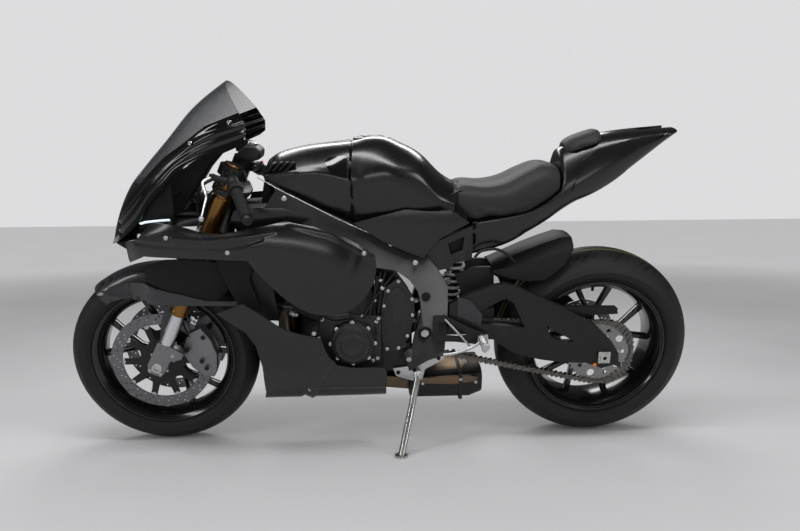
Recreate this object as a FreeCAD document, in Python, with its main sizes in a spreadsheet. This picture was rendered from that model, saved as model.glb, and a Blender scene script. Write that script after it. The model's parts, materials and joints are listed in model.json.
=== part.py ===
"""A super-sport motorcycle standing on its side stand, drawn upright and then leaned over."""
import FreeCAD, Part

import math
import os
import re

import Sketcher
from FreeCAD import Placement, Rotation, Vector

# Driving sizes in millimetres and degrees: alias, value, meaning.
SIZES = (
    ("wheelbase", 1405, "axle to axle"),
    ("overall_height", 1165, "top of the windscreen, upright"),
    ("body_half_width", 240, "widest point of a side fairing from the centre plane"),
    ("lean_angle", 11.24, "lean to the left on the side stand"),
    ("panel_wall", 3, "wall of the moulded fairings"),
    ("cover_wall", 5, "wall of the cast and moulded covers"),
    ("seat_gap", 0.3, "gap between pieces that seat on each other"),
    ("turning_gap", 5.5, "gap round what turns"),
    ("overrun", 20, "how far a cutting shape runs past what it cuts"),
    ("bead_dia", 431.8, "17 inch bead seat of both rims"),
    ("bead_width", 15, "width of a tyre bead on its seat"),
    ("flange_height", 11, "rim flange above the bead seat"),
    ("flange_wall", 4, "rim flange wall"),
    ("rim_wall", 5, "wall of the rim barrel"),
    ("rim_well_depth", 14, "drop centre below the bead seat"),
    ("tyre_wall", 11, "tyre sidewall"),
    ("front_tyre_dia", 600, "120/70 tyre"),
    ("front_tyre_width", 120, "120/70 tyre"),
    ("front_crown_radius", 68, "cross-section of the front tread"),
    ("front_rim_width", 89, "3.5 inch rim"),
    ("rear_tyre_dia", 640.8, "190/55 tyre"),
    ("rear_tyre_width", 190, "190/55 tyre"),
    ("rear_crown_radius", 107, "cross-section of the rear tread"),
    ("rear_rim_width", 152, "6 inch rim"),
    ("wheel_sides", 40, "flats round a tyre, its rim and its disc"),
    ("small_sides", 12, "flats round a shaft or tube"),
    ("spoke_width", 21, "one spoke across its face"),
    ("spoke_depth", 24, "one spoke through the wheel"),
    ("hub_dia", 84, "wheel hub"),
    ("front_axle_dia", 25, "front axle"),
    ("rear_axle_dia", 28, "rear axle"),
    ("axle_bore", 12, "bore through both axles"),
    ("rake_angle", 24, "steering axis from the vertical"),
    ("trail", 102, "steering axis ahead of the tyre contact"),
    ("fork_spacing", 210, "between the fork tubes' centres"),
    ("fork_outer_dia", 54, "gold outer tube"),
    ("fork_slider_dia", 43, "polished inner tube"),
    ("fork_length", 692, "axle to the top of the fork"),
    ("fork_outer_start", 190, "axle to the mouth of the outer tube"),
    ("fork_foot_top", 84, "axle to the top of the cast foot"),
    ("fork_foot_width", 40, "cast foot across the bike"),
    ("clamp_wall", 13, "fork clamp round the outer tube"),
    ("clamp_height", 34, "lower fork clamp"),
    ("lower_clamp_place", 440, "axle to the middle of the lower clamp along the fork"),
    ("upper_clamp_place", 606, "axle to the middle of the upper clamp along the fork"),
    ("stem_dia", 34, "steering stem"),
    ("stem_clearance", 0.3, "stem in the head tube"),
    ("head_tube_wall", 12, "steering head round the stem"),
    ("bar_dia", 22, "handlebar tube"),
    ("grip_dia", 33, "rubber grip"),
    ("grip_length", 125, "rubber grip"),
    ("bar_end_dia", 28, "bar end weight"),
    ("lever_width", 12, "hand lever blade"),
    ("lever_ball", 17, "ball at the lever's tip"),
    ("reservoir_dia", 42, "fluid reservoir"),
    ("pad_height", 7, "passenger pad over the tail"),
    ("front_disc_dia", 320, "front brake discs"),
    ("disc_wall", 5, "disc thickness"),
    ("disc_band", 38, "braking band"),
    ("disc_place", 64.5, "front disc's middle from the centre plane"),
    ("rear_disc_dia", 220, "rear brake disc"),
    ("rear_disc_place", 84, "rear disc's middle from the centre plane"),
    ("caliper_slot", 17, "slot of a caliper over its disc"),
    ("caliper_width", 58, "front caliper across the bike"),
    ("chain_pitch", 15.875, "525 roller chain"),
    ("front_teeth", 16, "front sprocket"),
    ("rear_teeth", 41, "rear sprocket"),
    ("sprocket_wall", 7, "sprocket thickness"),
    ("chain_place", 110, "chain line from the centre plane"),
    ("chain_half_gap", 4.2, "chain line to a row of link plates"),
    ("link_wall", 3.5, "one row of link plates"),
    ("link_height", 15, "link plate"),
    ("pin_dia", 10, "chain roller"),
    ("frame_inner", 124, "inner face of a frame spar from the centre plane"),
    ("frame_outer", 152, "outer face of a frame spar"),
    ("head_half_width", 52, "frame between the fork tubes"),
    ("engine_half_width", 100, "gearbox case"),
    ("crank_half_width", 145, "crankcase and cylinders"),
    ("cover_half_width", 186, "engine side covers' faces"),
    ("alternator_cover_dia", 138, "round cover on the left"),
    ("clutch_cover_dia", 138, "round cover on the right"),
    ("arm_inner", 123, "swingarm blade's inner face"),
    ("arm_outer", 148, "swingarm blade's outer face"),
    ("pivot_dia", 24, "swingarm pivot shaft"),
    ("lug_dia", 62, "swingarm pivot lug"),
    ("bridge_half_width", 97, "swingarm bridge between chain and disc"),
    ("spring_dia", 64, "shock spring"),
    ("spring_wire", 11, "shock spring wire"),
    ("spring_turns", 6, "shock spring"),
    ("damper_dia", 40, "shock body"),
    ("hugger_gap", 12, "rear hugger off the tyre"),
    ("fender_gap", 10, "front fender off the tyre"),
    ("fender_wall", 4, "front fender"),
    ("header_dia", 36, "exhaust header"),
    ("stand_leg_dia", 22, "side stand leg"),
    ("stand_pivot_dia", 14, "side stand bolt"),
    ("foot_width", 40, "side stand foot"),
    ("foot_wall", 8, "side stand foot"),
    ("peg_dia", 24, "footpeg"),
    ("peg_length", 78, "footpeg"),
    ("bracket_wall", 9, "footrest bracket plate"),
    ("bolt_dia", 12, "frame and bracket bolts"),
    ("hose_dia", 9, "brake hose"),
    ("cap_dia", 108, "fuel filler cap"),
    ("cap_height", 18, "fuel filler cap"),
    ("clip_on_place", 668, "axle to the middle of a handlebar clamp along the fork"),
    ("bar_half_width", 335, "handlebar end from the centre plane"),
    ("bar_sweep", 114, "handlebar end behind the fork tube"),
    ("bar_drop", 58, "handlebar end below its clamp"),
    ("lever_reach", 75, "lever ahead of the grip"),
    ("fender_stations", 14, "flats along the front fender's arch"),
    ("fender_sweep", 130, "front fender round the tyre, in degrees"),
    ("fender_lead", 65, "front end of the fender's arch, in degrees"),
    ("subframe_wall", 26, "subframe rail"),
    ("axle_reach", 163, "rear axle's end from the centre plane"),
    ("axle_block", 38, "chain adjuster block"),
    ("tail_slot", 62, "gap between the two tail tips"),
    ("stay_dia", 12, "stay behind the fairings"),
    ("stay_pad", 20, "half of a pad behind a fairing"),
    ("tongue_half_width", 18, "cowl stay between the forks"),
    ("stand_reach", 42, "side stand bolt"),
    ("stand_tilt", 19, "side stand hinge, outer end up"),
)

SIDE = Rotation(Vector(1, 0, 0), 90)
CROSS = Rotation(Vector(1, 1, 1), 120)
TOP = Rotation()
LATERAL = Vector(0, 1, 0)
FORWARD = Vector(1, 0, 0)
UPWARD = Vector(0, 0, 1)
ORIGIN = ("0", "0", "0")
FULL_TURN = 360

doc = FreeCAD.newDocument("SportBike")
sheet = doc.addObject("Spreadsheet::Sheet", "Sizes")
for row, (alias, value, meaning) in enumerate(SIZES, start=1):
    sheet.set(f"A{row}", meaning)
    sheet.set(f"B{row}", str(value))
    sheet.setAlias(f"B{row}", alias)
doc.recompute()
ALIASES = {alias for alias, _, _ in SIZES}
nodes = {}


def bound(text):
    """An expression with each alias written as a cell of the sheet."""
    return re.sub(r"[a-z][a-z_]+", lambda word: f"Sizes.{word[0]}" if word[0] in ALIASES else word[0], text)


def size(text):
    """The value of an expression written with the sheet's aliases."""
    return float(sheet.evalExpression(bound(text)))


def along(share):
    """A place along the bike, from the rear axle."""
    return f"{share} * wheelbase"


def across(share):
    """A place to the left of the centre plane."""
    return f"{share} * body_half_width"


def up(share):
    """A height above the ground."""
    return f"{share} * overall_height"


def side_points(shares):
    """Side-view outline points from pairs of shares."""
    return [(along(x), up(z)) for x, z in shares]


def point(x, y, z):
    """A place in the bike from shares of its length, half width and height."""
    return (along(x), across(y), up(z))


def vector(place):
    """The vector of a triple of expressions."""
    return Vector(*(size(value) for value in place))


def seat(thing, base, rotation=TOP):
    """Bind a thing's place to a triple of expressions and turn it."""
    thing.Placement = Placement(vector(base), rotation)
    for axis, value in zip("xyz", base):
        if value != "0":
            thing.setExpression(f"Placement.Base.{axis}", bound(value))
    return thing


def draw(sketch, points, arcs=None):
    """Draw a closed outline whose corners, and arcs from corner i to i + 1, are bound."""
    arcs = arcs or {}
    count = len(points)
    corners = [Vector(size(u), size(v), 0) for u, v in points]
    for i in range(count):
        start, end = corners[i], corners[(i + 1) % count]
        if i in arcs:
            radius = size(arcs[i])
            middle = (start + end) / 2
            chord = end - start
            reach = math.sqrt(max(radius**2 - chord.Length**2 / 4, 0))
            normal = Vector(-chord.y, chord.x, 0).normalize()
            top = middle + normal * (reach - radius)
            sketch.addGeometry(Part.Arc(start, top, end), False)
        else:
            sketch.addGeometry(Part.LineSegment(start, end), False)
    sketch.addConstraint(
        [Sketcher.Constraint("Coincident", i, 2, (i + 1) % count, 1) for i in range(count)]
    )
    for i, (u, v) in enumerate(points):
        for kind, value, text in (("DistanceX", corners[i].x, u), ("DistanceY", corners[i].y, v)):
            k = sketch.addConstraint(Sketcher.Constraint(kind, -1, 1, i, 1, value))
            if text != "0":
                sketch.setExpression(f"Constraints[{k}]", bound(text))
    for i, radius in arcs.items():
        k = sketch.addConstraint(Sketcher.Constraint("Radius", i, size(radius)))
        sketch.setExpression(f"Constraints[{k}]", bound(radius))
    return sketch


def outline(name, rotation, points, base=ORIGIN, arcs=None):
    """A closed sketch in a plane of the bike."""
    sketch = doc.addObject("Sketcher::SketchObject", name)
    seat(sketch, base, rotation)
    return draw(sketch, points, arcs)


def extrude(name, sketch, direction, length):
    """A solid pushed out of a sketch."""
    solid = doc.addObject("Part::Extrusion", name)
    solid.Base = sketch
    solid.DirMode = "Custom"
    solid.Dir = direction
    solid.Solid = True
    solid.setExpression("LengthFwd", bound(length))
    return solid


def plate(name, points, inner, outer, arcs=None):
    """A plate with a side-view outline between two distances from the centre plane."""
    sketch = outline(f"{name}Outline", SIDE, points, ("0", inner, "0"), arcs)
    return extrude(name, sketch, LATERAL, f"( {outer} ) - ( {inner} )")


def loft(name, sections):
    """A solid of flat facets through cross sections: pairs of a place along the bike and an outline."""
    rings = [[vector((place, y, z)) for y, z in points] for place, points in sections]
    faces = [Part.Face(Part.makePolygon(ring + ring[:1])) for ring in (rings[0], rings[-1])]
    for near, far in zip(rings, rings[1:]):
        for i in range(len(near)):
            j = (i + 1) % len(near)
            if (near[i] - far[j]).Length <= (near[j] - far[i]).Length:
                halves = ((near[i], near[j], far[j]), (near[i], far[j], far[i]))
            else:
                halves = ((near[i], near[j], far[i]), (near[j], far[j], far[i]))
            faces += [Part.Face(Part.makePolygon([*half, half[0]])) for half in halves]
    shell = Part.makeShell(faces)
    shell.sewShape()
    solid = Part.makeSolid(shell)
    if solid.Volume < 0:
        solid.reverse()
    body = doc.addObject("Part::Feature", name)
    body.Shape = solid
    return body


def half_section(shares):
    """A closed cross section from the left half's share pairs, top to bottom."""
    left = [(across(y), up(z)) for y, z in shares]
    right = [(f"-1 * {across(y)}", up(z)) for y, z in reversed(shares) if y > 0]
    return left + right


def skin_section(shares, wall, joined=None, start="0"):
    """A thin-walled cross section: outer face through the shares, inner face one wall inside.

    joined is "first" or "last" where that end lies on the centre plane and the right half
    is added, or None for a panel on one side.
    """
    pairs = list(shares)
    if joined == "first":
        pairs = [(-y, z) for y, z in reversed(pairs[1:])] + pairs
    if joined == "last":
        pairs = pairs + [(-y, z) for y, z in reversed(pairs[:-1])]
    spots = [Vector(size(across(y)), size(up(z)), 0) for y, z in pairs]
    sides = [(b - a).normalize() for a, b in zip(spots, spots[1:])]
    outer, inner = [], []
    for i, (y, z) in enumerate(pairs):
        before, after = sides[max(i - 1, 0)], sides[min(i, len(sides) - 1)]
        bisector = (before + after).normalize()
        reach = 1 / max(bisector.dot(after), 0.5)
        inward_share = Vector(bisector.y, -bisector.x, 0) * reach
        for face, depth in ((outer, start), (inner, wall)):
            face.append(
                (
                    f"{across(y)} + {inward_share.x:.4f} * ( {depth} )",
                    f"{up(z)} + {inward_share.y:.4f} * ( {depth} )",
                )
            )
    return outer + inner[::-1]


def pad_behind(name, table, joined, place, reach):
    """A mounting pad that follows the inside of a panel round one place."""
    near = "panel_wall + seat_gap"
    far = "panel_wall + seat_gap + cover_wall"
    layer = loft(f"{name}Layer", [(along(x), skin_section(shares, far, joined, near)) for x, shares in table])
    corner = tuple(f"{value} - {reach}" for value in place)
    return common(name, layer, box(f"{name}Window", corner, f"2 * {reach}", f"2 * {reach}", f"2 * {reach}"))


def box(name, base, length, width, height):
    """A block with bound sizes and place."""
    block = doc.addObject("Part::Box", name)
    for prop, text in (("Length", length), ("Width", width), ("Height", height)):
        block.setExpression(prop, bound(text))
    return seat(block, base)


def cylinder(name, radius, height, base, rotation=TOP):
    """A true cylinder, for a bore that something is pushed through."""
    solid = doc.addObject("Part::Cylinder", name)
    solid.setExpression("Radius", bound(radius))
    solid.setExpression("Height", bound(height))
    return seat(solid, base, rotation)


def prism(name, radius, height, sides="small_sides"):
    """A many-sided shaft whose corners lie on its radius."""
    solid = doc.addObject("Part::Prism", name)
    solid.setExpression("Polygon", bound(sides))
    solid.setExpression("Circumradius", bound(radius))
    solid.setExpression("Height", bound(height))
    return solid


def shaft(name, radius, inner, outer, x, z, sides="small_sides"):
    """A many-sided shaft along the axles' direction."""
    solid = prism(name, radius, f"( {outer} ) - ( {inner} )", sides)
    return seat(solid, (x, inner, z), Rotation(UPWARD, LATERAL))


def clear_of(radius, sides="small_sides"):
    """The corner radius of a many-sided hole whose flats clear a radius."""
    return f"( {radius} ) / cos( 180 / {sides} )"


def through_bore(name, x, z):
    """The round bore through an axle."""
    turn = Rotation(UPWARD, LATERAL)
    return cylinder(name, "axle_bore / 2", "2 * body_half_width", (x, "-1 * body_half_width", z), turn)


def hole(name, radius, inner, outer, x, z, sides="small_sides"):
    """A many-sided hole along the axles' direction that clears a radius all round."""
    return shaft(name, clear_of(radius, sides), inner, outer, x, z, sides)


def rod(name, radius, start, end):
    """A bar from one place to another."""
    first, last = vector(start), vector(end)
    solid = doc.addObject("Part::Prism", name)
    solid.setExpression("Polygon", bound("small_sides"))
    solid.setExpression("Circumradius", bound(radius))
    solid.Height = (last - first).Length
    solid.Placement = Placement(first, Rotation(UPWARD, last - first))
    return solid


def pipe(name, radius, spots):
    """A many-sided pipe along straight runs with mitred corners."""
    spine = doc.addObject("Part::Feature", f"{name}Route")
    spine.Shape = Part.makePolygon(spots)
    ring = doc.addObject("Part::RegularPolygon", f"{name}Ring")
    ring.setExpression("Polygon", bound("small_sides"))
    ring.setExpression("Circumradius", bound(radius))
    ring.Placement = Placement(spots[0], Rotation(UPWARD, spots[1] - spots[0]))
    tube = doc.addObject("Part::Sweep", name)
    tube.Sections = [ring]
    tube.Spine = (spine, [f"Edge{i + 1}" for i in range(len(spots) - 1)])
    tube.Solid = True
    tube.Transition = "Right corner"
    return tube


def mirrored(solid):
    """The same solid on the other side of the centre plane."""
    twin = doc.addObject("Part::Mirroring", f"{solid.Name}Right")
    twin.Source = solid
    twin.Normal = LATERAL
    return twin


def fused(name, *solids):
    """One solid from touching ones."""
    joined = doc.addObject("Part::MultiFuse", name)
    joined.Shapes = list(solids)
    joined.Refine = True
    return joined


def cut(name, base, *tools):
    """A solid with one or more others taken away."""
    tool = tools[0] if len(tools) == 1 else group(f"{name}Tools", *tools)
    left = doc.addObject("Part::Cut", name)
    left.Base = base
    left.Tool = tool
    return left


def common(name, base, tool):
    """What two solids share."""
    shared = doc.addObject("Part::Common", name)
    shared.Base = base
    shared.Tool = tool
    return shared


def group(name, *solids):
    """Several solids as one."""
    bundle = doc.addObject("Part::Compound", name)
    bundle.Links = list(solids)
    return bundle


def placed(name, placement, *solids):
    """Solids drawn in a frame of their own, put in their place."""
    bundle = group(name, *solids)
    bundle.Placement = placement
    return bundle


def moved(name, solid, offset):
    """A copy of a solid shifted by a bound offset."""
    return seat(group(name, solid), offset)


def trimmed(name, shell, shares, inner="-1 * body_half_width - overrun", outer="body_half_width + overrun"):
    """A lofted shell kept inside a side-view outline."""
    return common(name, shell, plate(f"{name}Trim", side_points(shares), inner, outer))


def node(label, *solids):
    """Register a sub-part of the bike."""
    nodes[label] = group("Node_" + label, *solids)
    return nodes[label]


def origin_plane(body, role):
    """One of a body's own reference planes."""
    return next(item for item in body.Origin.OriginFeatures if item.Role == role)


def body_sketch(body, name, role, points, arcs=None):
    """A sketch on one of a body's own planes."""
    sketch = body.newObject("Sketcher::SketchObject", name)
    sketch.AttachmentSupport = [(origin_plane(body, role), "")]
    sketch.MapMode = "FlatFace"
    return draw(sketch, points, arcs)


# The rake and the stance are worked out once, because every piece follows them.
RAKE = math.radians(size("rake_angle"))
LEAN = math.radians(size("lean_angle"))
FORK_OFFSET = f"( front_tyre_dia / 2 * {math.sin(RAKE):.6f} - trail * {math.cos(RAKE):.6f} )"
FRONT_AXLE = ("wheelbase", "0", "front_tyre_dia / 2")
REAR_AXLE = ("0", "0", "rear_tyre_dia / 2")
FORK_FRAME = Placement(vector(FRONT_AXLE), Rotation(LATERAL, -size("rake_angle")))


def skinned(name, rings):
    """A flat-faced solid through rings of corners, each ring with as many corners as the next."""
    first, last = rings[0], rings[-1]
    outlines = [first, last[::-1]]
    for near, far in zip(rings, rings[1:]):
        for number in range(len(near)):
            outlines.append([near[number], near[number - 1], far[number - 1], far[number]])
    faces = [Part.Face(Part.makePolygon(corners + corners[:1])) for corners in outlines]
    shape = Part.makeSolid(Part.Shell(faces))
    if shape.Volume < 0:
        shape.reverse()
    solid = doc.addObject("Part::Feature", name)
    solid.Shape = shape
    return solid


def turned(name, bands):
    """A many-sided solid about an axle, through pairs of a place across and a radius."""
    flats = int(size("wheel_sides"))
    rings = []
    for place, radius in bands:
        arm = Vector(size(radius), size(place), 0)
        rings.append([Rotation(LATERAL, -FULL_TURN * number / flats).multVec(arm) for number in range(flats)])
    return skinned(name, rings)


CROWN_SHARES = (-1, -0.74, -0.28, 0.28, 0.74, 1)


def tyre(name, dia, width, crown, rim_width):
    """A tyre round its rim: crowned tread, sidewalls drawn in to the rim flanges, bead bore."""
    tread = []
    for share in CROWN_SHARES:
        tread.append(
            (f"{share} * {width} / 2", f"{dia} / 2 - {crown} + sqrt( {crown} ^ 2 - ( {share} * {width} / 2 ) ^ 2 )")
        )
    shoulder = f"{dia} / 2 - {crown} + sqrt( {crown} ^ 2 - ( {width} / 2 ) ^ 2 )"
    flange = (f"{rim_width} / 2 - seat_gap", "bead_dia / 2 + flange_height + flange_wall")
    flank = turned(f"{name}Flank", [flange, (f"{width} / 2", f"{shoulder} - tyre_wall / 2")])
    bore = turned(f"{name}Bore", [(f"-1 * {width} / 2", "bead_dia / 2"), (f"{width} / 2", "bead_dia / 2")])
    return cut(name, turned(f"{name}Tread", tread), flank, mirrored(flank), bore)


def rim(name, rim_width, hub_width, axle_dia):
    """A cast wheel: barrel with flanges, hub, and five forked spokes."""
    half = f"{rim_width} / 2"
    bead = "bead_dia / 2 - seat_gap"
    lip = "bead_dia / 2 + flange_height"
    outer = [
        (f"-1 * {half} - flange_wall", lip),
        (f"-1 * {half} - 2 * seat_gap", lip),
        (f"-1 * {half}", bead),
        (half, bead),
        (f"{half} + 2 * seat_gap", lip),
        (f"{half} + flange_wall", lip),
    ]
    floor = "bead_dia / 2 - rim_well_depth - rim_wall"
    inner = [
        (f"-1 * {half} - flange_wall", f"{lip} - rim_wall"),
        (f"-0.5 * {half}", floor),
        (f"0.5 * {half}", floor),
        (f"{half} + flange_wall", f"{lip} - rim_wall"),
    ]
    barrel = cut(f"{name}Barrel", turned(f"{name}Outside", outer), turned(f"{name}Inside", inner))
    body = doc.addObject("PartDesign::Body", f"{name}Spider")
    flats = int(size("small_sides"))
    angles = [f"{number} * {FULL_TURN} / small_sides" for number in range(flats)]
    hub_points = [(f"hub_dia / 2 * cos( {angle} )", f"hub_dia / 2 * sin( {angle} )") for angle in angles]
    hub = body.newObject("PartDesign::Pad", f"{name}HubPad")
    hub.Profile = body_sketch(body, f"{name}Hub", "XZ_Plane", hub_points)
    hub.Midplane = True
    hub.setExpression("Length", bound(hub_width))
    reach = "( bead_dia / 2 - rim_well_depth - rim_wall / 2 )"
    root = "( hub_dia / 2 * 0.9 )"
    spoke_points = [("-1 * spoke_width * 0.7", root)]
    spoke_points += [(f"{u} * {reach}", f"{v} * {reach}") for u, v in SPOKE_SHARES]
    spoke_points += [("spoke_width * 0.7", root)]
    spoke_sketch = body_sketch(body, f"{name}Spoke", "XZ_Plane", spoke_points)
    spoke = body.newObject("PartDesign::Pad", f"{name}SpokePad")
    spoke.Profile = spoke_sketch
    spoke.Midplane = True
    spoke.setExpression("Length", bound("spoke_depth"))
    spokes = body.newObject("PartDesign::PolarPattern", f"{name}Spokes")
    spokes.Originals = [spoke]
    spokes.Axis = (spoke_sketch, ["N_Axis"])
    spokes.Angle = FULL_TURN
    spokes.Occurrences = 5
    body.Tip = spokes
    bore = hole(f"{name}Bore", f"{axle_dia} / 2 + seat_gap", f"-1 * {hub_width}", hub_width, "0", "0")
    return cut(name, fused(f"{name}Whole", barrel, body), bore)


SPOKE_SHARES = (
    (-0.06, 0.42), (-0.34, 0.94), (-0.235, 0.972), (0.0, 0.5), (0.235, 0.972), (0.34, 0.94), (0.06, 0.42),
)


def disc(name, dia, bore):
    """A brake disc: braking band, and a carrier whose arms reach the hub."""
    band_inner = f"( {dia} / 2 - disc_band )"
    half = "disc_wall / 2"
    blank = shaft(f"{name}Blank", f"{dia} / 2", f"-1 * {half}", half, "0", "0", "wheel_sides")
    eye = hole(f"{name}Eye", bore, "-1 * disc_wall", "disc_wall", "0", "0")
    points = [(f"{u} * {band_inner}", f"{v} * {band_inner}") for u, v in DISC_WINDOW_SHARES]
    window = plate(f"{name}Window", points, "-1 * disc_wall", "disc_wall")
    count = 6
    windows = []
    for number in range(count):
        turn = Placement(Vector(), Rotation(LATERAL, FULL_TURN * number / count))
        windows.append(placed(f"{name}Window{number}Turned", turn, window))
    return cut(name, blank, eye, *windows)


DISC_WINDOW_SHARES = ((0.2, 0.5), (0.4, 0.86), (0.0, 0.95), (-0.4, 0.86), (-0.2, 0.5))


def wheels():
    """Both wheels: tyre, rim, discs, rear sprocket."""
    front = Placement(vector(FRONT_AXLE), TOP)
    rear = Placement(vector(REAR_AXLE), TOP)
    front_tyre = tyre("FrontTyre", "front_tyre_dia", "front_tyre_width", "front_crown_radius", "front_rim_width")
    rear_tyre = tyre("RearTyre", "rear_tyre_dia", "rear_tyre_width", "rear_crown_radius", "rear_rim_width")
    front_rim = rim("FrontRim", "front_rim_width", "( 2 * ( disc_place - disc_wall / 2 - seat_gap ) )", "front_axle_dia")
    rear_rim = rim("RearRim", "rear_rim_width", "( 2 * ( rear_disc_place - disc_wall / 2 - seat_gap ) )", "rear_axle_dia")
    node("front_tyre", placed("FrontTyrePlaced", front, front_tyre))
    node("front_rim", placed("FrontRimPlaced", front, front_rim))
    node("rear_tyre", placed("RearTyrePlaced", rear, rear_tyre))
    node("rear_rim", placed("RearRimPlaced", rear, rear_rim))
    front_disc = disc("FrontDisc", "front_disc_dia", "front_axle_dia / 2 + turning_gap")
    left = placed("FrontDiscLeft", Placement(vector(("wheelbase", "disc_place", "front_tyre_dia / 2")), TOP), front_disc)
    node("front_brake_discs", left, mirrored(left))
    rear_disc = disc("RearDisc", "rear_disc_dia", "rear_axle_dia / 2 + turning_gap")
    node(
        "rear_brake_disc",
        placed("RearDiscPlaced", Placement(vector(("0", "-1 * rear_disc_place", "rear_tyre_dia / 2")), TOP), rear_disc),
    )


def steering():
    """Everything that turns with the handlebars, drawn along the fork from the front axle."""
    half = "fork_spacing / 2"
    tube = "fork_outer_dia / 2"
    stem_u = f"-1 * {FORK_OFFSET}"

    def along_fork(name, radius, low, high, u="0", y=half):
        return seat(prism(name, radius, f"( {high} ) - ( {low} )"), (u, y, low))

    def both(label, *solids):
        left = placed(f"{label}Left", FORK_FRAME, *solids)
        node(label, left, mirrored(left))

    outer = along_fork("ForkOuter", tube, "fork_outer_start", "fork_length")
    both("fork_outer_tubes", outer)

    slider = along_fork("ForkSlider", "fork_slider_dia / 2", "fork_foot_top", "fork_outer_start - seat_gap")
    both("fork_sliders", slider)

    foot_points = [
        ("-1 * fork_foot_width * 0.5", "-1 * fork_foot_width * 0.6"),
        ("fork_foot_width * 0.5", "-1 * fork_foot_width * 0.6"),
        ("fork_foot_width * 0.75", "0"),
        ("fork_foot_width * 0.62", "fork_foot_top - seat_gap"),
        ("-1 * fork_foot_width * 0.62", "fork_foot_top - seat_gap"),
        ("-1 * fork_foot_width * 1.5", "fork_foot_width * 1.9"),
        ("-1 * fork_foot_width * 1.5", "fork_foot_width * 1.4"),
        ("-1 * fork_foot_width * 0.75", "fork_foot_width * 0.9"),
        ("-1 * fork_foot_width * 0.75", "0"),
    ]
    foot_body = plate("ForkFoot", foot_points, f"{half} - fork_foot_width / 2", f"{half} + fork_foot_width / 2")
    axle_hole = hole("ForkAxleHole", "front_axle_dia / 2 + seat_gap", "0", "fork_spacing", "0", "0")
    both("fork_feet", cut("ForkFootBored", foot_body, axle_hole))

    axle = shaft(
        "FrontAxle", "front_axle_dia / 2", f"-1 * {half} - fork_foot_width * 0.7", f"{half} + fork_foot_width * 0.7", "0", "0"
    )
    spacer_end = f"{half} - fork_foot_width / 2 - seat_gap"
    spacer = shaft("FrontSpacer", "front_axle_dia * 0.7", "disc_place + disc_wall", spacer_end, "0", "0")
    axle_bore = through_bore("FrontAxleBore", "0", "0")
    whole = cut("FrontAxleBored", fused("FrontAxleBody", axle, spacer, mirrored(spacer)), axle_bore)
    node("front_axle", placed("FrontAxlePlaced", FORK_FRAME, whole))

    reach = f"{tube} + clamp_wall"

    def clamp(name, place, half_height):
        left = [
            (f"{reach}", f"{half} - {tube} * 0.7"),
            (f"{tube} * 0.7", f"{half} + {reach}"),
            (f"-1 * {tube} * 0.7", f"{half} + {reach}"),
            (f"-1 * ( {reach} )", half),
            (f"-1 * ( {FORK_OFFSET} + stem_dia )", f"{half} * 0.3"),
        ]
        right = [(u, f"-1 * ( {v} )") for u, v in reversed(left)]
        base = ("0", "0", f"{place} - {half_height}")
        sketch = outline(f"{name}Outline", TOP, left + right, base)
        solid = extrude(name, sketch, UPWARD, f"2 * {half_height}")
        radius = clear_of(f"{tube} + seat_gap")
        socket = along_fork(f"{name}Hole", radius, f"{place} - clamp_height", f"{place} + clamp_height")
        return cut(f"{name}Bored", solid, socket, mirrored(socket))

    lower = clamp("LowerClamp", "lower_clamp_place", "clamp_height / 2")
    upper = clamp("UpperClamp", "upper_clamp_place", "clamp_height / 4")
    stem = along_fork("Stem", "stem_dia / 2", "lower_clamp_place - clamp_height / 2", "upper_clamp_place", stem_u, "0")
    node("triple_clamps", placed("ClampsPlaced", FORK_FRAME, fused("Clamps", lower, upper, stem)))

    bar_root = ("0", f"{half} + {tube} + clamp_wall / 2", "clip_on_place")
    grip_start = along_bar(0.42)
    grip_end = along_bar(0.94)
    clip = along_fork("ClipOn", f"{tube} + clamp_wall", "clip_on_place - clamp_height / 2", "clip_on_place + clamp_height / 2")
    radius = clear_of(f"{tube} + seat_gap")
    clip_hole = along_fork("ClipOnHole", radius, "clip_on_place - clamp_height", "clip_on_place + clamp_height")
    bar = rod("Bar", "bar_dia / 2", bar_root, grip_start)
    handlebar = cut("ClipOnBored", fused("ClipOnBody", clip, bar), clip_hole)
    grip = rod("Grip", "grip_dia / 2", grip_start, grip_end)
    both("grips", grip, rod("BarEnd", "bar_end_dia / 2", grip_end, along_bar(1.0)))

    switch = rod("Switch", "reservoir_dia / 2", along_bar(0.27), along_bar(0.4))
    perch_hole = rod("SwitchHole", clear_of("bar_dia / 2 + seat_gap"), along_bar(0.2), along_bar(0.5))
    both("handlebars", handlebar, cut("SwitchBored", switch, perch_hole))

    lever_root = LEVER_ROUTE[0]
    perch = rod("Perch", "lever_width * 0.8", along_bar(0.2), lever_root)
    perch_ring = rod("PerchRing", "bar_dia / 2 + clamp_wall / 2", along_bar(0.15), along_bar(0.26))
    perch_bore = rod("PerchBore", clear_of("bar_dia / 2 + seat_gap"), along_bar(0.1), along_bar(0.5))
    lever = pipe("LeverBlade", "lever_width / 2", [vector(place) for place in LEVER_ROUTE])
    ball = seat(prism("LeverBall", "lever_ball / 2", "lever_width"), LEVER_ROUTE[-1])
    both("hand_levers", cut("LeverCleared", fused("Lever", perch, perch_ring, lever, ball), perch_bore))


def along_bar(share):
    """A place on the left handlebar: 0 at its clamp and 1 at its end, in the fork's frame."""
    start = ("0", "fork_spacing / 2 + fork_outer_dia / 2 + clamp_wall / 2", "clip_on_place")
    end = ("-1 * bar_sweep", "bar_half_width", "clip_on_place - bar_drop")
    return tuple(f"( {a} ) * {1 - share:.4f} + ( {b} ) * {share:.4f}" for a, b in zip(start, end))


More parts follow.
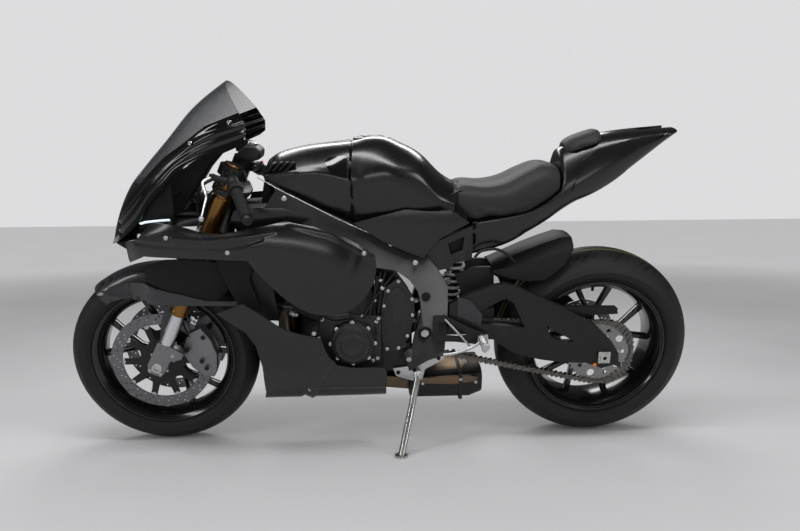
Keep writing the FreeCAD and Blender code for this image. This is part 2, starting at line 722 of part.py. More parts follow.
LEVER_ROUTE = (
    ("lever_reach * 0.47", "bar_half_width * 0.507", "clip_on_place - bar_drop * 0.4"),
    ("lever_reach * 0.67", "bar_half_width * 0.573", "clip_on_place - bar_drop * 0.74"),
    ("lever_reach * 0.29", "bar_half_width * 0.672", "clip_on_place - bar_drop * 1.17"),
    ("lever_reach * 0.07", "bar_half_width * 0.866", "clip_on_place - bar_drop * 1.93"),
)


def front_brakes():
    """Radial calipers behind the fork feet, and their hoses up the fork."""
    middle = "disc_place"
    shares = (
        (-0.83, 1.55), (-0.79, 3.2), (-1.29, 4.0), (-2.03, 3.4), (-2.62, 2.45), (-2.93, 1.3), (-2.97, 0.5), (-2.38, 0.25), (-1.69, 0.6),
    )
    points = [(f"{u} * caliper_width", f"{w} * fork_foot_width") for u, w in shares]
    foot_face = "fork_spacing / 2 - fork_foot_width / 2 - seat_gap"
    block = plate("Caliper", points, f"{middle} - caliper_width / 2", foot_face)
    near, far = f"{middle} - caliper_slot / 2", f"{middle} + caliper_slot / 2"
    slot = hole("CaliperSlot", "front_disc_dia / 2 + turning_gap", near, far, "0", "0", "wheel_sides")
    left = placed("CaliperLeft", FORK_FRAME, cut("CaliperSlotted", block, slot))
    node("front_calipers", left, mirrored(left))


def fender():
    """The front fender: an arch over the tyre and a fin outside each fork leg."""
    gap = "fender_gap"
    reach = f"( front_tyre_dia / 2 + {gap} )"
    half = f"( front_tyre_width / 2 + {gap} )"
    wall = "fender_wall"
    inner = [
        (half, f"{reach} * 0.72"),
        (half, f"{reach} * 0.9"),
        (f"{half} * 0.64", f"{reach} * 0.985"),
        ("0", f"{reach} * 1.005"),
    ]
    outer = [
        (f"{half} + {wall}", f"{reach} * 0.72"),
        (f"{half} + {wall}", f"{reach} * 0.9 + {wall} / 2"),
        (f"{half} * 0.64 + {wall} / 2", f"{reach} * 0.985 + {wall}"),
        ("0", f"{reach} * 1.005 + {wall}"),
    ]
    right_inner = [(f"-1 * ( {y} )", r) for y, r in reversed(inner[:-1])]
    left_outer = list(outer)
    right_outer = [(f"-1 * ( {y} )", r) for y, r in reversed(outer[:-1])]
    points = left_outer + right_outer + [(y, r) for y, r in reversed(right_inner)] + list(reversed(inner))
    axle = vector(FRONT_AXLE)
    section = [Vector(0, size(y), size(r)) for y, r in points]
    stations = int(size("fender_stations"))
    rings = []
    for number in range(stations + 1):
        turn = Rotation(LATERAL, size("fender_lead") - size("fender_sweep") * number / stations)
        rings.append([axle + turn.multVec(corner) for corner in section])
    arch = skinned("FenderArch", rings)
    arch_cut = common("FenderArchCut", arch, plate("FenderTrim", side_points(FENDER_SHARES), "-1 * fork_spacing", "fork_spacing"))
    fin_plan = [(along(x), across(y)) for x, y in FIN_PLAN_SHARES]
    fin_sketch = outline("FinPlan", TOP, fin_plan, ("0", "0", "front_tyre_dia / 2"))
    fin = extrude("FinSheet", fin_sketch, UPWARD, "front_tyre_dia")
    fin_cut = common("Fin", fin, plate("FinTrim", side_points(FIN_SHARES), "0", "fork_spacing"))
    leg_shares = ((-0.5, 1.4), (0.45, 1.4), (1.2, 3.4), (1.25, 6.4), (0.8, 6.4), (0.74, 4.0), (-0.5, 2.4))
    leg_points = [(f"{u} * fork_foot_width", f"{w} * fork_foot_width") for u, w in leg_shares]
    leg_outer = "fork_spacing / 2 - fork_slider_dia / 2 - seat_gap"
    leg = plate("FenderLeg", leg_points, f"{half} + {wall} * 0.6", leg_outer)
    tab_shares = ((-0.5, 1.4), (0.45, 1.4), (0.45, 2.0), (-0.5, 2.0))
    tab_points = [(f"{u} * fork_foot_width", f"{w} * fork_foot_width") for u, w in tab_shares]
    tab = plate("FenderTab", tab_points, f"{half} + {wall}", "fork_spacing / 2 - fork_foot_width / 2 - seat_gap")
    stay = placed("FenderStay", FORK_FRAME, leg, tab)
    node("front_fender", fused("Fender", arch_cut, fin_cut, mirrored(fin_cut), stay, mirrored(stay)))


FENDER_SHARES = (
    (1.1046, 0.4258), (1.1431, 0.4704), (1.1388, 0.5494), (1.0555, 0.5837), (0.9253, 0.5751),
    (0.8698, 0.5408), (0.8883, 0.4541), (0.9502, 0.4386), (1.0861, 0.4421),
)
FIN_SHARES = (
    (1.0676, 0.4807), (1.005, 0.4979), (0.9851, 0.4841), (0.9537, 0.4755), (0.9238, 0.4695),
    (0.8897, 0.4541), (0.8577, 0.4464), (0.8021, 0.4524), (0.7808, 0.4352), (0.8911, 0.4386),
    (0.9502, 0.4386), (1.0107, 0.4412), (1.0676, 0.4464),
)
FIN_PLAN_SHARES = (
    (1.0655, 0.2958), (1.0249, 0.4), (0.9964, 0.5625), (0.9537, 0.5875), (0.7808, 0.5875),
    (0.7808, 0.5708), (0.9523, 0.5708), (0.9943, 0.5458), (1.0228, 0.3833), (1.0626, 0.275),
)


def frame_parts():
    """Twin-spar frame, steering head, subframe and the swingarm with its shock."""
    spar = plate("Spar", side_points(SPAR_SHARES), "frame_inner", "frame_outer")
    pivot_hole = hole("FramePivotHole", "pivot_dia / 2 + seat_gap", "0", "body_half_width", along(0.4057), up(0.3554))
    spar_left = cut("SparBored", spar, pivot_hole)
    cross = plate("HeadCross", side_points(HEAD_CROSS_SHARES), "-1 * frame_inner", "frame_inner")
    head_block = plate("HeadBlock", side_points(HEAD_BLOCK_SHARES), "-1 * head_half_width", "head_half_width")
    low = "lower_clamp_place + clamp_height / 2 + turning_gap"
    high = "upper_clamp_place - clamp_height / 4 - turning_gap"
    stem_u = f"-1 * {FORK_OFFSET}"
    bore = "stem_dia / 2 + stem_clearance"
    tube = placed(
        "HeadTube",
        FORK_FRAME,
        seat(prism("HeadTubeBody", f"{bore} + head_tube_wall", f"( {high} ) - ( {low} )"), (stem_u, "0", low)),
    )
    bore_body = seat(prism("HeadBoreBody", clear_of(bore), "fork_length"), (stem_u, "0", "0"))
    tube_bore = placed("HeadBore", FORK_FRAME, bore_body)
    solid = fused("FrameBody", spar_left, mirrored(spar_left), cross, head_block, tube)
    frame = cut("FrameBored", solid, tube_bore)
    head_stock = group("HeadStock", head_block, tube)

    rail = plate("SubframeRail", side_points(SUBFRAME_SHARES), "frame_inner - subframe_wall", "frame_inner - seat_gap")
    window = plate("SubframeWindow", side_points(SUBFRAME_WINDOW_SHARES), "0", "body_half_width")
    rail_left = cut("SubframeRailOpen", rail, window)
    tie = shaft("SubframeTie", "pivot_dia / 2", "-1 * frame_inner + seat_gap", "frame_inner - seat_gap", along(0.3217), up(0.5545))
    node("frame", frame, fused("Subframe", rail_left, mirrored(rail_left), tie))
    return head_stock


SPAR_SHARES = (
    (0.7117, 0.7451), (0.5018, 0.6172), (0.4342, 0.5803), (0.4036, 0.5682), (0.3808, 0.5348),
    (0.3566, 0.4841), (0.3559, 0.4249), (0.3609, 0.3021), (0.4014, 0.2721), (0.4391, 0.2455),
    (0.4512, 0.2944), (0.4327, 0.3099), (0.427, 0.3459), (0.4149, 0.4017), (0.4149, 0.4403),
    (0.4214, 0.4721), (0.4399, 0.503), (0.4698, 0.5296), (0.5174, 0.5399), (0.6406, 0.5708),
    (0.7687, 0.6455), (0.7431, 0.6867),
)
HEAD_CROSS_SHARES = (
    (0.7516, 0.6421), (0.7331, 0.6918), (0.7011, 0.6918), (0.7011, 0.618),
)
HEAD_BLOCK_SHARES = (
    (0.8313, 0.6421), (0.8085, 0.6884), (0.7331, 0.6918), (0.7011, 0.6918), (0.7011, 0.6352),
    (0.7516, 0.6249),
)
SUBFRAME_SHARES = (
    (0.4199, 0.5682), (0.4064, 0.5828), (0.3722, 0.6009), (0.3082, 0.6352), (0.3025, 0.6386),
    (0.3025, 0.5494), (0.3388, 0.5408), (0.3537, 0.5253), (0.3758, 0.5202), (0.3986, 0.5253),
)
SUBFRAME_WINDOW_SHARES = (
    (0.3559, 0.5923), (0.3203, 0.6112), (0.3238, 0.5751), (0.3488, 0.5622),
)


def swingarm():
    """Swingarm: two braced blades, the bridge ahead of the tyre and the pivot lugs."""
    blade = plate("ArmBlade", side_points(ARM_SHARES), "arm_inner", "arm_outer")
    brace = plate("ArmBraceOpening", side_points(ARM_OPENING_SHARES), "0", "body_half_width")
    oval = plate("ArmOval", side_points(ARM_OVAL_SHARES), "0", "body_half_width")
    axle_hole = hole("ArmAxleHole", "rear_axle_dia / 2 + seat_gap", "0", "body_half_width", "0", "rear_tyre_dia / 2")
    blade_open = cut("ArmBladeOpen", blade, brace, oval, axle_hole)
    bridge = plate("ArmBridge", side_points(ARM_BRIDGE_SHARES), "-1 * bridge_half_width", "bridge_half_width")
    link = plate("ArmLink", side_points(ARM_LINK_SHARES), "-1 * arm_inner", "arm_inner")
    cheek = plate("ArmCheek", side_points(ARM_CHEEK_SHARES), "bridge_half_width / 2", "bridge_half_width")
    lug = shaft("ArmLug", "lug_dia / 2", "bridge_half_width / 2", "bridge_half_width", along(0.4057), up(0.3554))
    pin = shaft("ArmPin", "bolt_dia / 2", "-1 * bridge_half_width", "bridge_half_width", SHOCK_FOOT[0], SHOCK_FOOT[2])
    fin = plate("ArmFin", side_points(ARM_FIN_SHARES), "bridge_half_width * 0.48", "bridge_half_width * 0.6")
    shaft_hole = hole("ArmShaftHole", "pivot_dia / 2 + seat_gap", "-1 * body_half_width", "body_half_width", along(0.4057), up(0.3554))
    solid = fused(
        "ArmBody", blade_open, mirrored(blade_open), bridge, link, cheek, mirrored(cheek), lug, mirrored(lug), pin, fin, mirrored(fin)
    )
    node("swingarm", cut("ArmBored", solid, shaft_hole))
    pivot = shaft(
        "PivotShaft", "pivot_dia / 2", "-1 * frame_outer - bolt_dia / 2", "frame_outer + bolt_dia / 2", along(0.4057), up(0.3554)
    )
    node("pivot_shaft", pivot)

    foot = SHOCK_FOOT
    top = SHOCK_TOP
    damper = rod("Damper", "damper_dia / 2", foot, top)
    coils = []
    lower_seat, upper_seat = vector(foot), vector(top)
    for turn in range(int(size("spring_turns"))):
        share = 0.3 + 0.6 * turn / size("spring_turns")
        base = lower_seat + (upper_seat - lower_seat) * share
        coil = prism(f"Coil{turn}", "spring_dia / 2", "spring_wire")
        coil.Placement = Placement(base, Rotation(UPWARD, upper_seat - lower_seat))
        coils.append(coil)
    eyes = []
    holes = []
    for name, place, pin in (("ShockFoot", foot, "bolt_dia / 2"), ("ShockTop", top, "pivot_dia / 2")):
        eyes.append(shaft(name, "damper_dia / 2", "-1 * spring_wire", "spring_wire", place[0], place[2]))
        holes.append(
            hole(f"{name}Hole", f"{pin} + seat_gap", "-1 * spring_dia", "spring_dia", place[0], place[2])
        )
    node("rear_shock", cut("ShockBored", fused("Shock", damper, *coils, *eyes), *holes))


SHOCK_FOOT = point(0.3431, 0, 0.3468)
SHOCK_TOP = point(0.3217, 0, 0.5545)
ARM_SHARES = (
    (0.3516, 0.4335), (0.306, 0.4618), (0.252, 0.4824), (0.2299, 0.4867), (0.2078, 0.479),
    (0.1046, 0.4215), (0.0221, 0.3648), (-0.0149, 0.3202), (-0.0342, 0.2841),
    (-0.0363, 0.2541), (0.0021, 0.2403), (0.0377, 0.2567), (0.0961, 0.2609), (0.1423, 0.2695),
    (0.2, 0.2876), (0.2349, 0.315), (0.2584, 0.3356), (0.2811, 0.3476), (0.3516, 0.3605),
)
ARM_OPENING_SHARES = (
    (0.2875, 0.4112), (0.2285, 0.4472), (0.2078, 0.4318), (0.1829, 0.3631), (0.2256, 0.37),
    (0.2819, 0.3768),
)
ARM_OVAL_SHARES = (
    (0.1345, 0.3691), (0.1181, 0.3545), (0.0947, 0.3391), (0.0683, 0.321), (0.0954, 0.3193),
    (0.1217, 0.3339),
)
ARM_BRIDGE_SHARES = (
    (0.306, 0.3193), (0.306, 0.4034), (0.2463, 0.4034), (0.2463, 0.3193),
)
ARM_LINK_SHARES = (
    (0.306, 0.3227), (0.306, 0.3605), (0.2463, 0.3605), (0.2463, 0.3227),
)
ARM_CHEEK_SHARES = (
    (0.4057, 0.3296), (0.4057, 0.3811), (0.3046, 0.3811), (0.3046, 0.3296),
)
ARM_FIN_SHARES = (
    (0.3331, 0.4918), (0.2883, 0.5112), (0.251, 0.5112), (0.2448, 0.5047), (0.242, 0.3991),
    (0.3025, 0.3991),
)


def engine():
    """The engine as one plain block with its outer covers, and the radiator."""
    gearbox = plate("Gearbox", side_points(GEARBOX_SHARES), "-1 * engine_half_width", "engine_half_width")
    crankcase = plate("Crankcase", side_points(CRANKCASE_SHARES), "-1 * crank_half_width", "crank_half_width")
    sump = plate("Sump", side_points(SUMP_SHARES), "-1 * engine_half_width", "engine_half_width")
    cylinders = plate("Cylinders", side_points(CYLINDER_SHARES), "seat_gap - frame_inner", "frame_inner - seat_gap")
    output = shaft("OutputShaft", "front_axle_dia / 2", "engine_half_width", "chain_place + sprocket_wall", along(0.4555), up(0.3451))
    node("engine_block", fused("EngineBody", gearbox, crankcase, sump, cylinders, output))

    x, z = along(0.5637), up(0.333)
    base = shaft("AlternatorBase", "alternator_cover_dia / 2", "crank_half_width", "cover_half_width - cover_wall * 3", x, z)
    face = shaft("AlternatorFace", "alternator_cover_dia / 2 * 0.82", "crank_half_width", "cover_half_width", x, z)
    left_cover = fused("AlternatorCover", base, face)
    x, z = along(0.558), up(0.3382)
    base = shaft("ClutchBase", "clutch_cover_dia / 2", "-1 * cover_half_width + cover_wall * 3", "-1 * crank_half_width", x, z)
    face = shaft("ClutchFace", "clutch_cover_dia / 2 * 0.8", "-1 * cover_half_width", "-1 * crank_half_width", x, z)
    right_cover = fused("ClutchCover", base, face)

    skin = plate("SprocketCoverPlate", side_points(SPROCKET_COVER_SHARES), "arm_inner", "frame_outer - cover_wall")
    lower_boss = shaft("CoverBossLow", "bolt_dia / 2", "engine_half_width + seat_gap", "arm_inner", along(0.4961), up(0.3193))
    upper_boss = shaft("CoverBossHigh", "bolt_dia / 2", "engine_half_width + seat_gap", "arm_inner", along(0.484), up(0.4592))
    sprocket_cover = fused("SprocketCover", skin, lower_boss, upper_boss)
    node("engine_covers", left_cover, right_cover, sprocket_cover)

    core = plate("RadiatorCore", side_points(RADIATOR_SHARES), "-1 * frame_outer", "frame_outer")
    stay = plate("RadiatorStay", side_points(RADIATOR_STAY_SHARES), "-1 * bar_dia / 2", "bar_dia / 2")
    shroud = plate("RadiatorShroud", side_points(SHROUD_SHARES), "frame_outer - panel_wall", "frame_outer")
    whole = fused("Radiator", core, stay, shroud, mirrored(shroud))
    seated = cut("RadiatorSeated", whole, moved("CylindersClear", cylinders, ("2 * seat_gap", "0", "0")))
    node("radiator", seated)


GEARBOX_SHARES = (
    (0.5025, 0.2249), (0.4399, 0.2318), (0.4313, 0.2833), (0.4313, 0.412), (0.4698, 0.4807),
    (0.5139, 0.4936),
)
SUMP_SHARES = (
    (0.4982, 0.2249), (0.6263, 0.2249), (0.6406, 0.2747), (0.4982, 0.2747),
)
CRANKCASE_SHARES = (
    (0.5018, 0.2712), (0.6406, 0.2712), (0.6441, 0.3433), (0.6299, 0.4034), (0.5018, 0.4034),
)
CYLINDER_SHARES = (
    (0.511, 0.3948), (0.6263, 0.3948), (0.6819, 0.515), (0.6619, 0.5622), (0.5694, 0.5365),
    (0.5267, 0.5279),
)
SPROCKET_COVER_SHARES = (
    (0.4591, 0.3021), (0.4911, 0.2961), (0.5004, 0.3433), (0.5004, 0.4292), (0.4911, 0.4807),
    (0.4626, 0.5064), (0.4456, 0.4824), (0.4285, 0.4481), (0.427, 0.4034), (0.4384, 0.3433),
)
RADIATOR_SHARES = (
    (0.7203, 0.4017), (0.7445, 0.3966), (0.773, 0.6197), (0.7488, 0.6249),
)
SHROUD_SHARES = (
    (0.7217, 0.3966), (0.7829, 0.4034), (0.8028, 0.4807), (0.8014, 0.5923), (0.7801, 0.6197),
    (0.7473, 0.6215),
)
RADIATOR_STAY_SHARES = (
    (0.669, 0.5236), (0.7359, 0.5064), (0.7374, 0.5202), (0.6655, 0.5425),
)


def chain_drive():
    """The final drive: rear sprocket, and the chain as two rows of plates with rollers between."""
    pitch_rear = "( chain_pitch / 2 / sin( 180 / rear_teeth ) )"
    pitch_front = "( chain_pitch / 2 / sin( 180 / front_teeth ) )"
    front_x, front_z = size(along(0.4555)), size(up(0.3451))
    rear_z = size("rear_tyre_dia / 2")
    rear_radius = size("chain_pitch") / 2 / math.sin(math.pi / size("rear_teeth"))
    front_radius = size("chain_pitch") / 2 / math.sin(math.pi / size("front_teeth"))
    rear, front = Vector(0, 0, rear_z), Vector(front_x, 0, front_z)
    line = front - rear
    tilt = math.atan2(line.z, line.x)
    spread = math.asin((rear_radius - front_radius) / line.Length)

    def rim_point(centre, radius, angle):
        return centre + Vector(math.cos(angle), 0, math.sin(angle)) * radius

    top = tilt + math.pi / 2 - spread
    low = tilt - math.pi / 2 + spread

    def links(extra):
        """Pins of the chain one pitch apart, moved out from its line by extra."""
        spots = []
        wrap_rear = round((2 * math.pi - (top - low)) * rear_radius / size("chain_pitch"))
        wrap_front = round((top - low) * front_radius / size("chain_pitch"))
        for centre, radius, first, turn, count in (
            (rear, rear_radius, top, 2 * math.pi - (top - low), wrap_rear),
            (front, front_radius, low, top - low, wrap_front),
        ):
            for number in range(count):
                spots.append(rim_point(centre, radius + extra, first + turn * number / count))
            start = rim_point(centre, radius + extra, first + turn)
            other, other_radius = (front, front_radius) if centre is rear else (rear, rear_radius)
            end = rim_point(other, other_radius + extra, first + turn)
            spots += [start, end]
        return spots[:-1]

    half_height, half_gap, wall = size("link_height") / 2, size("chain_half_gap"), size("link_wall")

    def loop(extra):
        spots = links(extra)
        return Part.Face(Part.makePolygon(spots + spots[:1])).extrude(LATERAL * wall)

    row = loop(half_height).cut(loop(-half_height))
    place = size("chain_place")
    solids = []
    for inner_face in (place + half_gap, place - half_gap - wall):
        copy = row.copy()
        copy.translate(LATERAL * inner_face)
        solids.append(copy)
    step = size("chain_pitch")
    for angle in (top, low):
        start, end = rim_point(rear, rear_radius, angle), rim_point(front, front_radius, angle)
        run = (end - start).Length
        count = int((run - 5 * step) // (3 * step))
        for number in range(count + 1):
            spot = start + (end - start).normalize() * (step * 3 + 3 * step * number)
            corners = [
                spot + Vector(math.cos(turn), 0, math.sin(turn)) * size("pin_dia") / 2 + LATERAL * (place - half_gap)
                for turn in (math.radians(60 * side) for side in range(6))
            ]
            solids.append(Part.Face(Part.makePolygon(corners + corners[:1])).extrude(LATERAL * 2 * half_gap))
    chain = doc.addObject("Part::Feature", "Chain")
    chain.Shape = solids[0].multiFuse(solids[1:])
    node("drive_chain", chain)

    body = doc.addObject("PartDesign::Body", "RearSprocket")
    blank = body.newObject("Sketcher::SketchObject", "SprocketBlank")
    blank.AttachmentSupport = [(origin_plane(body, "XZ_Plane"), "")]
    blank.MapMode = "FlatFace"
    for number, radius in enumerate((f"{pitch_rear} + pin_dia * 0.3", "rear_axle_dia / 2 + turning_gap")):
        blank.addGeometry(Part.Circle(Vector(), UPWARD, size(radius)), False)
        blank.addConstraint(Sketcher.Constraint("Coincident", number, 3, -1, 1))
        k = blank.addConstraint(Sketcher.Constraint("Radius", number, size(radius)))
        blank.setExpression(f"Constraints[{k}]", bound(radius))
    pad = body.newObject("PartDesign::Pad", "SprocketPad")
    pad.Profile = blank
    pad.Midplane = True
    pad.setExpression("Length", bound("sprocket_wall"))
    body.Tip = pad
    carrier = shaft(
        "SprocketCarrier",
        "hub_dia * 0.75",
        "rear_disc_place - disc_wall / 2",
        "chain_place - sprocket_wall / 2",
        "0",
        "rear_tyre_dia / 2",
    )
    bore = hole("CarrierBore", "rear_axle_dia / 2 + turning_gap", "0", "body_half_width", "0", "rear_tyre_dia / 2")
    turned = placed("SprocketPlaced", Placement(vector(("0", "chain_place", "rear_tyre_dia / 2")), TOP), body)
    node("rear_sprocket", fused("SprocketAndCarrier", turned, cut("CarrierBored", carrier, bore)))


def rear_end():
    """Rear axle with its blocks, caliper, hugger and chain guard."""
    x, z = "0", "rear_tyre_dia / 2"
    axle = shaft("RearAxleShaft", "rear_axle_dia / 2", "-1 * axle_reach", "axle_reach", x, z)
    left_end = "arm_inner - seat_gap"
    spacer_left = shaft("RearSpacerLeft", "rear_axle_dia * 0.7", "chain_place + sprocket_wall", left_end, x, z)
    spacer_right = shaft(
        "RearSpacerRight", "rear_axle_dia * 0.7", "-1 * ( arm_inner - seat_gap )", "-1 * ( rear_disc_place + disc_wall )", x, z
    )
    corner = ("axle_block / -2", "arm_outer + seat_gap", "rear_tyre_dia / 2 - axle_block / 2")
    block = box("AxleBlock", corner, "axle_block", "bracket_wall", "axle_block")
    bore = through_bore("RearAxleBore", x, z)
    solid = fused("RearAxleBody", axle, spacer_left, spacer_right, block, mirrored(block))
    node("rear_axle", cut("RearAxleBored", solid, bore))

    middle = "( -1 * rear_disc_place )"
    shares = ((-0.42, -0.62), (0.1, -0.62), (0.42, -0.7), (0.5, -1.05), (0.2, -1.28), (-0.36, -1.16))
    points = [(f"{u} * rear_disc_dia / 2", f"rear_tyre_dia / 2 + {w} * rear_disc_dia / 2") for u, w in shares]
    body = plate("RearCaliperBody", points, f"{middle} - caliper_width * 0.4", f"{middle} + caliper_width * 0.4")
    near, far = f"{middle} - caliper_slot / 2", f"{middle} + caliper_slot / 2"
    slot = hole("RearCaliperSlot", "rear_disc_dia / 2 + turning_gap", near, far, x, z, "wheel_sides")
    mount_shares = ((-0.22, 0.2), (0.22, 0.2), (0.36, -0.9), (-0.3, -0.9))
    mount_points = [(f"{u} * rear_disc_dia / 2", f"rear_tyre_dia / 2 + {w} * rear_disc_dia / 2") for u, w in mount_shares]
    mount_plate = plate("RearCaliperMount", mount_points, f"{middle} - caliper_width * 0.4", f"{middle} - caliper_slot * 0.65")
    mount_hole = hole("RearCaliperHole", "rear_axle_dia * 0.7 + seat_gap", "-1 * body_half_width", "0", x, z)
    node("rear_caliper", cut("RearCaliperOpen", fused("RearCaliper", body, mount_plate), slot, mount_hole))

    sections = []
    for place, outline_shares in HUGGER_SHARES:
        sections.append((along(place), skin_section(outline_shares, "panel_wall", "first")))
    hugger = loft("Hugger", sections)

    top = plate("GuardTop", side_points(GUARD_TOP_SHARES), "bridge_half_width", "arm_inner - seat_gap")
    side = plate("GuardSide", side_points(GUARD_SIDE_SHARES), "arm_inner - seat_gap - panel_wall", "arm_inner - seat_gap")
    node("rear_guards", hugger, fused("ChainGuard", top, side))


HUGGER_SHARES = (
    (0.2505, ((0.0, 0.5163), (0.2083, 0.5163), (0.3333, 0.5082), (0.35, 0.5021))),
    (0.2135, ((0.0, 0.5391), (0.2167, 0.5356), (0.35, 0.515), (0.3833, 0.4858))),
    (0.1708, ((0.0, 0.5622), (0.225, 0.5579), (0.3667, 0.5322), (0.3958, 0.4781))),
    (0.1324, ((0.0, 0.5803), (0.225, 0.576), (0.3667, 0.5451), (0.3958, 0.4824))),
    (0.0932, ((0.0, 0.5957), (0.225, 0.5914), (0.35, 0.5622), (0.375, 0.5193))),
    (0.0705, ((0.0, 0.5931), (0.2083, 0.5897), (0.3083, 0.5734), (0.325, 0.5588))),
)
GUARD_TOP_SHARES = (
    (0.1153, 0.4069), (0.1153, 0.4103), (-0.0285, 0.4069), (-0.0313, 0.4034),
)
GUARD_SIDE_SHARES = (
    (0.1153, 0.4103), (-0.0285, 0.4069), (-0.0313, 0.3897), (0.027, 0.388), (0.0961, 0.3923),
)


def bodywork(head_stock):
    """Upper cowl, windscreen, side fairings and belly pan: thin shells trimmed to their side view."""
    sections = [(along(place), skin_section(shares, "panel_wall", "first")) for place, shares in NOSE_SHARES]
    shell = loft("NoseShell", sections)
    cowl = trimmed("UpperCowl", shell, COWL_SHARES)
    node("upper_cowl", cowl)
    screen_sections = [(along(place), skin_section(shares, "panel_wall", "first")) for place, shares in NOSE_SHARES]
    screen_shell = loft("ScreenShell", screen_sections)
    node("windscreen", trimmed("Windscreen", screen_shell, SCREEN_SHARES))

    sections = [(along(place), skin_section(shares, "panel_wall", "first")) for place, shares in CHIN_SHARES]
    chin = loft("Chin", sections)
    node("nose_panel", cut("NosePanel", chin, moved("CowlClear", cowl, ("0", "0", "-2 * seat_gap"))))

    sections = [(along(place), skin_section(shares, "panel_wall")) for place, shares in SIDE_SHARES]
    left = trimmed("SideFairing", loft("SideShell", sections), SIDE_TRIM_SHARES, "0")
    node("side_fairings", left, mirrored(left))

    fairing_pad = pad_behind("FairingPad", SIDE_SHARES, None, FAIRING_BOLT, "stay_pad")
    fairing_rod = shaft("FairingRod", "stay_dia / 2", "frame_outer + seat_gap", "body_half_width * 0.89", FAIRING_BOLT[0], FAIRING_BOLT[2])
    fairing_stay = cut("FairingStay", fused("FairingStayBody", fairing_pad, fairing_rod), moved("FairingClear", left, ("0", "-1 * seat_gap", "0")))
    belly_pad = pad_behind("BellyPad", BELLY_SHARES, "last", BELLY_BOLT, "stay_pad")
    belly_rod = shaft("BellyRod", "stay_dia / 2", "engine_half_width + seat_gap", "body_half_width * 0.66", BELLY_BOLT[0], BELLY_BOLT[2])
    belly_stay = fused("BellyStay", belly_pad, belly_rod)
    cowl_pad = pad_behind("CowlPad", NOSE_SHARES, "first", COWL_BOLT, "stay_pad")
    low_pad = pad_behind("LowPad", SIDE_SHARES, None, FRONT_BOLT, "stay_pad")
    tongue = plate("StayTongue", side_points(TONGUE_SHARES), "-1 * tongue_half_width", "tongue_half_width")
    bar = shaft("StayBar", "stay_dia / 2", "-0.5 * body_half_width", "0.5 * body_half_width", STAY_END[0], STAY_END[2])
    arms = [
        rod("StayArmHigh", "stay_dia / 2", STAY_END, COWL_BOLT),
        rod("StayPost", "stay_dia / 2", STAY_END, STAY_LOW),
        rod("StayArmLow", "stay_dia / 2", STAY_LOW, FRONT_BOLT),
        cowl_pad,
        low_pad,
    ]
    half = fused("StayArms", *arms)
    outside = moved("CowlInside", cowl, ("0", "-1 * seat_gap", "-1 * seat_gap"))
    front = cut("CowlStay", fused("CowlStayBody", tongue, bar, half, mirrored(half)), outside, cowl, moved("HeadClear", head_stock, ("2 * seat_gap", "0", "0")))
    node("fairing_stays", front, fairing_stay, mirrored(fairing_stay), belly_stay, mirrored(belly_stay))

    sections = [(along(place), skin_section(shares, "panel_wall", "last")) for place, shares in BELLY_SHARES]
    node("belly_pan", trimmed("BellyPan", loft("BellyShell", sections), BELLY_TRIM_SHARES))


FAIRING_BOLT = point(0.6477, 0.9, 0.6309)
BELLY_BOLT = point(0.5623, 0.675, 0.2489)
COWL_BOLT = point(0.9466, 0.6487, 0.7561)
FRONT_BOLT = point(0.9295, 0.8625, 0.6369)
STAY_LOW = point(0.9338, 0.5, 0.6833)
STAY_END = point(0.9338, 0.5, 0.7193)
TONGUE_SHARES = (
    (0.8399, 0.6489), (0.8256, 0.6867), (0.8541, 0.709), (0.9381, 0.7279), (0.9381, 0.7124),
    (0.8541, 0.6798),
)
NOSE_SHARES = (
    (1.079, ((0.0, 0.6052), (0.0917, 0.6017), (0.1667, 0.5983), (0.2167, 0.594), (0.2417, 0.5906))),
    (1.0605, ((0.0, 0.679), (0.1583, 0.6695), (0.2833, 0.6506), (0.3667, 0.6249), (0.4, 0.6009))),
    (1.032, ((0.0, 0.7433), (0.2, 0.7339), (0.3583, 0.7107), (0.5083, 0.6652), (0.575, 0.6249))),
    (0.9964, ((0.0, 0.794), (0.2292, 0.7828), (0.4167, 0.7554), (0.5917, 0.7124), (0.6833, 0.6609))),
    (0.9466, ((0.0, 0.8584), (0.2583, 0.8455), (0.5, 0.8069), (0.6417, 0.7725), (0.7333, 0.7348))),
    (0.8897, ((0.0, 0.9339), (0.2833, 0.9167), (0.5667, 0.8584), (0.675, 0.8283), (0.7667, 0.794))),
    (0.8256, ((0.0, 0.9931), (0.3, 0.9751), (0.6083, 0.9082), (0.7083, 0.867), (0.775, 0.8197))),
    (0.7601, ((0.0, 1.0429), (0.3167, 1.0232), (0.625, 0.9356), (0.7333, 0.8927), (0.7833, 0.8455))),
)
COWL_SHARES = (
    (1.089, 0.5837), (1.089, 0.6524), (1.0249, 0.7511), (0.9957, 0.7502), (0.9687, 0.7854),
    (0.9359, 0.8215), (0.8968, 0.8524), (0.8463, 0.8961), (0.7779, 0.927), (0.7623, 0.8901),
    (0.7637, 0.8627), (0.7772, 0.8498), (0.8149, 0.8309), (0.8527, 0.8155), (0.8826, 0.8026),
    (0.9103, 0.7837), (0.9367, 0.7485), (0.9722, 0.703), (0.9907, 0.6609), (1.0107, 0.6309),
    (1.0605, 0.6009),
)
SCREEN_SHARES = (
    (1.0251, 0.7514), (1.0676, 0.7514), (1.0676, 1.0129), (0.8199, 1.0129), (0.8036, 0.9803),
    (0.778, 0.9274), (0.8464, 0.8965), (0.8969, 0.8527), (0.9362, 0.8218), (0.9689, 0.7857),
    (0.9959, 0.7506),
)
CHIN_SHARES = (
    (1.0769, ((0.0, 0.606), (0.0833, 0.6043), (0.1583, 0.6017), (0.2083, 0.5957))),
    (1.0605, ((0.0, 0.6146), (0.175, 0.612), (0.3417, 0.6077), (0.4042, 0.6))),
    (1.032, ((0.0, 0.6215), (0.2583, 0.6197), (0.4917, 0.6146), (0.5583, 0.5923))),
)
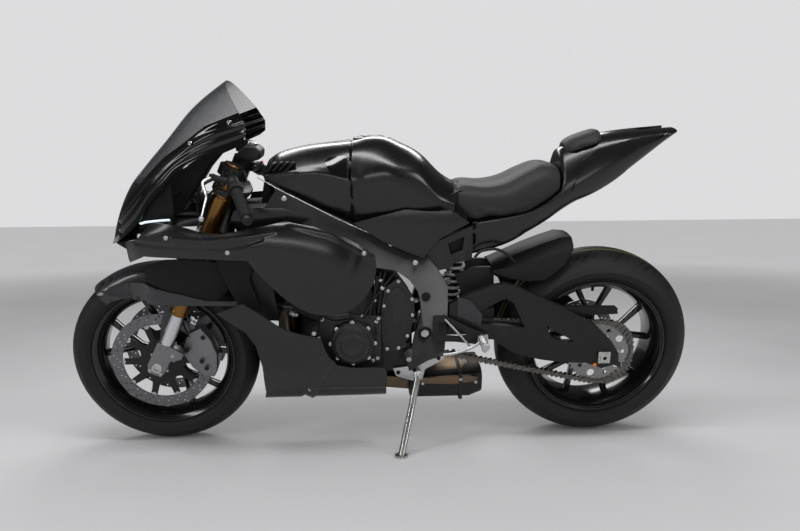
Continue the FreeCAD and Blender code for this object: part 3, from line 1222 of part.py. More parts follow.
SIDE_SHARES = (
    (1.0249, ((0.625, 0.6309), (0.6583, 0.6137), (0.65, 0.5923), (0.6083, 0.5579))),
    (0.9893, ((0.7333, 0.6524), (0.8, 0.6309), (0.8, 0.6009), (0.75, 0.5665))),
    (0.9253, ((0.8167, 0.6781), (0.8917, 0.6524), (0.9083, 0.6137), (0.8333, 0.5665))),
    (0.8541, ((0.8333, 0.6781), (0.9333, 0.6455), (0.95, 0.6112), (0.875, 0.5579))),
    (0.7972, ((0.8333, 0.6781), (0.95, 0.6481), (0.975, 0.6009), (0.9, 0.515))),
    (0.7473, ((0.825, 0.6781), (0.95, 0.6506), (1.0, 0.5923), (0.9167, 0.4807))),
    (0.6762, ((0.7667, 0.6824), (0.925, 0.6524), (1.0, 0.5751), (0.8583, 0.412))),
    (0.605, ((0.7167, 0.6781), (0.875, 0.6395), (0.975, 0.5494), (0.8333, 0.4034))),
    (0.5552, ((0.6917, 0.6695), (0.8167, 0.6137), (0.9, 0.5322), (0.8167, 0.412))),
    (0.5082, ((0.675, 0.618), (0.7167, 0.5837), (0.7333, 0.515), (0.7167, 0.4807))),
)
SIDE_TRIM_SHARES = (
    (1.032, 0.6146), (0.995, 0.6249), (0.9637, 0.6695), (0.9082, 0.6652), (0.8512, 0.6472),
    (0.8199, 0.6464), (0.7665, 0.6558), (0.7217, 0.6652), (0.6918, 0.6721), (0.6349, 0.6584),
    (0.5694, 0.6275), (0.5345, 0.5983), (0.5132, 0.5768), (0.5096, 0.5442), (0.5153, 0.5073),
    (0.5274, 0.4815), (0.5452, 0.4558), (0.5744, 0.4343), (0.5986, 0.4249), (0.6214, 0.4275),
    (0.6498, 0.4352), (0.6726, 0.4506), (0.706, 0.485), (0.7217, 0.5073), (0.7438, 0.5365),
    (0.7566, 0.5579), (0.7694, 0.5803), (0.9829, 0.5845), (1.0235, 0.5597),
)
BELLY_SHARES = (
    (0.847, ((0.9, 0.4807), (0.8833, 0.4034), (0.8, 0.3004), (0.6333, 0.206), (0.4667, 0.1614),
        (0.0, 0.1579))),
    (0.7587, ((0.8833, 0.4807), (0.8667, 0.3863), (0.775, 0.2833), (0.6167, 0.2009), (0.4583, 0.1614),
        (0.0, 0.1579))),
    (0.6263, ((0.8667, 0.4807), (0.85, 0.3691), (0.75, 0.2747), (0.6, 0.1991), (0.45, 0.1614),
        (0.0, 0.1579))),
    (0.4883, ((0.8417, 0.4807), (0.825, 0.3433), (0.725, 0.2661), (0.5833, 0.1974), (0.4333, 0.1614),
        (0.0, 0.1579))),
)
BELLY_TRIM_SHARES = (
    (0.8427, 0.4403), (0.7879, 0.4644), (0.7523, 0.4343), (0.7238, 0.4069), (0.7039, 0.3914),
    (0.6776, 0.3794), (0.6484, 0.3708), (0.6292, 0.3639), (0.6242, 0.3382), (0.6157, 0.3099),
    (0.5979, 0.2798), (0.563, 0.2695), (0.5174, 0.2695), (0.4961, 0.2678), (0.4897, 0.2506),
    (0.4911, 0.1545), (0.6804, 0.1545), (0.7665, 0.1545), (0.7601, 0.188), (0.7587, 0.2815),
    (0.768, 0.3459), (0.7865, 0.3854), (0.8142, 0.412),
)


def tank_and_seat():
    """Fuel tank, its front cover, side covers, seat, pads and tail."""
    tank = loft("FuelTank", solid_sections(TANK_SHARES))
    node("fuel_tank", tank)
    node("tank_front_cover", loft("TankFrontCover", solid_sections(TANK_FRONT_SHARES)))
    cover = plate("SideCover", side_points(SIDE_COVER_SHARES), "frame_outer + seat_gap", "frame_outer + seat_gap + cover_wall")
    node("side_covers", cover, mirrored(cover))
    tail = loft("Tail", solid_sections(TAIL_SHARES))
    cushion = loft("SeatCushion", solid_sections(SEAT_SHARES))
    pad_body = moved("PadRaised", tail, ("0", "0", "pad_height"))
    pad_trim = plate("PadTrim", side_points(PAD_SHARES), "-1 * body_half_width", "body_half_width")
    tail_clear = moved("TailClear", tail, ("0", "0", "seat_gap"))
    pad = cut("PassengerPad", common("PadOutline", pad_body, pad_trim), tail_clear)
    node("rider_seat", cut("RiderSeat", cushion, tail_clear), pad)
    slot = box("TailSlot", (along(-0.1637), "-1 * tail_slot / 2", up(0.7554)), along(0.0996), "tail_slot", up(0.1717))
    node("tail_cowl", cut("TailOpen", tail, slot))
    cap_base = point(0.5181, 0, 0.8481)
    cap = seat(prism("FuelCapDisc", "cap_dia / 2", "cap_height", "wheel_sides"), cap_base)
    node("fuel_cap", cut("FuelCap", cap, moved("TankClear", tank, ("0", "0", "seat_gap"))))


def solid_sections(table):
    """Stations of a solid form from a table of shares."""
    return [(along(place), half_section(shares)) for place, shares in table]


TANK_SHARES = (
    (0.5598, ((0.0, 0.8464), (0.25, 0.8446), (0.4583, 0.8258), (0.625, 0.7768), (0.6417, 0.7382),
        (0.5833, 0.6824), (0.5154, 0.6549), (0.5154, 0.6455))),
    (0.5267, ((0.0, 0.8558), (0.2583, 0.8532), (0.4833, 0.8309), (0.6583, 0.7854), (0.675, 0.7382),
        (0.5917, 0.6815), (0.5154, 0.6352), (0.5154, 0.6258))),
    (0.4911, ((0.0, 0.8558), (0.2667, 0.8515), (0.4917, 0.8283), (0.6667, 0.7914), (0.6833, 0.7425),
        (0.6, 0.6815), (0.5154, 0.6129), (0.5154, 0.6043))),
    (0.4555, ((0.0, 0.8395), (0.2583, 0.8343), (0.4667, 0.8137), (0.625, 0.7854), (0.6583, 0.7468),
        (0.6, 0.6867), (0.5154, 0.5957), (0.5154, 0.5871))),
    (0.4128, ((0.0, 0.812), (0.225, 0.8069), (0.4083, 0.794), (0.5333, 0.7725), (0.5833, 0.7451),
        (0.575, 0.6893), (0.5154, 0.6026), (0.5154, 0.5957))),
    (0.3701, ((0.0, 0.7622), (0.1833, 0.7571), (0.3167, 0.7451), (0.4167, 0.7296), (0.4917, 0.7124),
        (0.5083, 0.6893), (0.4833, 0.6197), (0.475, 0.6112))),
    (0.3381, ((0.0, 0.7365), (0.1583, 0.7313), (0.275, 0.721), (0.3667, 0.7082), (0.4333, 0.697),
        (0.4667, 0.6867), (0.45, 0.6369), (0.4417, 0.63))),
)
TANK_FRONT_SHARES = (
    (0.7374, ((0.0, 0.8), (0.2083, 0.7983), (0.4, 0.788), (0.5667, 0.7768), (0.5917, 0.7725),
        (0.5833, 0.7691), (0.5154, 0.7648), (0.5154, 0.7554))),
    (0.7117, ((0.0, 0.818), (0.2167, 0.8155), (0.4167, 0.8052), (0.5917, 0.7854), (0.625, 0.7725),
        (0.6167, 0.7554), (0.5154, 0.7494), (0.5154, 0.7399))),
    (0.6619, ((0.0, 0.8326), (0.225, 0.83), (0.4417, 0.8155), (0.6167, 0.7897), (0.65, 0.7725),
        (0.625, 0.7296), (0.5154, 0.7185), (0.5154, 0.709))),
    (0.6121, ((0.0, 0.8403), (0.2417, 0.8369), (0.45, 0.8197), (0.625, 0.788), (0.65, 0.7554),
        (0.6167, 0.7021), (0.5154, 0.6876), (0.5154, 0.6781))),
    (0.5601, ((0.0, 0.8464), (0.25, 0.8446), (0.4583, 0.8258), (0.625, 0.7768), (0.6417, 0.7382),
        (0.5833, 0.6824), (0.5154, 0.6549), (0.5154, 0.6455))),
)
SIDE_COVER_SHARES = (
    (0.558, 0.6558), (0.4911, 0.6773), (0.4491, 0.6893), (0.3972, 0.6833), (0.3516, 0.6858),
    (0.3125, 0.6532), (0.3751, 0.6129), (0.4093, 0.5614), (0.4356, 0.5734), (0.4982, 0.6077),
)
SEAT_SHARES = (
    (0.3359, ((0.0, 0.7382), (0.1917, 0.7399), (0.35, 0.7382), (0.4583, 0.7296), (0.4833, 0.709),
        (0.4667, 0.6867), (0.25, 0.6841))),
    (0.306, ((0.0, 0.7365), (0.2333, 0.7382), (0.4333, 0.7348), (0.5333, 0.721), (0.55, 0.6867),
        (0.525, 0.6592), (0.25, 0.6524))),
    (0.2705, ((0.0, 0.7313), (0.25, 0.7348), (0.4667, 0.7313), (0.5667, 0.7176), (0.5833, 0.6867),
        (0.5583, 0.6644), (0.25, 0.6567))),
    (0.2278, ((0.0, 0.7416), (0.2583, 0.7451), (0.4667, 0.7399), (0.5667, 0.7245), (0.5917, 0.6953),
        (0.5667, 0.6695), (0.25, 0.6609))),
    (0.1851, ((0.0, 0.7691), (0.2417, 0.7708), (0.425, 0.7639), (0.525, 0.7485), (0.55, 0.7167),
        (0.525, 0.6798), (0.25, 0.6695))),
    (0.1459, ((0.0, 0.7897), (0.225, 0.7897), (0.3833, 0.7828), (0.475, 0.7691), (0.5, 0.7399),
        (0.4833, 0.7039), (0.25, 0.6918))),
    (0.1139, ((0.0, 0.788), (0.2, 0.788), (0.3333, 0.7811), (0.4083, 0.7691), (0.4333, 0.7519),
        (0.425, 0.7296), (0.25, 0.7193))),
)
PAD_SHARES = (
    (0.0989, 0.8378), (0.094, 0.8584), (0.0548, 0.8738), (0.0128, 0.8841), (0.0185, 0.8584),
    (0.0505, 0.8343), (0.0811, 0.8086), (0.0982, 0.812),
)
TAIL_SHARES = (
    (0.3023, ((0.0, 0.6558), (0.25, 0.6558), (0.4167, 0.6541), (0.4667, 0.6438), (0.4583, 0.6009),
        (0.4, 0.5579), (0.1667, 0.5494))),
    (0.2349, ((0.0, 0.6661), (0.25, 0.6661), (0.4583, 0.6644), (0.5, 0.6575), (0.4833, 0.6266),
        (0.4, 0.5768), (0.1667, 0.5708))),
    (0.1779, ((0.0, 0.6781), (0.25, 0.6781), (0.45, 0.6764), (0.5, 0.6695), (0.4833, 0.6438),
        (0.3917, 0.6112), (0.1667, 0.606))),
    (0.1423, ((0.0, 0.7021), (0.25, 0.7021), (0.4083, 0.7004), (0.475, 0.6918), (0.4667, 0.6695),
        (0.3833, 0.6369), (0.1667, 0.63))),
    (0.1125, ((0.0, 0.7279), (0.25, 0.7279), (0.3667, 0.7262), (0.4333, 0.7193), (0.4417, 0.697),
        (0.3667, 0.6627), (0.1667, 0.6541))),
    (0.1068, ((0.0, 0.8223), (0.1417, 0.8189), (0.2917, 0.7854), (0.4167, 0.7399), (0.4417, 0.6996),
        (0.3583, 0.6678), (0.1667, 0.6592))),
    (0.0754, ((0.0, 0.8429), (0.15, 0.8395), (0.3083, 0.8155), (0.4333, 0.7639), (0.45, 0.7296),
        (0.35, 0.6918), (0.1667, 0.6867))),
    (0.0214, ((0.0, 0.8652), (0.1583, 0.8627), (0.325, 0.8455), (0.4333, 0.7983), (0.4417, 0.7639),
        (0.3333, 0.7227), (0.1667, 0.7193))),
    (-0.0456, ((0.0, 0.8738), (0.1667, 0.8721), (0.3167, 0.8635), (0.4, 0.8369), (0.4083, 0.8155),
        (0.3167, 0.7777), (0.1667, 0.7742))),
    (-0.1338, ((0.0, 0.8807), (0.175, 0.8798), (0.275, 0.8781), (0.325, 0.8738), (0.325, 0.8704),
        (0.2667, 0.867), (0.1667, 0.8661))),
)


def lower_parts():
    """Exhaust, footrests and the side stand."""
    runs = []
    for number, place_share in enumerate((-0.46, -0.16, 0.16, 0.46)):
        gather_share = place_share * 0.55
        route = (
            (along(0.6654), across(place_share), up(0.4788)),
            (along(0.689), across(place_share), up(0.463)),
            (along(0.7032), across(place_share), up(0.4378)),
            (along(0.7018), across(gather_share), up(0.2833)),
            (along(0.6847), across(gather_share), up(0.2215)),
            (along(0.6512), across(gather_share), up(0.1888)),
            (along(0.5139), across(gather_share), up(0.1854)),
        )
        runs.append(pipe(f"Header{number}", "header_dia / 2", [vector(place) for place in route]))
    collector_half = "0.46 * 0.55 * body_half_width + header_dia / 2"
    collector = plate("Collector", side_points(COLLECTOR_SHARES), f"-1 * ( {collector_half} )", collector_half)
    node("exhaust_headers", fused("Headers", collector, *runs))

    muffler = loft("MufflerCan", solid_sections(MUFFLER_SHARES))
    node("muffler", muffler)

    bracket = plate("FootrestPlate", side_points(FOOTREST_SHARES), "frame_outer + seat_gap", "frame_outer + seat_gap + bracket_wall")
    peg_inner = "frame_outer + seat_gap + bracket_wall"
    peg = shaft("Footpeg", "peg_dia / 2", peg_inner, f"{peg_inner} + peg_length", along(0.2804), up(0.3416))
    rest = fused("Footrest", bracket, peg)
    node("footrests", rest, mirrored(rest))

    holder = plate("StandBracket", side_points(STAND_BRACKET_SHARES), "engine_half_width + seat_gap", "engine_half_width + seat_gap + bracket_wall")
    bolt_start = vector(STAND_PIVOT)
    axis = stand_axis()
    bolt = prism("StandBolt", "stand_pivot_dia / 2", "stand_reach")
    bolt.Placement = Placement(bolt_start - axis * size("stand_pivot_dia"), Rotation(UPWARD, axis))
    node("stand_bracket", fused("StandHolder", holder, bolt))

    foot = vector(stand_foot())
    head_start = bolt_start + axis * (size("stand_pivot_dia") + size("seat_gap") * 2)
    direction = (foot - head_start).normalize()
    leg_start = head_start + axis * size("stand_leg_dia") / 2
    leg = doc.addObject("Part::Prism", "StandLegTube")
    leg.setExpression("Polygon", bound("small_sides"))
    leg.setExpression("Circumradius", bound("stand_leg_dia / 2"))
    down = foot - leg_start
    leg.Height = down.Length - size("foot_wall") / 2
    leg.Placement = Placement(leg_start, Rotation(UPWARD, down))
    eye = prism("StandEye", "stand_pivot_dia", "stand_leg_dia")
    eye.Placement = Placement(head_start, Rotation(UPWARD, axis))
    eye_hole = prism("StandEyeHole", clear_of("stand_pivot_dia / 2 + seat_gap"), "body_half_width")
    eye_hole.Placement = Placement(bolt_start - axis * size("body_half_width") / 2, Rotation(UPWARD, axis))
    sole = prism("StandFoot", "foot_width / 2", "foot_wall")
    sole.Placement = Placement(foot, Rotation(FORWARD, size("lean_angle")))
    node("stand_leg", cut("StandLegBored", fused("StandLeg", leg, eye, sole), eye_hole))


COLLECTOR_SHARES = (
    (0.5409, 0.1751), (0.5409, 0.1991), (0.5025, 0.206), (0.4555, 0.1957), (0.4363, 0.1923),
    (0.4363, 0.1614), (0.4982, 0.17),
)
MUFFLER_SHARES = (
    (0.436, ((0.0, 0.1991), (0.25, 0.1974), (0.35, 0.1906), (0.3833, 0.176), (0.3833, 0.1545),
        (0.35, 0.1425), (0.25, 0.1382))),
    (0.4199, ((0.0, 0.2026), (0.2667, 0.2017), (0.375, 0.194), (0.4, 0.1803), (0.4, 0.1528),
        (0.3667, 0.1399), (0.2667, 0.1356))),
    (0.2968, ((0.0, 0.2146), (0.2667, 0.2129), (0.375, 0.206), (0.4, 0.1931), (0.4, 0.1528),
        (0.3667, 0.1399), (0.2667, 0.1356))),
    (0.2662, ((0.0, 0.2189), (0.25, 0.2172), (0.3417, 0.2094), (0.375, 0.1974), (0.375, 0.1631),
        (0.3417, 0.1528), (0.25, 0.1476))),
)
FOOTREST_SHARES = (
    (0.3879, 0.4052), (0.3637, 0.4077), (0.3053, 0.37), (0.2726, 0.3536), (0.2676, 0.3365),
    (0.2819, 0.321), (0.3381, 0.3313), (0.3879, 0.333),
)
STAND_BRACKET_SHARES = (
    (0.4747, 0.2378), (0.4313, 0.2438), (0.3673, 0.2695), (0.3616, 0.2601), (0.4014, 0.2326),
    (0.4071, 0.2026), (0.4299, 0.1991), (0.4676, 0.2146),
)
STAND_PIVOT = point(0.4185, 0.4667, 0.2206)


def stand_axis():
    """The side stand's hinge: across the bike, its outer end tipped up."""
    tilt = math.radians(size("stand_tilt"))
    return Vector(0, math.cos(tilt), math.sin(tilt))


def stand_foot():
    """Where the side stand's sole meets the ground of the leaned bike."""
    y = across(1.0917)
    lift = f"rear_crown_radius * ( 1 - cos( lean_angle ) )"
    height = f"( {y} * sin( lean_angle ) - {lift} ) / cos( lean_angle )"
    return (along(0.4612), y, height)


def stance():
    """Upright bike to leaned bike: tyres and stand foot on the ground, origin under its middle."""
    lean = Rotation(FORWARD, -size("lean_angle"))
    rear_rise = size("rear_crown_radius") * (1 - math.cos(LEAN))
    front_rise = size("front_crown_radius") * (1 - math.cos(LEAN))
    pitch = math.degrees(math.atan2(rear_rise - front_rise, size("wheelbase")))
    leaned = Placement(Vector(0, 0, rear_rise), Rotation(LATERAL, pitch).multiply(lean))
    whole = Part.makeCompound([bundle.Shape for bundle in nodes.values()])
    whole.Placement = leaned
    room = whole.optimalBoundingBox(False)
    shift = Vector(-(room.XMin + room.XMax) / 2, -(room.YMin + room.YMax) / 2, 0)
    return Placement(leaned.Base + shift, leaned.Rotation)


def build():
    """Build every sub-part, lean the bike, check it and write the parts."""
    steering()
    front_brakes()
    fender()
    wheels()
    head_stock = frame_parts()
    swingarm()
    engine()
    chain_drive()
    rear_end()
    bodywork(head_stock)
    tank_and_seat()
    lower_parts()
    doc.recompute()
    for item in doc.Objects:
        if "Invalid" in item.State or "Error" in item.State:
            raise RuntimeError(f"{item.Name} failed: {item.State}")
    stand = stance()
    os.makedirs("parts", exist_ok=True)
    for label, bundle in nodes.items():
        bundle.Placement = stand
        bundle.Label = label
        if bundle.Shape.isNull() or not bundle.Shape.isValid():
            raise RuntimeError(f"{label} has no valid shape")
        bundle.Shape.exportStep(f"parts/{label}.step")
    print("stance", stand.Base, stand.Rotation.toEuler())


build()
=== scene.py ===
"""The looks of a black super-sport motorcycle that leans on its side stand.

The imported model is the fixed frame. Each class below dresses one sub-assembly: it builds its meshes in
millimetres in the upright motorcycle's own axes (x ahead of the rear axle, y to the rider's left, z above the
ground), gives them their finish, and lets them ride on the body that carries them.
"""
import json
import logging
import math
from dataclasses import dataclass
from enum import Enum
from typing import Callable, Iterable, Optional, Sequence

import bmesh
import bpy
import numpy as np
from mathutils import Matrix, Vector
from mathutils.geometry import delaunay_2d_cdt

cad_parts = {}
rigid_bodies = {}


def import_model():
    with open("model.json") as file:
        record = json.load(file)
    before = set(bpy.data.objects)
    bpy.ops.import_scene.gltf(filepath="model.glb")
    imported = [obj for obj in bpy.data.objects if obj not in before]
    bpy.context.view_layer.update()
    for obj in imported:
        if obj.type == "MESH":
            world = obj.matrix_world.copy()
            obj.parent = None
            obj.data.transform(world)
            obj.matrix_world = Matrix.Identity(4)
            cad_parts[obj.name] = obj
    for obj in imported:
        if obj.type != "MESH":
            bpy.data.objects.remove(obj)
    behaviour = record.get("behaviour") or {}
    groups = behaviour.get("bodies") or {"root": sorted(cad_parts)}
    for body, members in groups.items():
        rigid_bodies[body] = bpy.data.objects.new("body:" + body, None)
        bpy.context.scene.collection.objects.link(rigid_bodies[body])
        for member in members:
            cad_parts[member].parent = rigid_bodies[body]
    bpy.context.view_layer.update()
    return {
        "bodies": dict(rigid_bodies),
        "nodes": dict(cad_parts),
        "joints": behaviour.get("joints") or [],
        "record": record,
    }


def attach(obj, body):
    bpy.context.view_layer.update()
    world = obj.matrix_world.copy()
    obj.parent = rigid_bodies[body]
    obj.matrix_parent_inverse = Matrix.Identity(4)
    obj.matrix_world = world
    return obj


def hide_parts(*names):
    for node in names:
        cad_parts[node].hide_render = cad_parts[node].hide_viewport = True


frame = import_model()

log = logging.getLogger("sport_bike")

Point = tuple[float, float, float]
Flat = tuple[float, float]
Colour = tuple[float, float, float]

MM = 0.001
FULL_TURN = 2 * math.pi


class Body(Enum):
    """The moving bodies that a piece can ride on."""

    CHASSIS = "chassis"
    STEERING = "steering"
    FRONT_WHEEL = "front_wheel"
    REAR_WHEEL = "rear_wheel"
    SIDE_STAND = "side_stand"


class Side(Enum):
    """The two sides of the motorcycle, as the sign of y."""

    LEFT = 1
    RIGHT = -1


@dataclass(frozen=True)
class Stance:
    """The leaned motorcycle's own axes, read from its two wheel joints."""

    front_axle_height: float = 300.0
    rear_axle_height: float = 320.4
    wheelbase: float = 1405.0
    rake: float = math.radians(24)

    def matrix(self) -> Matrix:
        """Work out where the upright axes stand in the row frame.

        Returns:
            The matrix that takes upright millimetres to metres in the row frame.
        """
        joints = {joint["name"]: joint for joint in frame["joints"]}
        rear = Vector(joints["rear_wheel_spin"]["pos_m"])
        front = Vector(joints["front_wheel_spin"]["pos_m"])
        left = Vector(joints["rear_wheel_spin"]["axis"]).normalized()
        ahead = (front - rear).normalized()
        drop = math.atan2(self.rear_axle_height - self.front_axle_height, self.wheelbase)
        lift = ahead.cross(left)
        forward = ahead * math.cos(drop) + lift * math.sin(drop)
        upward = lift * math.cos(drop) - ahead * math.sin(drop)
        base = rear - upward * self.rear_axle_height * MM
        turn = Matrix((forward, left, upward)).transposed().to_4x4()
        return Matrix.Translation(base) @ turn @ Matrix.Scale(MM, 4)

    def fork(self, ahead: float, left: float, along: float) -> Point:
        """Find the upright place of a point given along the fork.

        Args:
            ahead: Distance ahead of the line of the fork tubes, square to them.
            left: Distance to the left of the centre plane.
            along: Distance up the fork from the front axle.

        Returns:
            The point in the upright motorcycle's axes.
        """
        cosine = math.cos(self.rake)
        sine = math.sin(self.rake)
        x = self.wheelbase + cosine * ahead - sine * along
        z = self.front_axle_height + sine * ahead + cosine * along
        return (x, left, z)


STANCE = Stance()
UPRIGHT = STANCE.matrix()
ROW_TO_UPRIGHT = UPRIGHT.inverted()
class Value:
    """A socket of a node tree, which Python's operators extend with Math nodes."""

    def __init__(self, graph: "Graph", socket: bpy.types.NodeSocket) -> None:
        """Hold a socket and the graph that it belongs to."""
        self.graph = graph
        self.socket = socket

    def __add__(self, other: "Value | float") -> "Value":
        """Add a value or a number."""
        return self.graph.math("ADD", self, other)

    __radd__ = __add__

    def __sub__(self, other: "Value | float") -> "Value":
        """Take away a value or a number."""
        return self.graph.math("SUBTRACT", self, other)

    def __rsub__(self, other: float) -> "Value":
        """Take this value away from a number."""
        return self.graph.math("SUBTRACT", other, self)

    def __mul__(self, other: "Value | float") -> "Value":
        """Multiply by a value or a number."""
        return self.graph.math("MULTIPLY", self, other)

    __rmul__ = __mul__

    def __truediv__(self, other: "Value | float") -> "Value":
        """Divide by a value or a number."""
        return self.graph.math("DIVIDE", self, other)

    def __abs__(self) -> "Value":
        """Give the value without its sign."""
        return self.graph.math("ABSOLUTE", self)

    def __gt__(self, other: "Value | float") -> "Value":
        """Give 1 where this value is the larger one, else 0."""
        return self.graph.math("GREATER_THAN", self, other)

    def __lt__(self, other: "Value | float") -> "Value":
        """Give 1 where this value is the smaller one, else 0."""
        return self.graph.math("LESS_THAN", self, other)

    def __mod__(self, other: float) -> "Value":
        """Give the rest of a division that rounds down."""
        return self.graph.math("FLOORED_MODULO", self, other)


class Graph:
    """A node tree, with one method that adds any node."""

    def __init__(self, tree: bpy.types.NodeTree) -> None:
        """Start with an emptied tree."""
        self.tree = tree
        self.tree.nodes.clear()

    def node(self, kind: str, settings: Optional[dict] = None, sockets: Optional[dict] = None) -> bpy.types.Node:
        """Add a node.

        Args:
            kind: The node's type.
            settings: The node's own settings.
            sockets: Numbers, colours or Values for the node's inputs, by name or number.

        Returns:
            The new node.
        """
        node = self.tree.nodes.new(kind)
        for key, setting in (settings or {}).items():
            setattr(node, key, setting)
        for key, value in (sockets or {}).items():
            if isinstance(value, Value):
                self.tree.links.new(value.socket, node.inputs[key])
            else:
                node.inputs[key].default_value = value
        return node

    def value(self, kind: str, settings: Optional[dict] = None, sockets: Optional[dict] = None,
              output: "int | str" = 0) -> Value:
        """Add a node and give one of its outputs as a Value."""
        return Value(self, self.node(kind, settings, sockets).outputs[output])

    def math(self, operation: str, *operands: "Value | float") -> Value:
        """Add a Math node on values and numbers."""
        return self.value("ShaderNodeMath", {"operation": operation}, dict(enumerate(operands)))


class Shading(Graph):
    """A material's node tree."""

    def __init__(self, name: str) -> None:
        """Start an empty tree in a new material."""
        self.material = bpy.data.materials.new(name)
        self.material.use_nodes = True
        super().__init__(self.material.node_tree)

    def axes(self) -> tuple[Value, Value, Value, Value]:
        """Give the object's coordinates.

        Returns:
            The vector and its x, y and z, in metres in the row frame.
        """
        vector = self.value("ShaderNodeTexCoord", output="Object")
        split = self.node("ShaderNodeSeparateXYZ", sockets={0: vector})
        x, y, z = (Value(self, split.outputs[i]) for i in range(3))
        return vector, x, y, z

    def upright(self, centre: Point = (0.0, 0.0, 0.0)) -> tuple[Value, Value, Value, Value]:
        """Give the place from a centre in the upright motorcycle's axes.

        Args:
            centre: The point in upright millimetres that it is counted from.

        Returns:
            The vector in the row frame, and the distances ahead, to the left and up, in metres.
        """
        vector, _, _, _ = self.axes()
        away = self.value("ShaderNodeVectorMath", {"operation": "SUBTRACT"}, {0: vector, 1: UPRIGHT @ Vector(centre)})
        turn = UPRIGHT.to_3x3().normalized()
        parts = []
        for axis in turn.transposed():
            parts.append(self.value("ShaderNodeVectorMath", {"operation": "DOT_PRODUCT"}, {0: away, 1: axis}, "Value"))
        return vector, parts[0], parts[1], parts[2]

    def noise(self, vector: Value, scale: float, detail: float = 3.0) -> Value:
        """Give a cloud pattern from 0 to 1 with a number of features to the metre."""
        return self.value("ShaderNodeTexNoise", None, {"Vector": vector, "Scale": scale, "Detail": detail})

    def blend(self, factor: "Value | float", first: "Value | Colour", second: "Value | Colour") -> Value:
        """Mix two colours."""
        node = self.node("ShaderNodeMix", {"data_type": "RGBA"}, {"Factor": factor})
        for key, colour in ((6, first), (7, second)):
            if isinstance(colour, Value):
                self.tree.links.new(colour.socket, node.inputs[key])
            else:
                node.inputs[key].default_value = (*colour, 1.0)
        return Value(self, node.outputs[2])

    def step(self, value: Value, low: float, high: float, start: float = 0.0, end: float = 1.0) -> Value:
        """Map a value from one range to another, held at its ends."""
        sockets = {0: value, 1: low, 2: high, 3: start, 4: end}
        return self.value("ShaderNodeMapRange", {"clamp": True}, sockets)

    def bump(self, height: Value, depth: float) -> Value:
        """Give a normal that follows a height of a given depth in millimetres."""
        return self.value("ShaderNodeBump", None, {"Height": height, "Strength": 1.0, "Distance": depth * MM})

    def surface(self, **sockets: "Value | float | Colour") -> bpy.types.Material:
        """Finish the tree with a Principled shader.

        Args:
            sockets: Inputs of the shader, with underscores for the blanks in their names.

        Returns:
            The finished material.
        """
        shader = self.node("ShaderNodeBsdfPrincipled")
        for key, value in sockets.items():
            socket = shader.inputs[key.replace("_", " ")]
            if isinstance(value, Value):
                self.tree.links.new(value.socket, socket)
            elif isinstance(value, tuple) and len(value) == 3:
                socket.default_value = (*value, 1.0)
            else:
                socket.default_value = value
        self.node("ShaderNodeOutputMaterial", None, {"Surface": Value(self, shader.outputs[0])})
        return self.material




@dataclass(frozen=True)
class Finish:
    """A painted, moulded or cast surface with fine grain and a little unevenness."""

    name: str
    slot: str
    colour: Colour
    roughness: float
    metallic: float = 0.0
    coat: float = 0.0
    coat_roughness: float = 0.06
    specular: float = 0.5
    grain_size: float = 1.2
    grain_depth: float = 0.02
    mottle: float = 0.12
    smudge: float = 0.06

    def material(self) -> bpy.types.Material:
        """Make the material once, and give it from then on."""
        if self.name not in bpy.data.materials:
            self.build(Shading(self.name))
        return bpy.data.materials[self.name]

    def shades(self, tree: Shading, cloud: Value) -> Value:
        """Vary the colour a little with a cloud pattern."""
        dark = tuple(channel * (1 - self.mottle) for channel in self.colour)
        light = tuple(min(channel * (1 + self.mottle), 1.0) for channel in self.colour)
        return tree.blend(cloud, dark, light)

    def build(self, tree: Shading) -> None:
        """Lay the grain and the unevenness over the plain colour."""
        vector, _, _, _ = tree.axes()
        cloud = tree.noise(vector, 9.0)
        grain = tree.noise(vector, 1 / (self.grain_size * MM), 2.0)
        rough = tree.step(cloud, 0.3, 0.7, self.roughness - self.smudge, self.roughness + self.smudge)
        tree.surface(
            Base_Color=self.shades(tree, cloud), Roughness=rough, Metallic=self.metallic,
            Coat_Weight=self.coat, Coat_Roughness=self.coat_roughness, Specular_IOR_Level=self.specular,
            Normal=tree.bump(grain, self.grain_depth),
        )


@dataclass(frozen=True)
class Brushed(Finish):
    """Machined or ground metal with fine lines round an axle."""

    centre: Point = (0.0, 0.0, 0.0)
    lines: float = 900.0

    def build(self, tree: Shading) -> None:
        """Draw concentric lines by the distance from the axle."""
        vector, ahead, lateral, lift = tree.upright(self.centre)
        radius = tree.math("SQRT", ahead * ahead + lift * lift)
        place = tree.value("ShaderNodeCombineXYZ", None, {0: radius, 1: lateral * 0.1})
        ring = tree.noise(place, self.lines, 2.0)
        cloud = tree.noise(vector, 30.0)
        rough = tree.step(ring * 0.6 + cloud * 0.4, 0.3, 0.7, self.roughness - 0.08, self.roughness + 0.12)
        tree.surface(
            Base_Color=self.shades(tree, ring), Roughness=rough, Metallic=self.metallic,
            Specular_IOR_Level=self.specular, Normal=tree.bump(ring, self.grain_depth),
        )


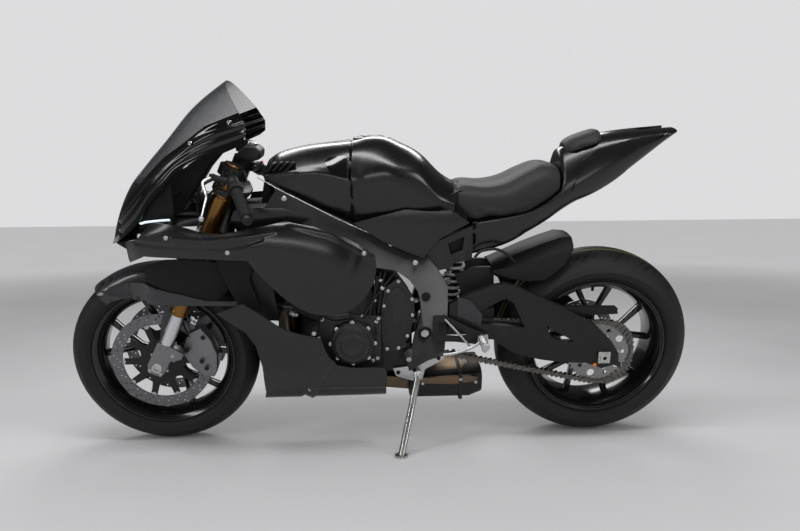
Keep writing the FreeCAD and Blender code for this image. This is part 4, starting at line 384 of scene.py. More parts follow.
@dataclass(frozen=True)
class Treaded(Finish):
    """Tyre rubber with curved grooves across each half of its tread."""

    centre: Point = (0.0, 0.0, 0.0)
    grooves: int = 22
    groove_share: float = 0.07
    inner: float = 14.0
    outer: float = 46.0
    sweep: float = 16.0
    depth: float = 2.6

    def build(self, tree: Shading) -> None:
        """Cut the grooves by the angle round the axle and the distance from the middle of the tread, and darken their
        colour as painted shade.
        """
        vector, ahead, lateral, lift = tree.upright(self.centre)
        turn = tree.math("ARCTAN2", lift, ahead) * (self.grooves / FULL_TURN)
        away = abs(lateral)
        bent = turn + away * self.sweep + (lateral > 0) * 0.5
        middle = tree.math("PINGPONG", bent, 0.5)
        inside = (away > self.inner * MM) * (away < self.outer * MM)
        cut = (middle < self.groove_share) * inside
        fine = tree.math("PINGPONG", bent * 2 + 0.5, 0.5)
        sipe = (fine < self.groove_share) * (away > self.outer * MM * 0.55) * (away < self.outer * MM * 0.85)
        groove = tree.math("MAXIMUM", cut, sipe)
        cloud = tree.noise(vector, 16.0)
        grain = tree.noise(vector, 1 / (self.grain_size * MM), 2.0)
        # Painted shade: the colour in the grooves is darkened to a quarter of the rubber's, for the shade that falls
        # into them.
        dark = tuple(channel * 0.25 for channel in self.colour)
        height = grain * 0.04 - groove
        tree.surface(
            Base_Color=tree.blend(groove, self.shades(tree, cloud), dark),
            Roughness=tree.step(cloud, 0.3, 0.7, self.roughness - 0.06, self.roughness + 0.08),
            Specular_IOR_Level=self.specular, Normal=tree.bump(height, self.depth),
        )


@dataclass(frozen=True)
class Weave(Finish):
    """Lacquered carbon cloth in a twill of fine tows."""

    tow: float = 2.4
    pale: Colour = (0.055, 0.056, 0.06)

    def build(self, tree: Shading) -> None:
        """Lay a twill of light and dark tows under a clear coat."""
        vector, x, y, z = tree.axes()
        along = (x + y * 0.4) / (self.tow * MM)
        around = (z + y * 0.6) / (self.tow * MM)
        column = tree.math("FLOOR", along)
        row = tree.math("FLOOR", around)
        over = ((column + row) % 4.0) > 1.5
        strand = tree.math("PINGPONG", along, 0.5) * over + tree.math("PINGPONG", around, 0.5) * (1 - over)
        shade = tree.step(over * 0.55 + strand * 0.9, 0.1, 1.0)
        cloud = tree.noise(vector, 6.0)
        tree.surface(
            Base_Color=tree.blend(shade, self.colour, self.pale),
            Roughness=tree.step(cloud, 0.3, 0.7, self.roughness, self.roughness + 0.08),
            Coat_Weight=self.coat, Coat_Roughness=self.coat_roughness, Specular_IOR_Level=self.specular,
            Normal=tree.bump(strand, self.grain_depth),
        )


@dataclass(frozen=True)
class Grained(Finish):
    """Seat vinyl, grip rubber or textured plastic with a pebbled grain."""

    pebble: float = 1.6
    pebble_depth: float = 0.25

    def build(self, tree: Shading) -> None:
        """Press a pebble grain into the surface."""
        vector, _, _, _ = tree.axes()
        settings = {"feature": "SMOOTH_F1"}
        sockets = {"Vector": vector, "Scale": 1 / (self.pebble * MM), "Smoothness": 0.5}
        pebble = tree.value("ShaderNodeTexVoronoi", settings, sockets, "Distance")
        cloud = tree.noise(vector, 14.0)
        rough = tree.step(pebble, 0.0, 0.8, self.roughness - 0.08, self.roughness + 0.06)
        tree.surface(
            Base_Color=self.shades(tree, cloud), Roughness=rough, Specular_IOR_Level=self.specular,
            Coat_Weight=self.coat, Normal=tree.bump(pebble, self.pebble_depth),
        )


@dataclass(frozen=True)
class Knurled(Finish):
    """Grip rubber with a diamond pattern."""

    pitch: float = 3.0

    def build(self, tree: Shading) -> None:
        """Cross two sets of ridges."""
        vector, x, y, z = tree.axes()
        first = tree.math("PINGPONG", (y + z) / (self.pitch * MM), 0.5)
        second = tree.math("PINGPONG", (y - z) / (self.pitch * MM), 0.5)
        diamond = tree.step(first * second, 0.02, 0.16)
        cloud = tree.noise(vector, 14.0)
        tree.surface(
            Base_Color=self.shades(tree, cloud), Roughness=self.roughness,
            Specular_IOR_Level=self.specular, Normal=tree.bump(diamond, self.grain_depth),
        )


@dataclass(frozen=True)
class Tinted(Finish):
    """Thin clear plastic, smoked, that turns denser towards its edges."""

    density: float = 0.5

    def build(self, tree: Shading) -> None:
        """Let the view through, less at a glancing angle."""
        glance = tree.value("ShaderNodeLayerWeight", None, {"Blend": 0.35}, "Facing")
        alpha = tree.step(glance, 0.0, 1.0, self.density, 0.96)
        material = tree.surface(
            Base_Color=self.colour, Roughness=self.roughness, Specular_IOR_Level=self.specular, Alpha=alpha,
        )
        material.surface_render_method = "DITHERED"


@dataclass(frozen=True)
class Heated(Finish):
    """Steel or titanium tinted by heat from straw to brown and blue."""

    straw: Colour = (0.36, 0.25, 0.13)
    blue: Colour = (0.13, 0.14, 0.22)

    def build(self, tree: Shading) -> None:
        """Drift between the tints along the pipe."""
        vector, x, _, z = tree.axes()
        cloud = tree.noise(vector, 5.0)
        drift = tree.math("PINGPONG", x * 4.0 + cloud * 0.7, 1.0)
        warm = tree.blend(tree.step(drift, 0.0, 0.5), self.colour, self.straw)
        tint = tree.blend(tree.step(drift, 0.55, 1.0), warm, self.blue)
        grain = tree.noise(vector, 1 / (self.grain_size * MM), 2.0)
        tree.surface(
            Base_Color=tint, Roughness=tree.step(cloud, 0.3, 0.7, self.roughness - 0.08, self.roughness + 0.1),
            Metallic=self.metallic, Normal=tree.bump(grain, self.grain_depth),
        )


@dataclass(frozen=True)
class Lit(Finish):
    """A lamp's lens that glows a little."""

    glow: float = 0.6

    def build(self, tree: Shading) -> None:
        """Let the lens glow behind fine ribs."""
        vector, x, _, _ = tree.axes()
        rib = tree.math("PINGPONG", x / (3 * MM), 0.5)
        tree.surface(
            Base_Color=self.colour, Roughness=self.roughness, Emission_Color=(0.75, 0.88, 1.0),
            Emission_Strength=self.glow, Normal=tree.bump(rib, 0.3),
        )


SATIN = Finish("Satin black", "satin_black", (0.004, 0.004, 0.0045), 0.27, coat=0.35, coat_roughness=0.2,
               specular=0.35, grain_depth=0.005)
GLOSS = Finish("Gloss black", "gloss_black", (0.003, 0.003, 0.0035), 0.1, coat=0.6, specular=0.25,
               grain_depth=0.002, smudge=0.02)
INNER = Finish("Inner panel", "black_plastic", (0.006, 0.006, 0.006), 0.62, specular=0.2, grain_depth=0.03)
INNER_GREY = Finish("Grey inner panel", "black_plastic", (0.035, 0.036, 0.038), 0.55, specular=0.3,
                    grain_depth=0.03)
WHEEL_BLACK = Finish("Wheel black", "black_wheel", (0.004, 0.004, 0.0045), 0.2, coat=0.5, coat_roughness=0.12,
                     specular=0.3, grain_depth=0.005)
ALLOY_BLACK = Finish("Black alloy", "black_alloy", (0.008, 0.008, 0.0085), 0.42, specular=0.3, grain_depth=0.03)
FRAME_GREY = Finish("Frame grey", "frame_grey", (0.013, 0.013, 0.014), 0.46, specular=0.35, grain_size=0.8,
                    grain_depth=0.04)
ENGINE_GREY = Finish("Engine grey", "engine_grey", (0.02, 0.02, 0.0215), 0.46, metallic=0.3, specular=0.4,
                     grain_size=0.9, grain_depth=0.06)
PLASTIC = Grained("Black plastic", "black_plastic", (0.008, 0.008, 0.008), 0.55, specular=0.25, pebble=0.9,
                  pebble_depth=0.05)
CARBON = Weave("Carbon cloth", "satin_black", (0.003, 0.003, 0.0035), 0.3, coat=0.5, coat_roughness=0.12,
               specular=0.3, grain_depth=0.08, pale=(0.03, 0.031, 0.034))
# Partly the fork's own gold and partly painted shade: the colour is darkened towards bronze for the shade that the fork
# tubes stand in.
GOLD = Finish("Gold tube", "gold_tube", (0.22, 0.115, 0.035), 0.33, metallic=1.0, grain_depth=0.01)
CHROME = Finish("Polished tube", "chrome_tube", (0.62, 0.62, 0.64), 0.12, metallic=1.0, grain_depth=0.004)
CAST = Finish("Cast grey", "cast_grey", (0.2, 0.2, 0.21), 0.45, metallic=0.85, grain_size=0.8, grain_depth=0.08)
SILVER = Finish("Silver alloy", "silver_alloy", (0.5, 0.5, 0.51), 0.32, metallic=1.0, grain_depth=0.02)
PLATED = Finish("Plated steel", "silver_steel", (0.5, 0.5, 0.48), 0.3, metallic=1.0, grain_depth=0.02)
DISC = Brushed("Front disc steel", "disc_steel", (0.16, 0.16, 0.165), 0.36, metallic=1.0, grain_depth=0.02,
               centre=(1405.0, 0.0, 300.0))
REAR_DISC = Brushed("Rear disc steel", "disc_steel", (0.2, 0.2, 0.205), 0.36, metallic=1.0, grain_depth=0.02,
                    centre=(0.0, 0.0, 320.4))
SPROCKET = Brushed("Sprocket steel", "dark_steel", (0.26, 0.26, 0.26), 0.42, metallic=0.9, grain_depth=0.02,
                   centre=(0.0, 0.0, 320.4))
CHAIN = Finish("Chain steel", "chain_steel", (0.14, 0.13, 0.12), 0.4, metallic=1.0, mottle=0.35, grain_depth=0.04)
FRONT_RUBBER = Treaded("Front tyre rubber", "tyre", (0.009, 0.009, 0.0095), 0.6, specular=0.3, grain_size=1.6,
                       mottle=0.2, centre=(1405.0, 0.0, 300.0), inner=6.0, outer=44.0)
REAR_RUBBER = Treaded("Rear tyre rubber", "tyre", (0.009, 0.009, 0.0095), 0.6, specular=0.3, grain_size=1.6,
                      mottle=0.2, centre=(0.0, 0.0, 320.4), grooves=18, inner=16.0, outer=70.0, sweep=9.0)
TREAD_MARK = Finish("Tread mark", "tyre", (0.3, 0.34, 0.04), 0.6, grain_depth=0.05)
GRIP = Knurled("Grip rubber", "grip_rubber", (0.009, 0.009, 0.009), 0.66, specular=0.25, grain_depth=0.5)
HOSE = Finish("Hose rubber", "grip_rubber", (0.006, 0.006, 0.006), 0.45, specular=0.35, grain_depth=0.02)
SEAT = Grained("Seat vinyl", "seat_cover", (0.016, 0.016, 0.017), 0.6, specular=0.3, pebble=1.5,
               pebble_depth=0.22)
SCREEN = Tinted("Smoked screen", "smoke_screen", (0.03, 0.032, 0.036), 0.04, specular=0.5, density=0.13)
PIPE = Heated("Heat-tinted pipe", "pipe_steel", (0.12, 0.095, 0.07), 0.36, metallic=1.0, grain_depth=0.02,
              straw=(0.14, 0.1, 0.06), blue=(0.06, 0.06, 0.09))
BRONZE = Heated("Bronze muffler", "pipe_steel", (0.13, 0.1, 0.075), 0.38, metallic=1.0, grain_depth=0.03,
                straw=(0.19, 0.13, 0.08), blue=(0.09, 0.08, 0.09))
MUFFLER_BLACK = Finish("Muffler black", "black_steel", (0.008, 0.008, 0.008), 0.45, specular=0.3, grain_depth=0.05)
RED = Finish("Red switch", "black_alloy", (0.4, 0.015, 0.012), 0.35, coat=0.3)
ORANGE = Finish("Orange fitting", "gold_tube", (0.6, 0.17, 0.02), 0.35, metallic=0.4)
WHITE = Finish("White spring", "silver_steel", (0.5, 0.5, 0.49), 0.35, coat=0.4)
LENS = Lit("Lamp lens", "gloss_black", (0.75, 0.82, 0.9), 0.1)
GLASS_BLACK = Finish("Dark glass", "gloss_black", (0.003, 0.003, 0.004), 0.06, coat=1.0, coat_roughness=0.02,
                     specular=0.3, grain_depth=0.0)




def curve_through(points: Sequence[Sequence[float]], count: int, closed: bool = False) -> np.ndarray:
    """Run a smooth curve through points.

    Args:
        points: The points that the curve passes, flat or in space.
        count: How many points the result has.
        closed: Whether the curve returns to its first point.

    Returns:
        Points on the curve, evenly spaced between the given ones.
    """
    given = np.array(points, float)
    size = len(given)
    spans = size if closed else size - 1
    places = np.linspace(0, spans, count, endpoint=not closed)
    first = np.minimum(places.astype(int), spans - 1)
    part = (places - first)[:, None]
    if closed:
        before, start, end, after = (given[(first + k) % size] for k in (-1, 0, 1, 2))
    else:
        padded = np.vstack([2 * given[0] - given[1], given, 2 * given[-1] - given[-2]])
        before, start, end, after = (padded[first + k] for k in (0, 1, 2, 3))
    square = part * part
    cube = square * part
    pulls = (-cube + 2 * square - part, 3 * cube - 5 * square + 2, -3 * cube + 4 * square + part, cube - square)
    return (pulls[0] * before + pulls[1] * start + pulls[2] * end + pulls[3] * after) / 2


def arc_points(centre: Flat, radius: float, start: float, end: float, count: int) -> list[Flat]:
    """Give points of an arc, with its angles in degrees."""
    angles = [math.radians(start + (end - start) * i / (count - 1)) for i in range(count)]
    return [(centre[0] + radius * math.cos(a), centre[1] + radius * math.sin(a)) for a in angles]


def smooth_rows(rows: Sequence[Sequence[Point]], across: int, along: int, closed: bool = False) -> np.ndarray:
    """Turn a few stations into a fine net.

    Args:
        rows: The stations, each with as many points.
        across: Points of each finished row.
        along: How many finished rows.
        closed: Whether each row is a loop.

    Returns:
        An array of rows of points.
    """
    fine = np.array([curve_through(row, across, closed) for row in rows])
    return np.array([curve_through(fine[:, k], along) for k in range(fine.shape[1])]).transpose(1, 0, 2)


class Form:
    """A mesh under construction, in millimetres in the upright motorcycle's axes."""

    def __init__(self) -> None:
        """Start with nothing."""
        self.mesh = bmesh.new()

    @classmethod
    def of_node(cls, node: str) -> "Form":
        """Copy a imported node's mesh and close its seams."""
        form = cls()
        form.mesh.from_mesh(frame["nodes"][node].data)
        form.mesh.transform(ROW_TO_UPRIGHT)
        bmesh.ops.remove_doubles(form.mesh, verts=form.mesh.verts, dist=0.03)
        return form

    def flatten(self, degrees: float = 1.5) -> "Form":
        """Join the triangles that lie in one plane."""
        limit = math.radians(degrees)
        bmesh.ops.dissolve_limit(self.mesh, angle_limit=limit, verts=self.mesh.verts, edges=self.mesh.edges)
        return self

    def pair(self) -> "Form":
        """Join triangles to quads."""
        bmesh.ops.join_triangles(self.mesh, faces=self.mesh.faces, angle_face_threshold=1.2,
                                 angle_shape_threshold=1.4)
        return self

    def net(self, rows: Iterable[Sequence[Point]], closed: bool = False, joined: bool = False,
            capped: bool = False) -> "Form":
        """Span faces between rows of points.

        Args:
            rows: The rows, each with as many points.
            closed: Whether each row is a loop.
            joined: Whether the last row meets the first.
            capped: Whether a face closes the first and the last row.

        Returns:
            This form.
        """
        made = [[self.mesh.verts.new(point) for point in row] for row in rows]
        width = len(made[0])
        spans = width if closed else width - 1
        pairs = list(zip(made, made[1:]))
        if joined:
            pairs.append((made[-1], made[0]))
        for low, high in pairs:
            for i in range(spans):
                k = (i + 1) % width
                self.mesh.faces.new((low[i], low[k], high[k], high[i]))
        if capped:
            self.mesh.faces.new(list(reversed(made[0])))
            self.mesh.faces.new(made[-1])
        return self

    def shell(self, outer: np.ndarray, inner: np.ndarray) -> "Form":
        """Close a wall between an outer and an inner net of points."""
        layers = [[[self.mesh.verts.new(point) for point in row] for row in net] for net in (outer, inner)]
        rows, width = outer.shape[:2]
        for layer, turned in zip(layers, (False, True)):
            for low, high in zip(layer, layer[1:]):
                for i in range(width - 1):
                    corners = (low[i], low[i + 1], high[i + 1], high[i])
                    self.mesh.faces.new(corners[::-1] if turned else corners)
        edge = [(0, i) for i in range(width)] + [(k, width - 1) for k in range(1, rows)]
        edge += [(rows - 1, i) for i in range(width - 2, -1, -1)] + [(k, 0) for k in range(rows - 2, 0, -1)]
        for (a, b), (c, d) in zip(edge, edge[1:] + edge[:1]):
            self.mesh.faces.new((layers[0][c][d], layers[0][a][b], layers[1][a][b], layers[1][c][d]))
        return self

    def lathe(self, profile: Sequence[Flat], centre: Point, axis: Point = (0, 1, 0), sides: int = 64,
              closed: bool = False) -> "Form":
        """Turn a profile round an axis.

        Args:
            profile: Pairs of distance along the axis and radius.
            centre: A point on the axis.
            axis: The axis' direction.
            sides: Steps round the axis.
            closed: Whether the profile is a loop.

        Returns:
            This form.
        """
        line = Vector(axis).normalized()
        first = line.orthogonal().normalized()
        second = line.cross(first)
        middle = Vector(centre)
        rows = []
        for place, radius in profile:
            spot = middle + line * place
            turns = (FULL_TURN * k / sides for k in range(sides))
            rows.append([spot + (first * math.cos(t) + second * math.sin(t)) * max(radius, 0.01) for t in turns])
        self.net(rows, closed=True, joined=closed, capped=not closed)
        return self

    def rod(self, start: Sequence[float], end: Sequence[float], radius: float, sides: int = 24,
            chamfer: float = 0.8, tip: Optional[float] = None) -> "Form":
        """Add a round rod with broken edges, which may taper to another radius."""
        begin, finish = Vector(start), Vector(end)
        length = (finish - begin).length
        far = radius if tip is None else tip
        profile = [(0, radius - chamfer), (chamfer, radius), (length - chamfer, far), (length, far - chamfer)]
        return self.lathe(profile, begin, finish - begin, sides)

    def tube(self, path: Sequence[Sequence[float]], radius: "float | Sequence[float]", sides: int = 16,
             squash: float = 1.0) -> "Form":
        """Sweep a round or oval section along a path.

        Args:
            path: The points of the centre line.
            radius: One radius, or one for each point.
            sides: Steps round the section.
            squash: Height of the section over its width.

        Returns:
            This form.
        """
        line = [Vector(point) for point in path]
        radii = [radius] * len(line) if isinstance(radius, (int, float)) else list(radius)
        normal: Optional[Vector] = None
        rows = []
        for i, spot in enumerate(line):
            ahead = (line[min(i + 1, len(line) - 1)] - line[max(i - 1, 0)]).normalized()
            normal = ahead.orthogonal() if normal is None else normal - ahead * normal.dot(ahead)
            normal.normalize()
            cross = ahead.cross(normal)
            turns = (FULL_TURN * k / sides for k in range(sides))
            rows.append([spot + (normal * math.cos(t) + cross * math.sin(t) * squash) * radii[i] for t in turns])
        return self.net(rows, closed=True, capped=True)

    def plate(self, loops: Sequence[Sequence[Flat]], near: float, far: float,
              place: Callable[[float, float, float], Point] = lambda u, v, w: (u, w, v)) -> "Form":
        """Push an outline with holes into a plate.

        Args:
            loops: The outer outline, then the outlines of the holes.
            near: One face's place along the third axis.
            far: The other face's place.
            place: The point for a place in the outline and along the third axis.

        Returns:
            This form.
        """
        flat: list[Vector] = []
        rings: list[list[int]] = []
        for loop in loops:
            rings.append(list(range(len(flat), len(flat) + len(loop))))
            flat.extend(Vector(point) for point in loop)
        points, _, faces, origin, _, _ = delaunay_2d_cdt(flat, [], rings, 5, 1e-5)
        layers = [[self.mesh.verts.new(place(p.x, p.y, w)) for p in points] for w in (near, far)]
        for face in faces:
            self.mesh.faces.new([layers[0][k] for k in reversed(face)])
            self.mesh.faces.new([layers[1][k] for k in face])
        lookup = {source: k for k, sources in enumerate(origin) for source in sources}
        for ring in rings:
            for a, b in zip(ring, ring[1:] + ring[:1]):
                i, k = lookup[a], lookup[b]
                self.mesh.faces.new((layers[0][i], layers[0][k], layers[1][k], layers[1][i]))
        return self

    def mirror(self) -> "Form":
        """Add the same form on the other side."""
        copy = bmesh.ops.duplicate(self.mesh, geom=self.mesh.verts[:] + self.mesh.edges[:] + self.mesh.faces[:])
        verts = [item for item in copy["geom"] if isinstance(item, bmesh.types.BMVert)]
        faces = [item for item in copy["geom"] if isinstance(item, bmesh.types.BMFace)]
        for vert in verts:
            vert.co.y = -vert.co.y
        bmesh.ops.reverse_faces(self.mesh, faces=faces)
        return self

    def outward(self) -> "Form":
        """Close doubled points and turn every face outwards."""
        bmesh.ops.remove_doubles(self.mesh, verts=self.mesh.verts, dist=0.005)
        bmesh.ops.recalc_face_normals(self.mesh, faces=self.mesh.faces)
        return self

    def crease(self, degrees: float, amount: float = 1.0) -> "Form":
        """Keep the edges that turn more than an angle sharp under subdivision."""
        layer = self.mesh.edges.layers.float.get("crease_edge") or self.mesh.edges.layers.float.new("crease_edge")
        limit = math.radians(degrees)
        for edge in self.mesh.edges:
            if edge.is_boundary or edge.calc_face_angle(0) > limit:
                edge[layer] = amount
        return self


@dataclass(frozen=True)
class Trim:
    """How a piece's mesh is finished."""

    bevel: float = 0.0
    bevel_steps: int = 2
    bevel_angle: float = 32.0
    wall: float = 0.0
    smoothing: int = 0
    edge_angle: float = 38.0


class Workshop:
    """Turns forms into pieces that ride on a body."""

    @staticmethod
    def settle(work: bpy.types.Object) -> bpy.types.Mesh:
        """Apply an object's modifiers and remove it, leaving a plain mesh."""
        graph = bpy.context.evaluated_depsgraph_get()
        mesh = bpy.data.meshes.new_from_object(work.evaluated_get(graph))
        data = work.data
        bpy.data.objects.remove(work)
        if data.users == 0:
            bpy.data.meshes.remove(data)
        return mesh

    @classmethod
    def piece(cls, name: str, form: Form, finish: Finish, body: Body, trim: Trim = Trim(),
              replaces: Sequence[str] = ()) -> bpy.types.Object:
        """Finish a form and let it ride on a body.

        Args:
            name: The piece's name.
            form: The form in upright millimetres.
            finish: Its surface.
            body: What it rides on.
            trim: Bevel, wall and smoothing.
            replaces: The nodes that it stands for.

        Returns:
            The piece.
        """
        mesh = cls.settle(cls.work(f"{name} work", form, trim))
        return cls.dress(name, mesh, finish, body, trim.edge_angle, replaces)

    @classmethod
    def work(cls, name: str, form: Form, trim: Trim) -> bpy.types.Object:
        """Make a working object of a form, with the modifiers that its trim asks for.

        Args:
            name: The object's name.
            form: The form, which is used up.
            trim: Bevel, wall and smoothing.

        Returns:
            The object, linked to the scene.
        """
        data = bpy.data.meshes.new(name)
        form.mesh.to_mesh(data)
        form.mesh.free()
        work = bpy.data.objects.new(name, data)
        bpy.context.scene.collection.objects.link(work)
        if trim.wall:
            shell = work.modifiers.new("Wall", "SOLIDIFY")
            shell.thickness = trim.wall
            shell.offset = -1.0
            shell.use_even_offset = True
        if trim.bevel:
            bevel = work.modifiers.new("Bevel", "BEVEL")
            bevel.width = trim.bevel
            bevel.segments = trim.bevel_steps
            bevel.limit_method = "ANGLE"
            bevel.angle_limit = math.radians(trim.bevel_angle)
            bevel.use_clamp_overlap = True
            bevel.harden_normals = False
        if trim.smoothing:
            smooth = work.modifiers.new("Smooth", "SUBSURF")
            smooth.levels = trim.smoothing
            smooth.render_levels = trim.smoothing
        return work

    @classmethod
    def cut(cls, name: str, form: Form, cutter: Form, trim: Trim, operation: str = "INTERSECT") -> Form:
        """Keep what two forms share, or take one from the other.

        Args:
            name: A name for the working objects.
            form: The form to cut, finished by its trim first.
            cutter: The form that cuts it.
            trim: Wall and smoothing of the form.
            operation: INTERSECT or DIFFERENCE.

        Returns:
            The cut form.
        """
        work = cls.work(f"{name} shell", form, trim)
        tool = cls.work(f"{name} cutter", cutter, Trim())
        knife = work.modifiers.new("Cut", "BOOLEAN")
        knife.object = tool
        knife.operation = operation
        knife.solver = "EXACT"
        mesh = cls.settle(work)
        bpy.data.objects.remove(tool)
        result = Form()
        result.mesh.from_mesh(mesh)
        bpy.data.meshes.remove(mesh)
        return result

    @classmethod
    def dress(cls, name: str, mesh: bpy.types.Mesh, finish: Finish, body: Body, edge_angle: float = 38.0,
              replaces: Sequence[str] = ()) -> bpy.types.Object:
        """Make a piece of a mesh in upright millimetres.

        Args:
            name: The piece's name.
            mesh: The finished mesh.
            finish: Its surface.
            body: What it rides on.
            edge_angle: Edges that turn more than this stay sharp.
            replaces: The nodes that it stands for.

        Returns:
            The piece.
        """
        mesh.name = name
        mesh.transform(UPRIGHT)
        mesh.shade_smooth()
        mesh.set_sharp_from_angle(angle=math.radians(edge_angle))
        mesh.materials.clear()
        mesh.materials.append(finish.material())
        piece = bpy.data.objects.new(name, mesh)
        bpy.context.scene.collection.objects.link(piece)
        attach(piece, body.value)
        if replaces:
            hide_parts(*replaces)
        log.info("%s: %d faces on %s", name, len(mesh.polygons), body.value)
        return piece
@dataclass(frozen=True)
class Spot:
    """Where a repeated piece stands, and which way its own z points."""

    place: Point
    facing: Point = (0.0, 0.0, 1.0)
    twist: float = 0.0

    def euler(self) -> Sequence[float]:
        """Give the turn from the repeated piece's own axes."""
        aim = Vector((0, 0, 1)).rotation_difference(Vector(self.facing).normalized())
        spin = Matrix.Rotation(self.twist, 3, "Z")
        return (aim.to_matrix() @ spin).to_euler()


class Repeat:
    """Copies of one small form at many spots, set out by a Geometry Nodes tree."""

    @staticmethod
    def tree() -> bpy.types.NodeTree:
        """Make the tree once: instances on points, turned by an attribute, realized and given a material."""
        name = "Repeat at spots"
        if name in bpy.data.node_groups:
            return bpy.data.node_groups[name]
        group = bpy.data.node_groups.new(name, "GeometryNodeTree")
        for label, kind in (("Spots", "NodeSocketGeometry"), ("Unit", "NodeSocketObject"),
                            ("Unit size", "NodeSocketFloat"), ("Finish", "NodeSocketMaterial")):
            group.interface.new_socket(label, in_out="INPUT", socket_type=kind)
        group.interface.new_socket("Copies", in_out="OUTPUT", socket_type="NodeSocketGeometry")
        graph = Graph(group)
        given = graph.node("NodeGroupInput")
        spots, unit, unit_size, finish = (Value(graph, given.outputs[i]) for i in range(4))
        shape = graph.value("GeometryNodeObjectInfo", None, {"Object": unit}, "Geometry")
        angles = graph.value("GeometryNodeInputNamedAttribute", {"data_type": "FLOAT_VECTOR"}, {"Name": "turn"})
        turn = graph.value("FunctionNodeEulerToRotation", None, {0: angles})
        sockets = {"Points": spots, "Instance": shape, "Rotation": turn, "Scale": unit_size}
        copies = graph.value("GeometryNodeInstanceOnPoints", None, sockets)
        real = graph.value("GeometryNodeRealizeInstances", None, {0: copies})
        dressed = graph.value("GeometryNodeSetMaterial", None, {"Geometry": real, "Material": finish})
        graph.node("NodeGroupOutput", None, {"Copies": dressed})
        return group

    @classmethod
    def piece(cls, name: str, unit: Form, spots: Sequence[Spot], finish: Finish, body: Body, trim: Trim = Trim(),
              unit_size: float = 1.0, replaces: Sequence[str] = ()) -> bpy.types.Object:
        """Make one piece of a unit repeated at spots.

        Args:
            name: The piece's name.
            unit: The repeated form, about its own origin.
            spots: Where the copies stand, in upright millimetres.
            finish: Its surface.
            body: What it rides on.
            trim: Bevel and smoothing of the unit.
            unit_size: Scale of the unit.
            replaces: The nodes that it stands for.

        Returns:
            The piece.
        """
        shape = Workshop.work(f"{name} unit", unit, trim)
        points = bpy.data.meshes.new(f"{name} spots")
        points.from_pydata([spot.place for spot in spots], [], [])
        turns = points.attributes.new("turn", "FLOAT_VECTOR", "POINT")
        turns.data.foreach_set("vector", [angle for spot in spots for angle in spot.euler()])
        carrier = bpy.data.objects.new(f"{name} work", points)
        bpy.context.scene.collection.objects.link(carrier)
        modifier = carrier.modifiers.new("Repeat", "NODES")
        modifier.node_group = cls.tree()
        given = {"Unit": shape, "Unit size": unit_size, "Finish": finish.material()}
        for item in modifier.node_group.interface.items_tree:
            if item.name in given:
                modifier[item.identifier] = given[item.name]
        mesh = Workshop.settle(carrier)
        bpy.data.objects.remove(shape)
        return Workshop.dress(name, mesh, finish, body, trim.edge_angle, replaces)


class Hardware:
    """Small standard parts, each about its own origin with its face towards z."""

    @staticmethod
    def socket_bolt(head: float, height: float) -> Form:
        """Make a round bolt head with a socket in its face."""
        socket = head * 0.55
        profile = [(-0.5, head * 1.25), (0.3, head * 1.25), (0.8, head), (height - 0.6, head), (height, head - 0.6),
                   (height, socket), (height * 0.35, socket), (height * 0.35, 0.01)]
        return Form().lathe(profile, (0, 0, 0), (0, 0, 1), 18)

    @staticmethod
    def hex_nut(head: float, height: float) -> Form:
        """Make a six-sided nut on a washer, with the bolt's end showing."""
        form = Form().lathe([(-0.5, head * 1.35), (0.8, head * 1.35), (0.9, 0.01)], (0, 0, 0), (0, 0, 1), 24)
        form.lathe([(0.8, head * 1.1), (height, head * 1.1)], (0, 0, 0), (0, 0, 1), 6)
        form.lathe([(height, head * 0.6), (height + 2.5, head * 0.6), (height + 3, head * 0.5)],
                   (0, 0, 0), (0, 0, 1), 16)
        return form

    @staticmethod
    def button(head: float, height: float) -> Form:
        """Make a domed button with a hollow in its middle."""
        profile = [(-height, head), (height - 0.6, head), (height, head - 0.8), (height, head * 0.5),
                   (height * 0.4, head * 0.4), (height * 0.4, 0.01)]
        return Form().lathe(profile, (0, 0, 0), (0, 0, 1), 18)




@dataclass(frozen=True)
class Lamp:
    """A soft box that faces the motorcycle."""

    name: str
    place: Point
    target: Point
    width: float
    height: float
    power: float


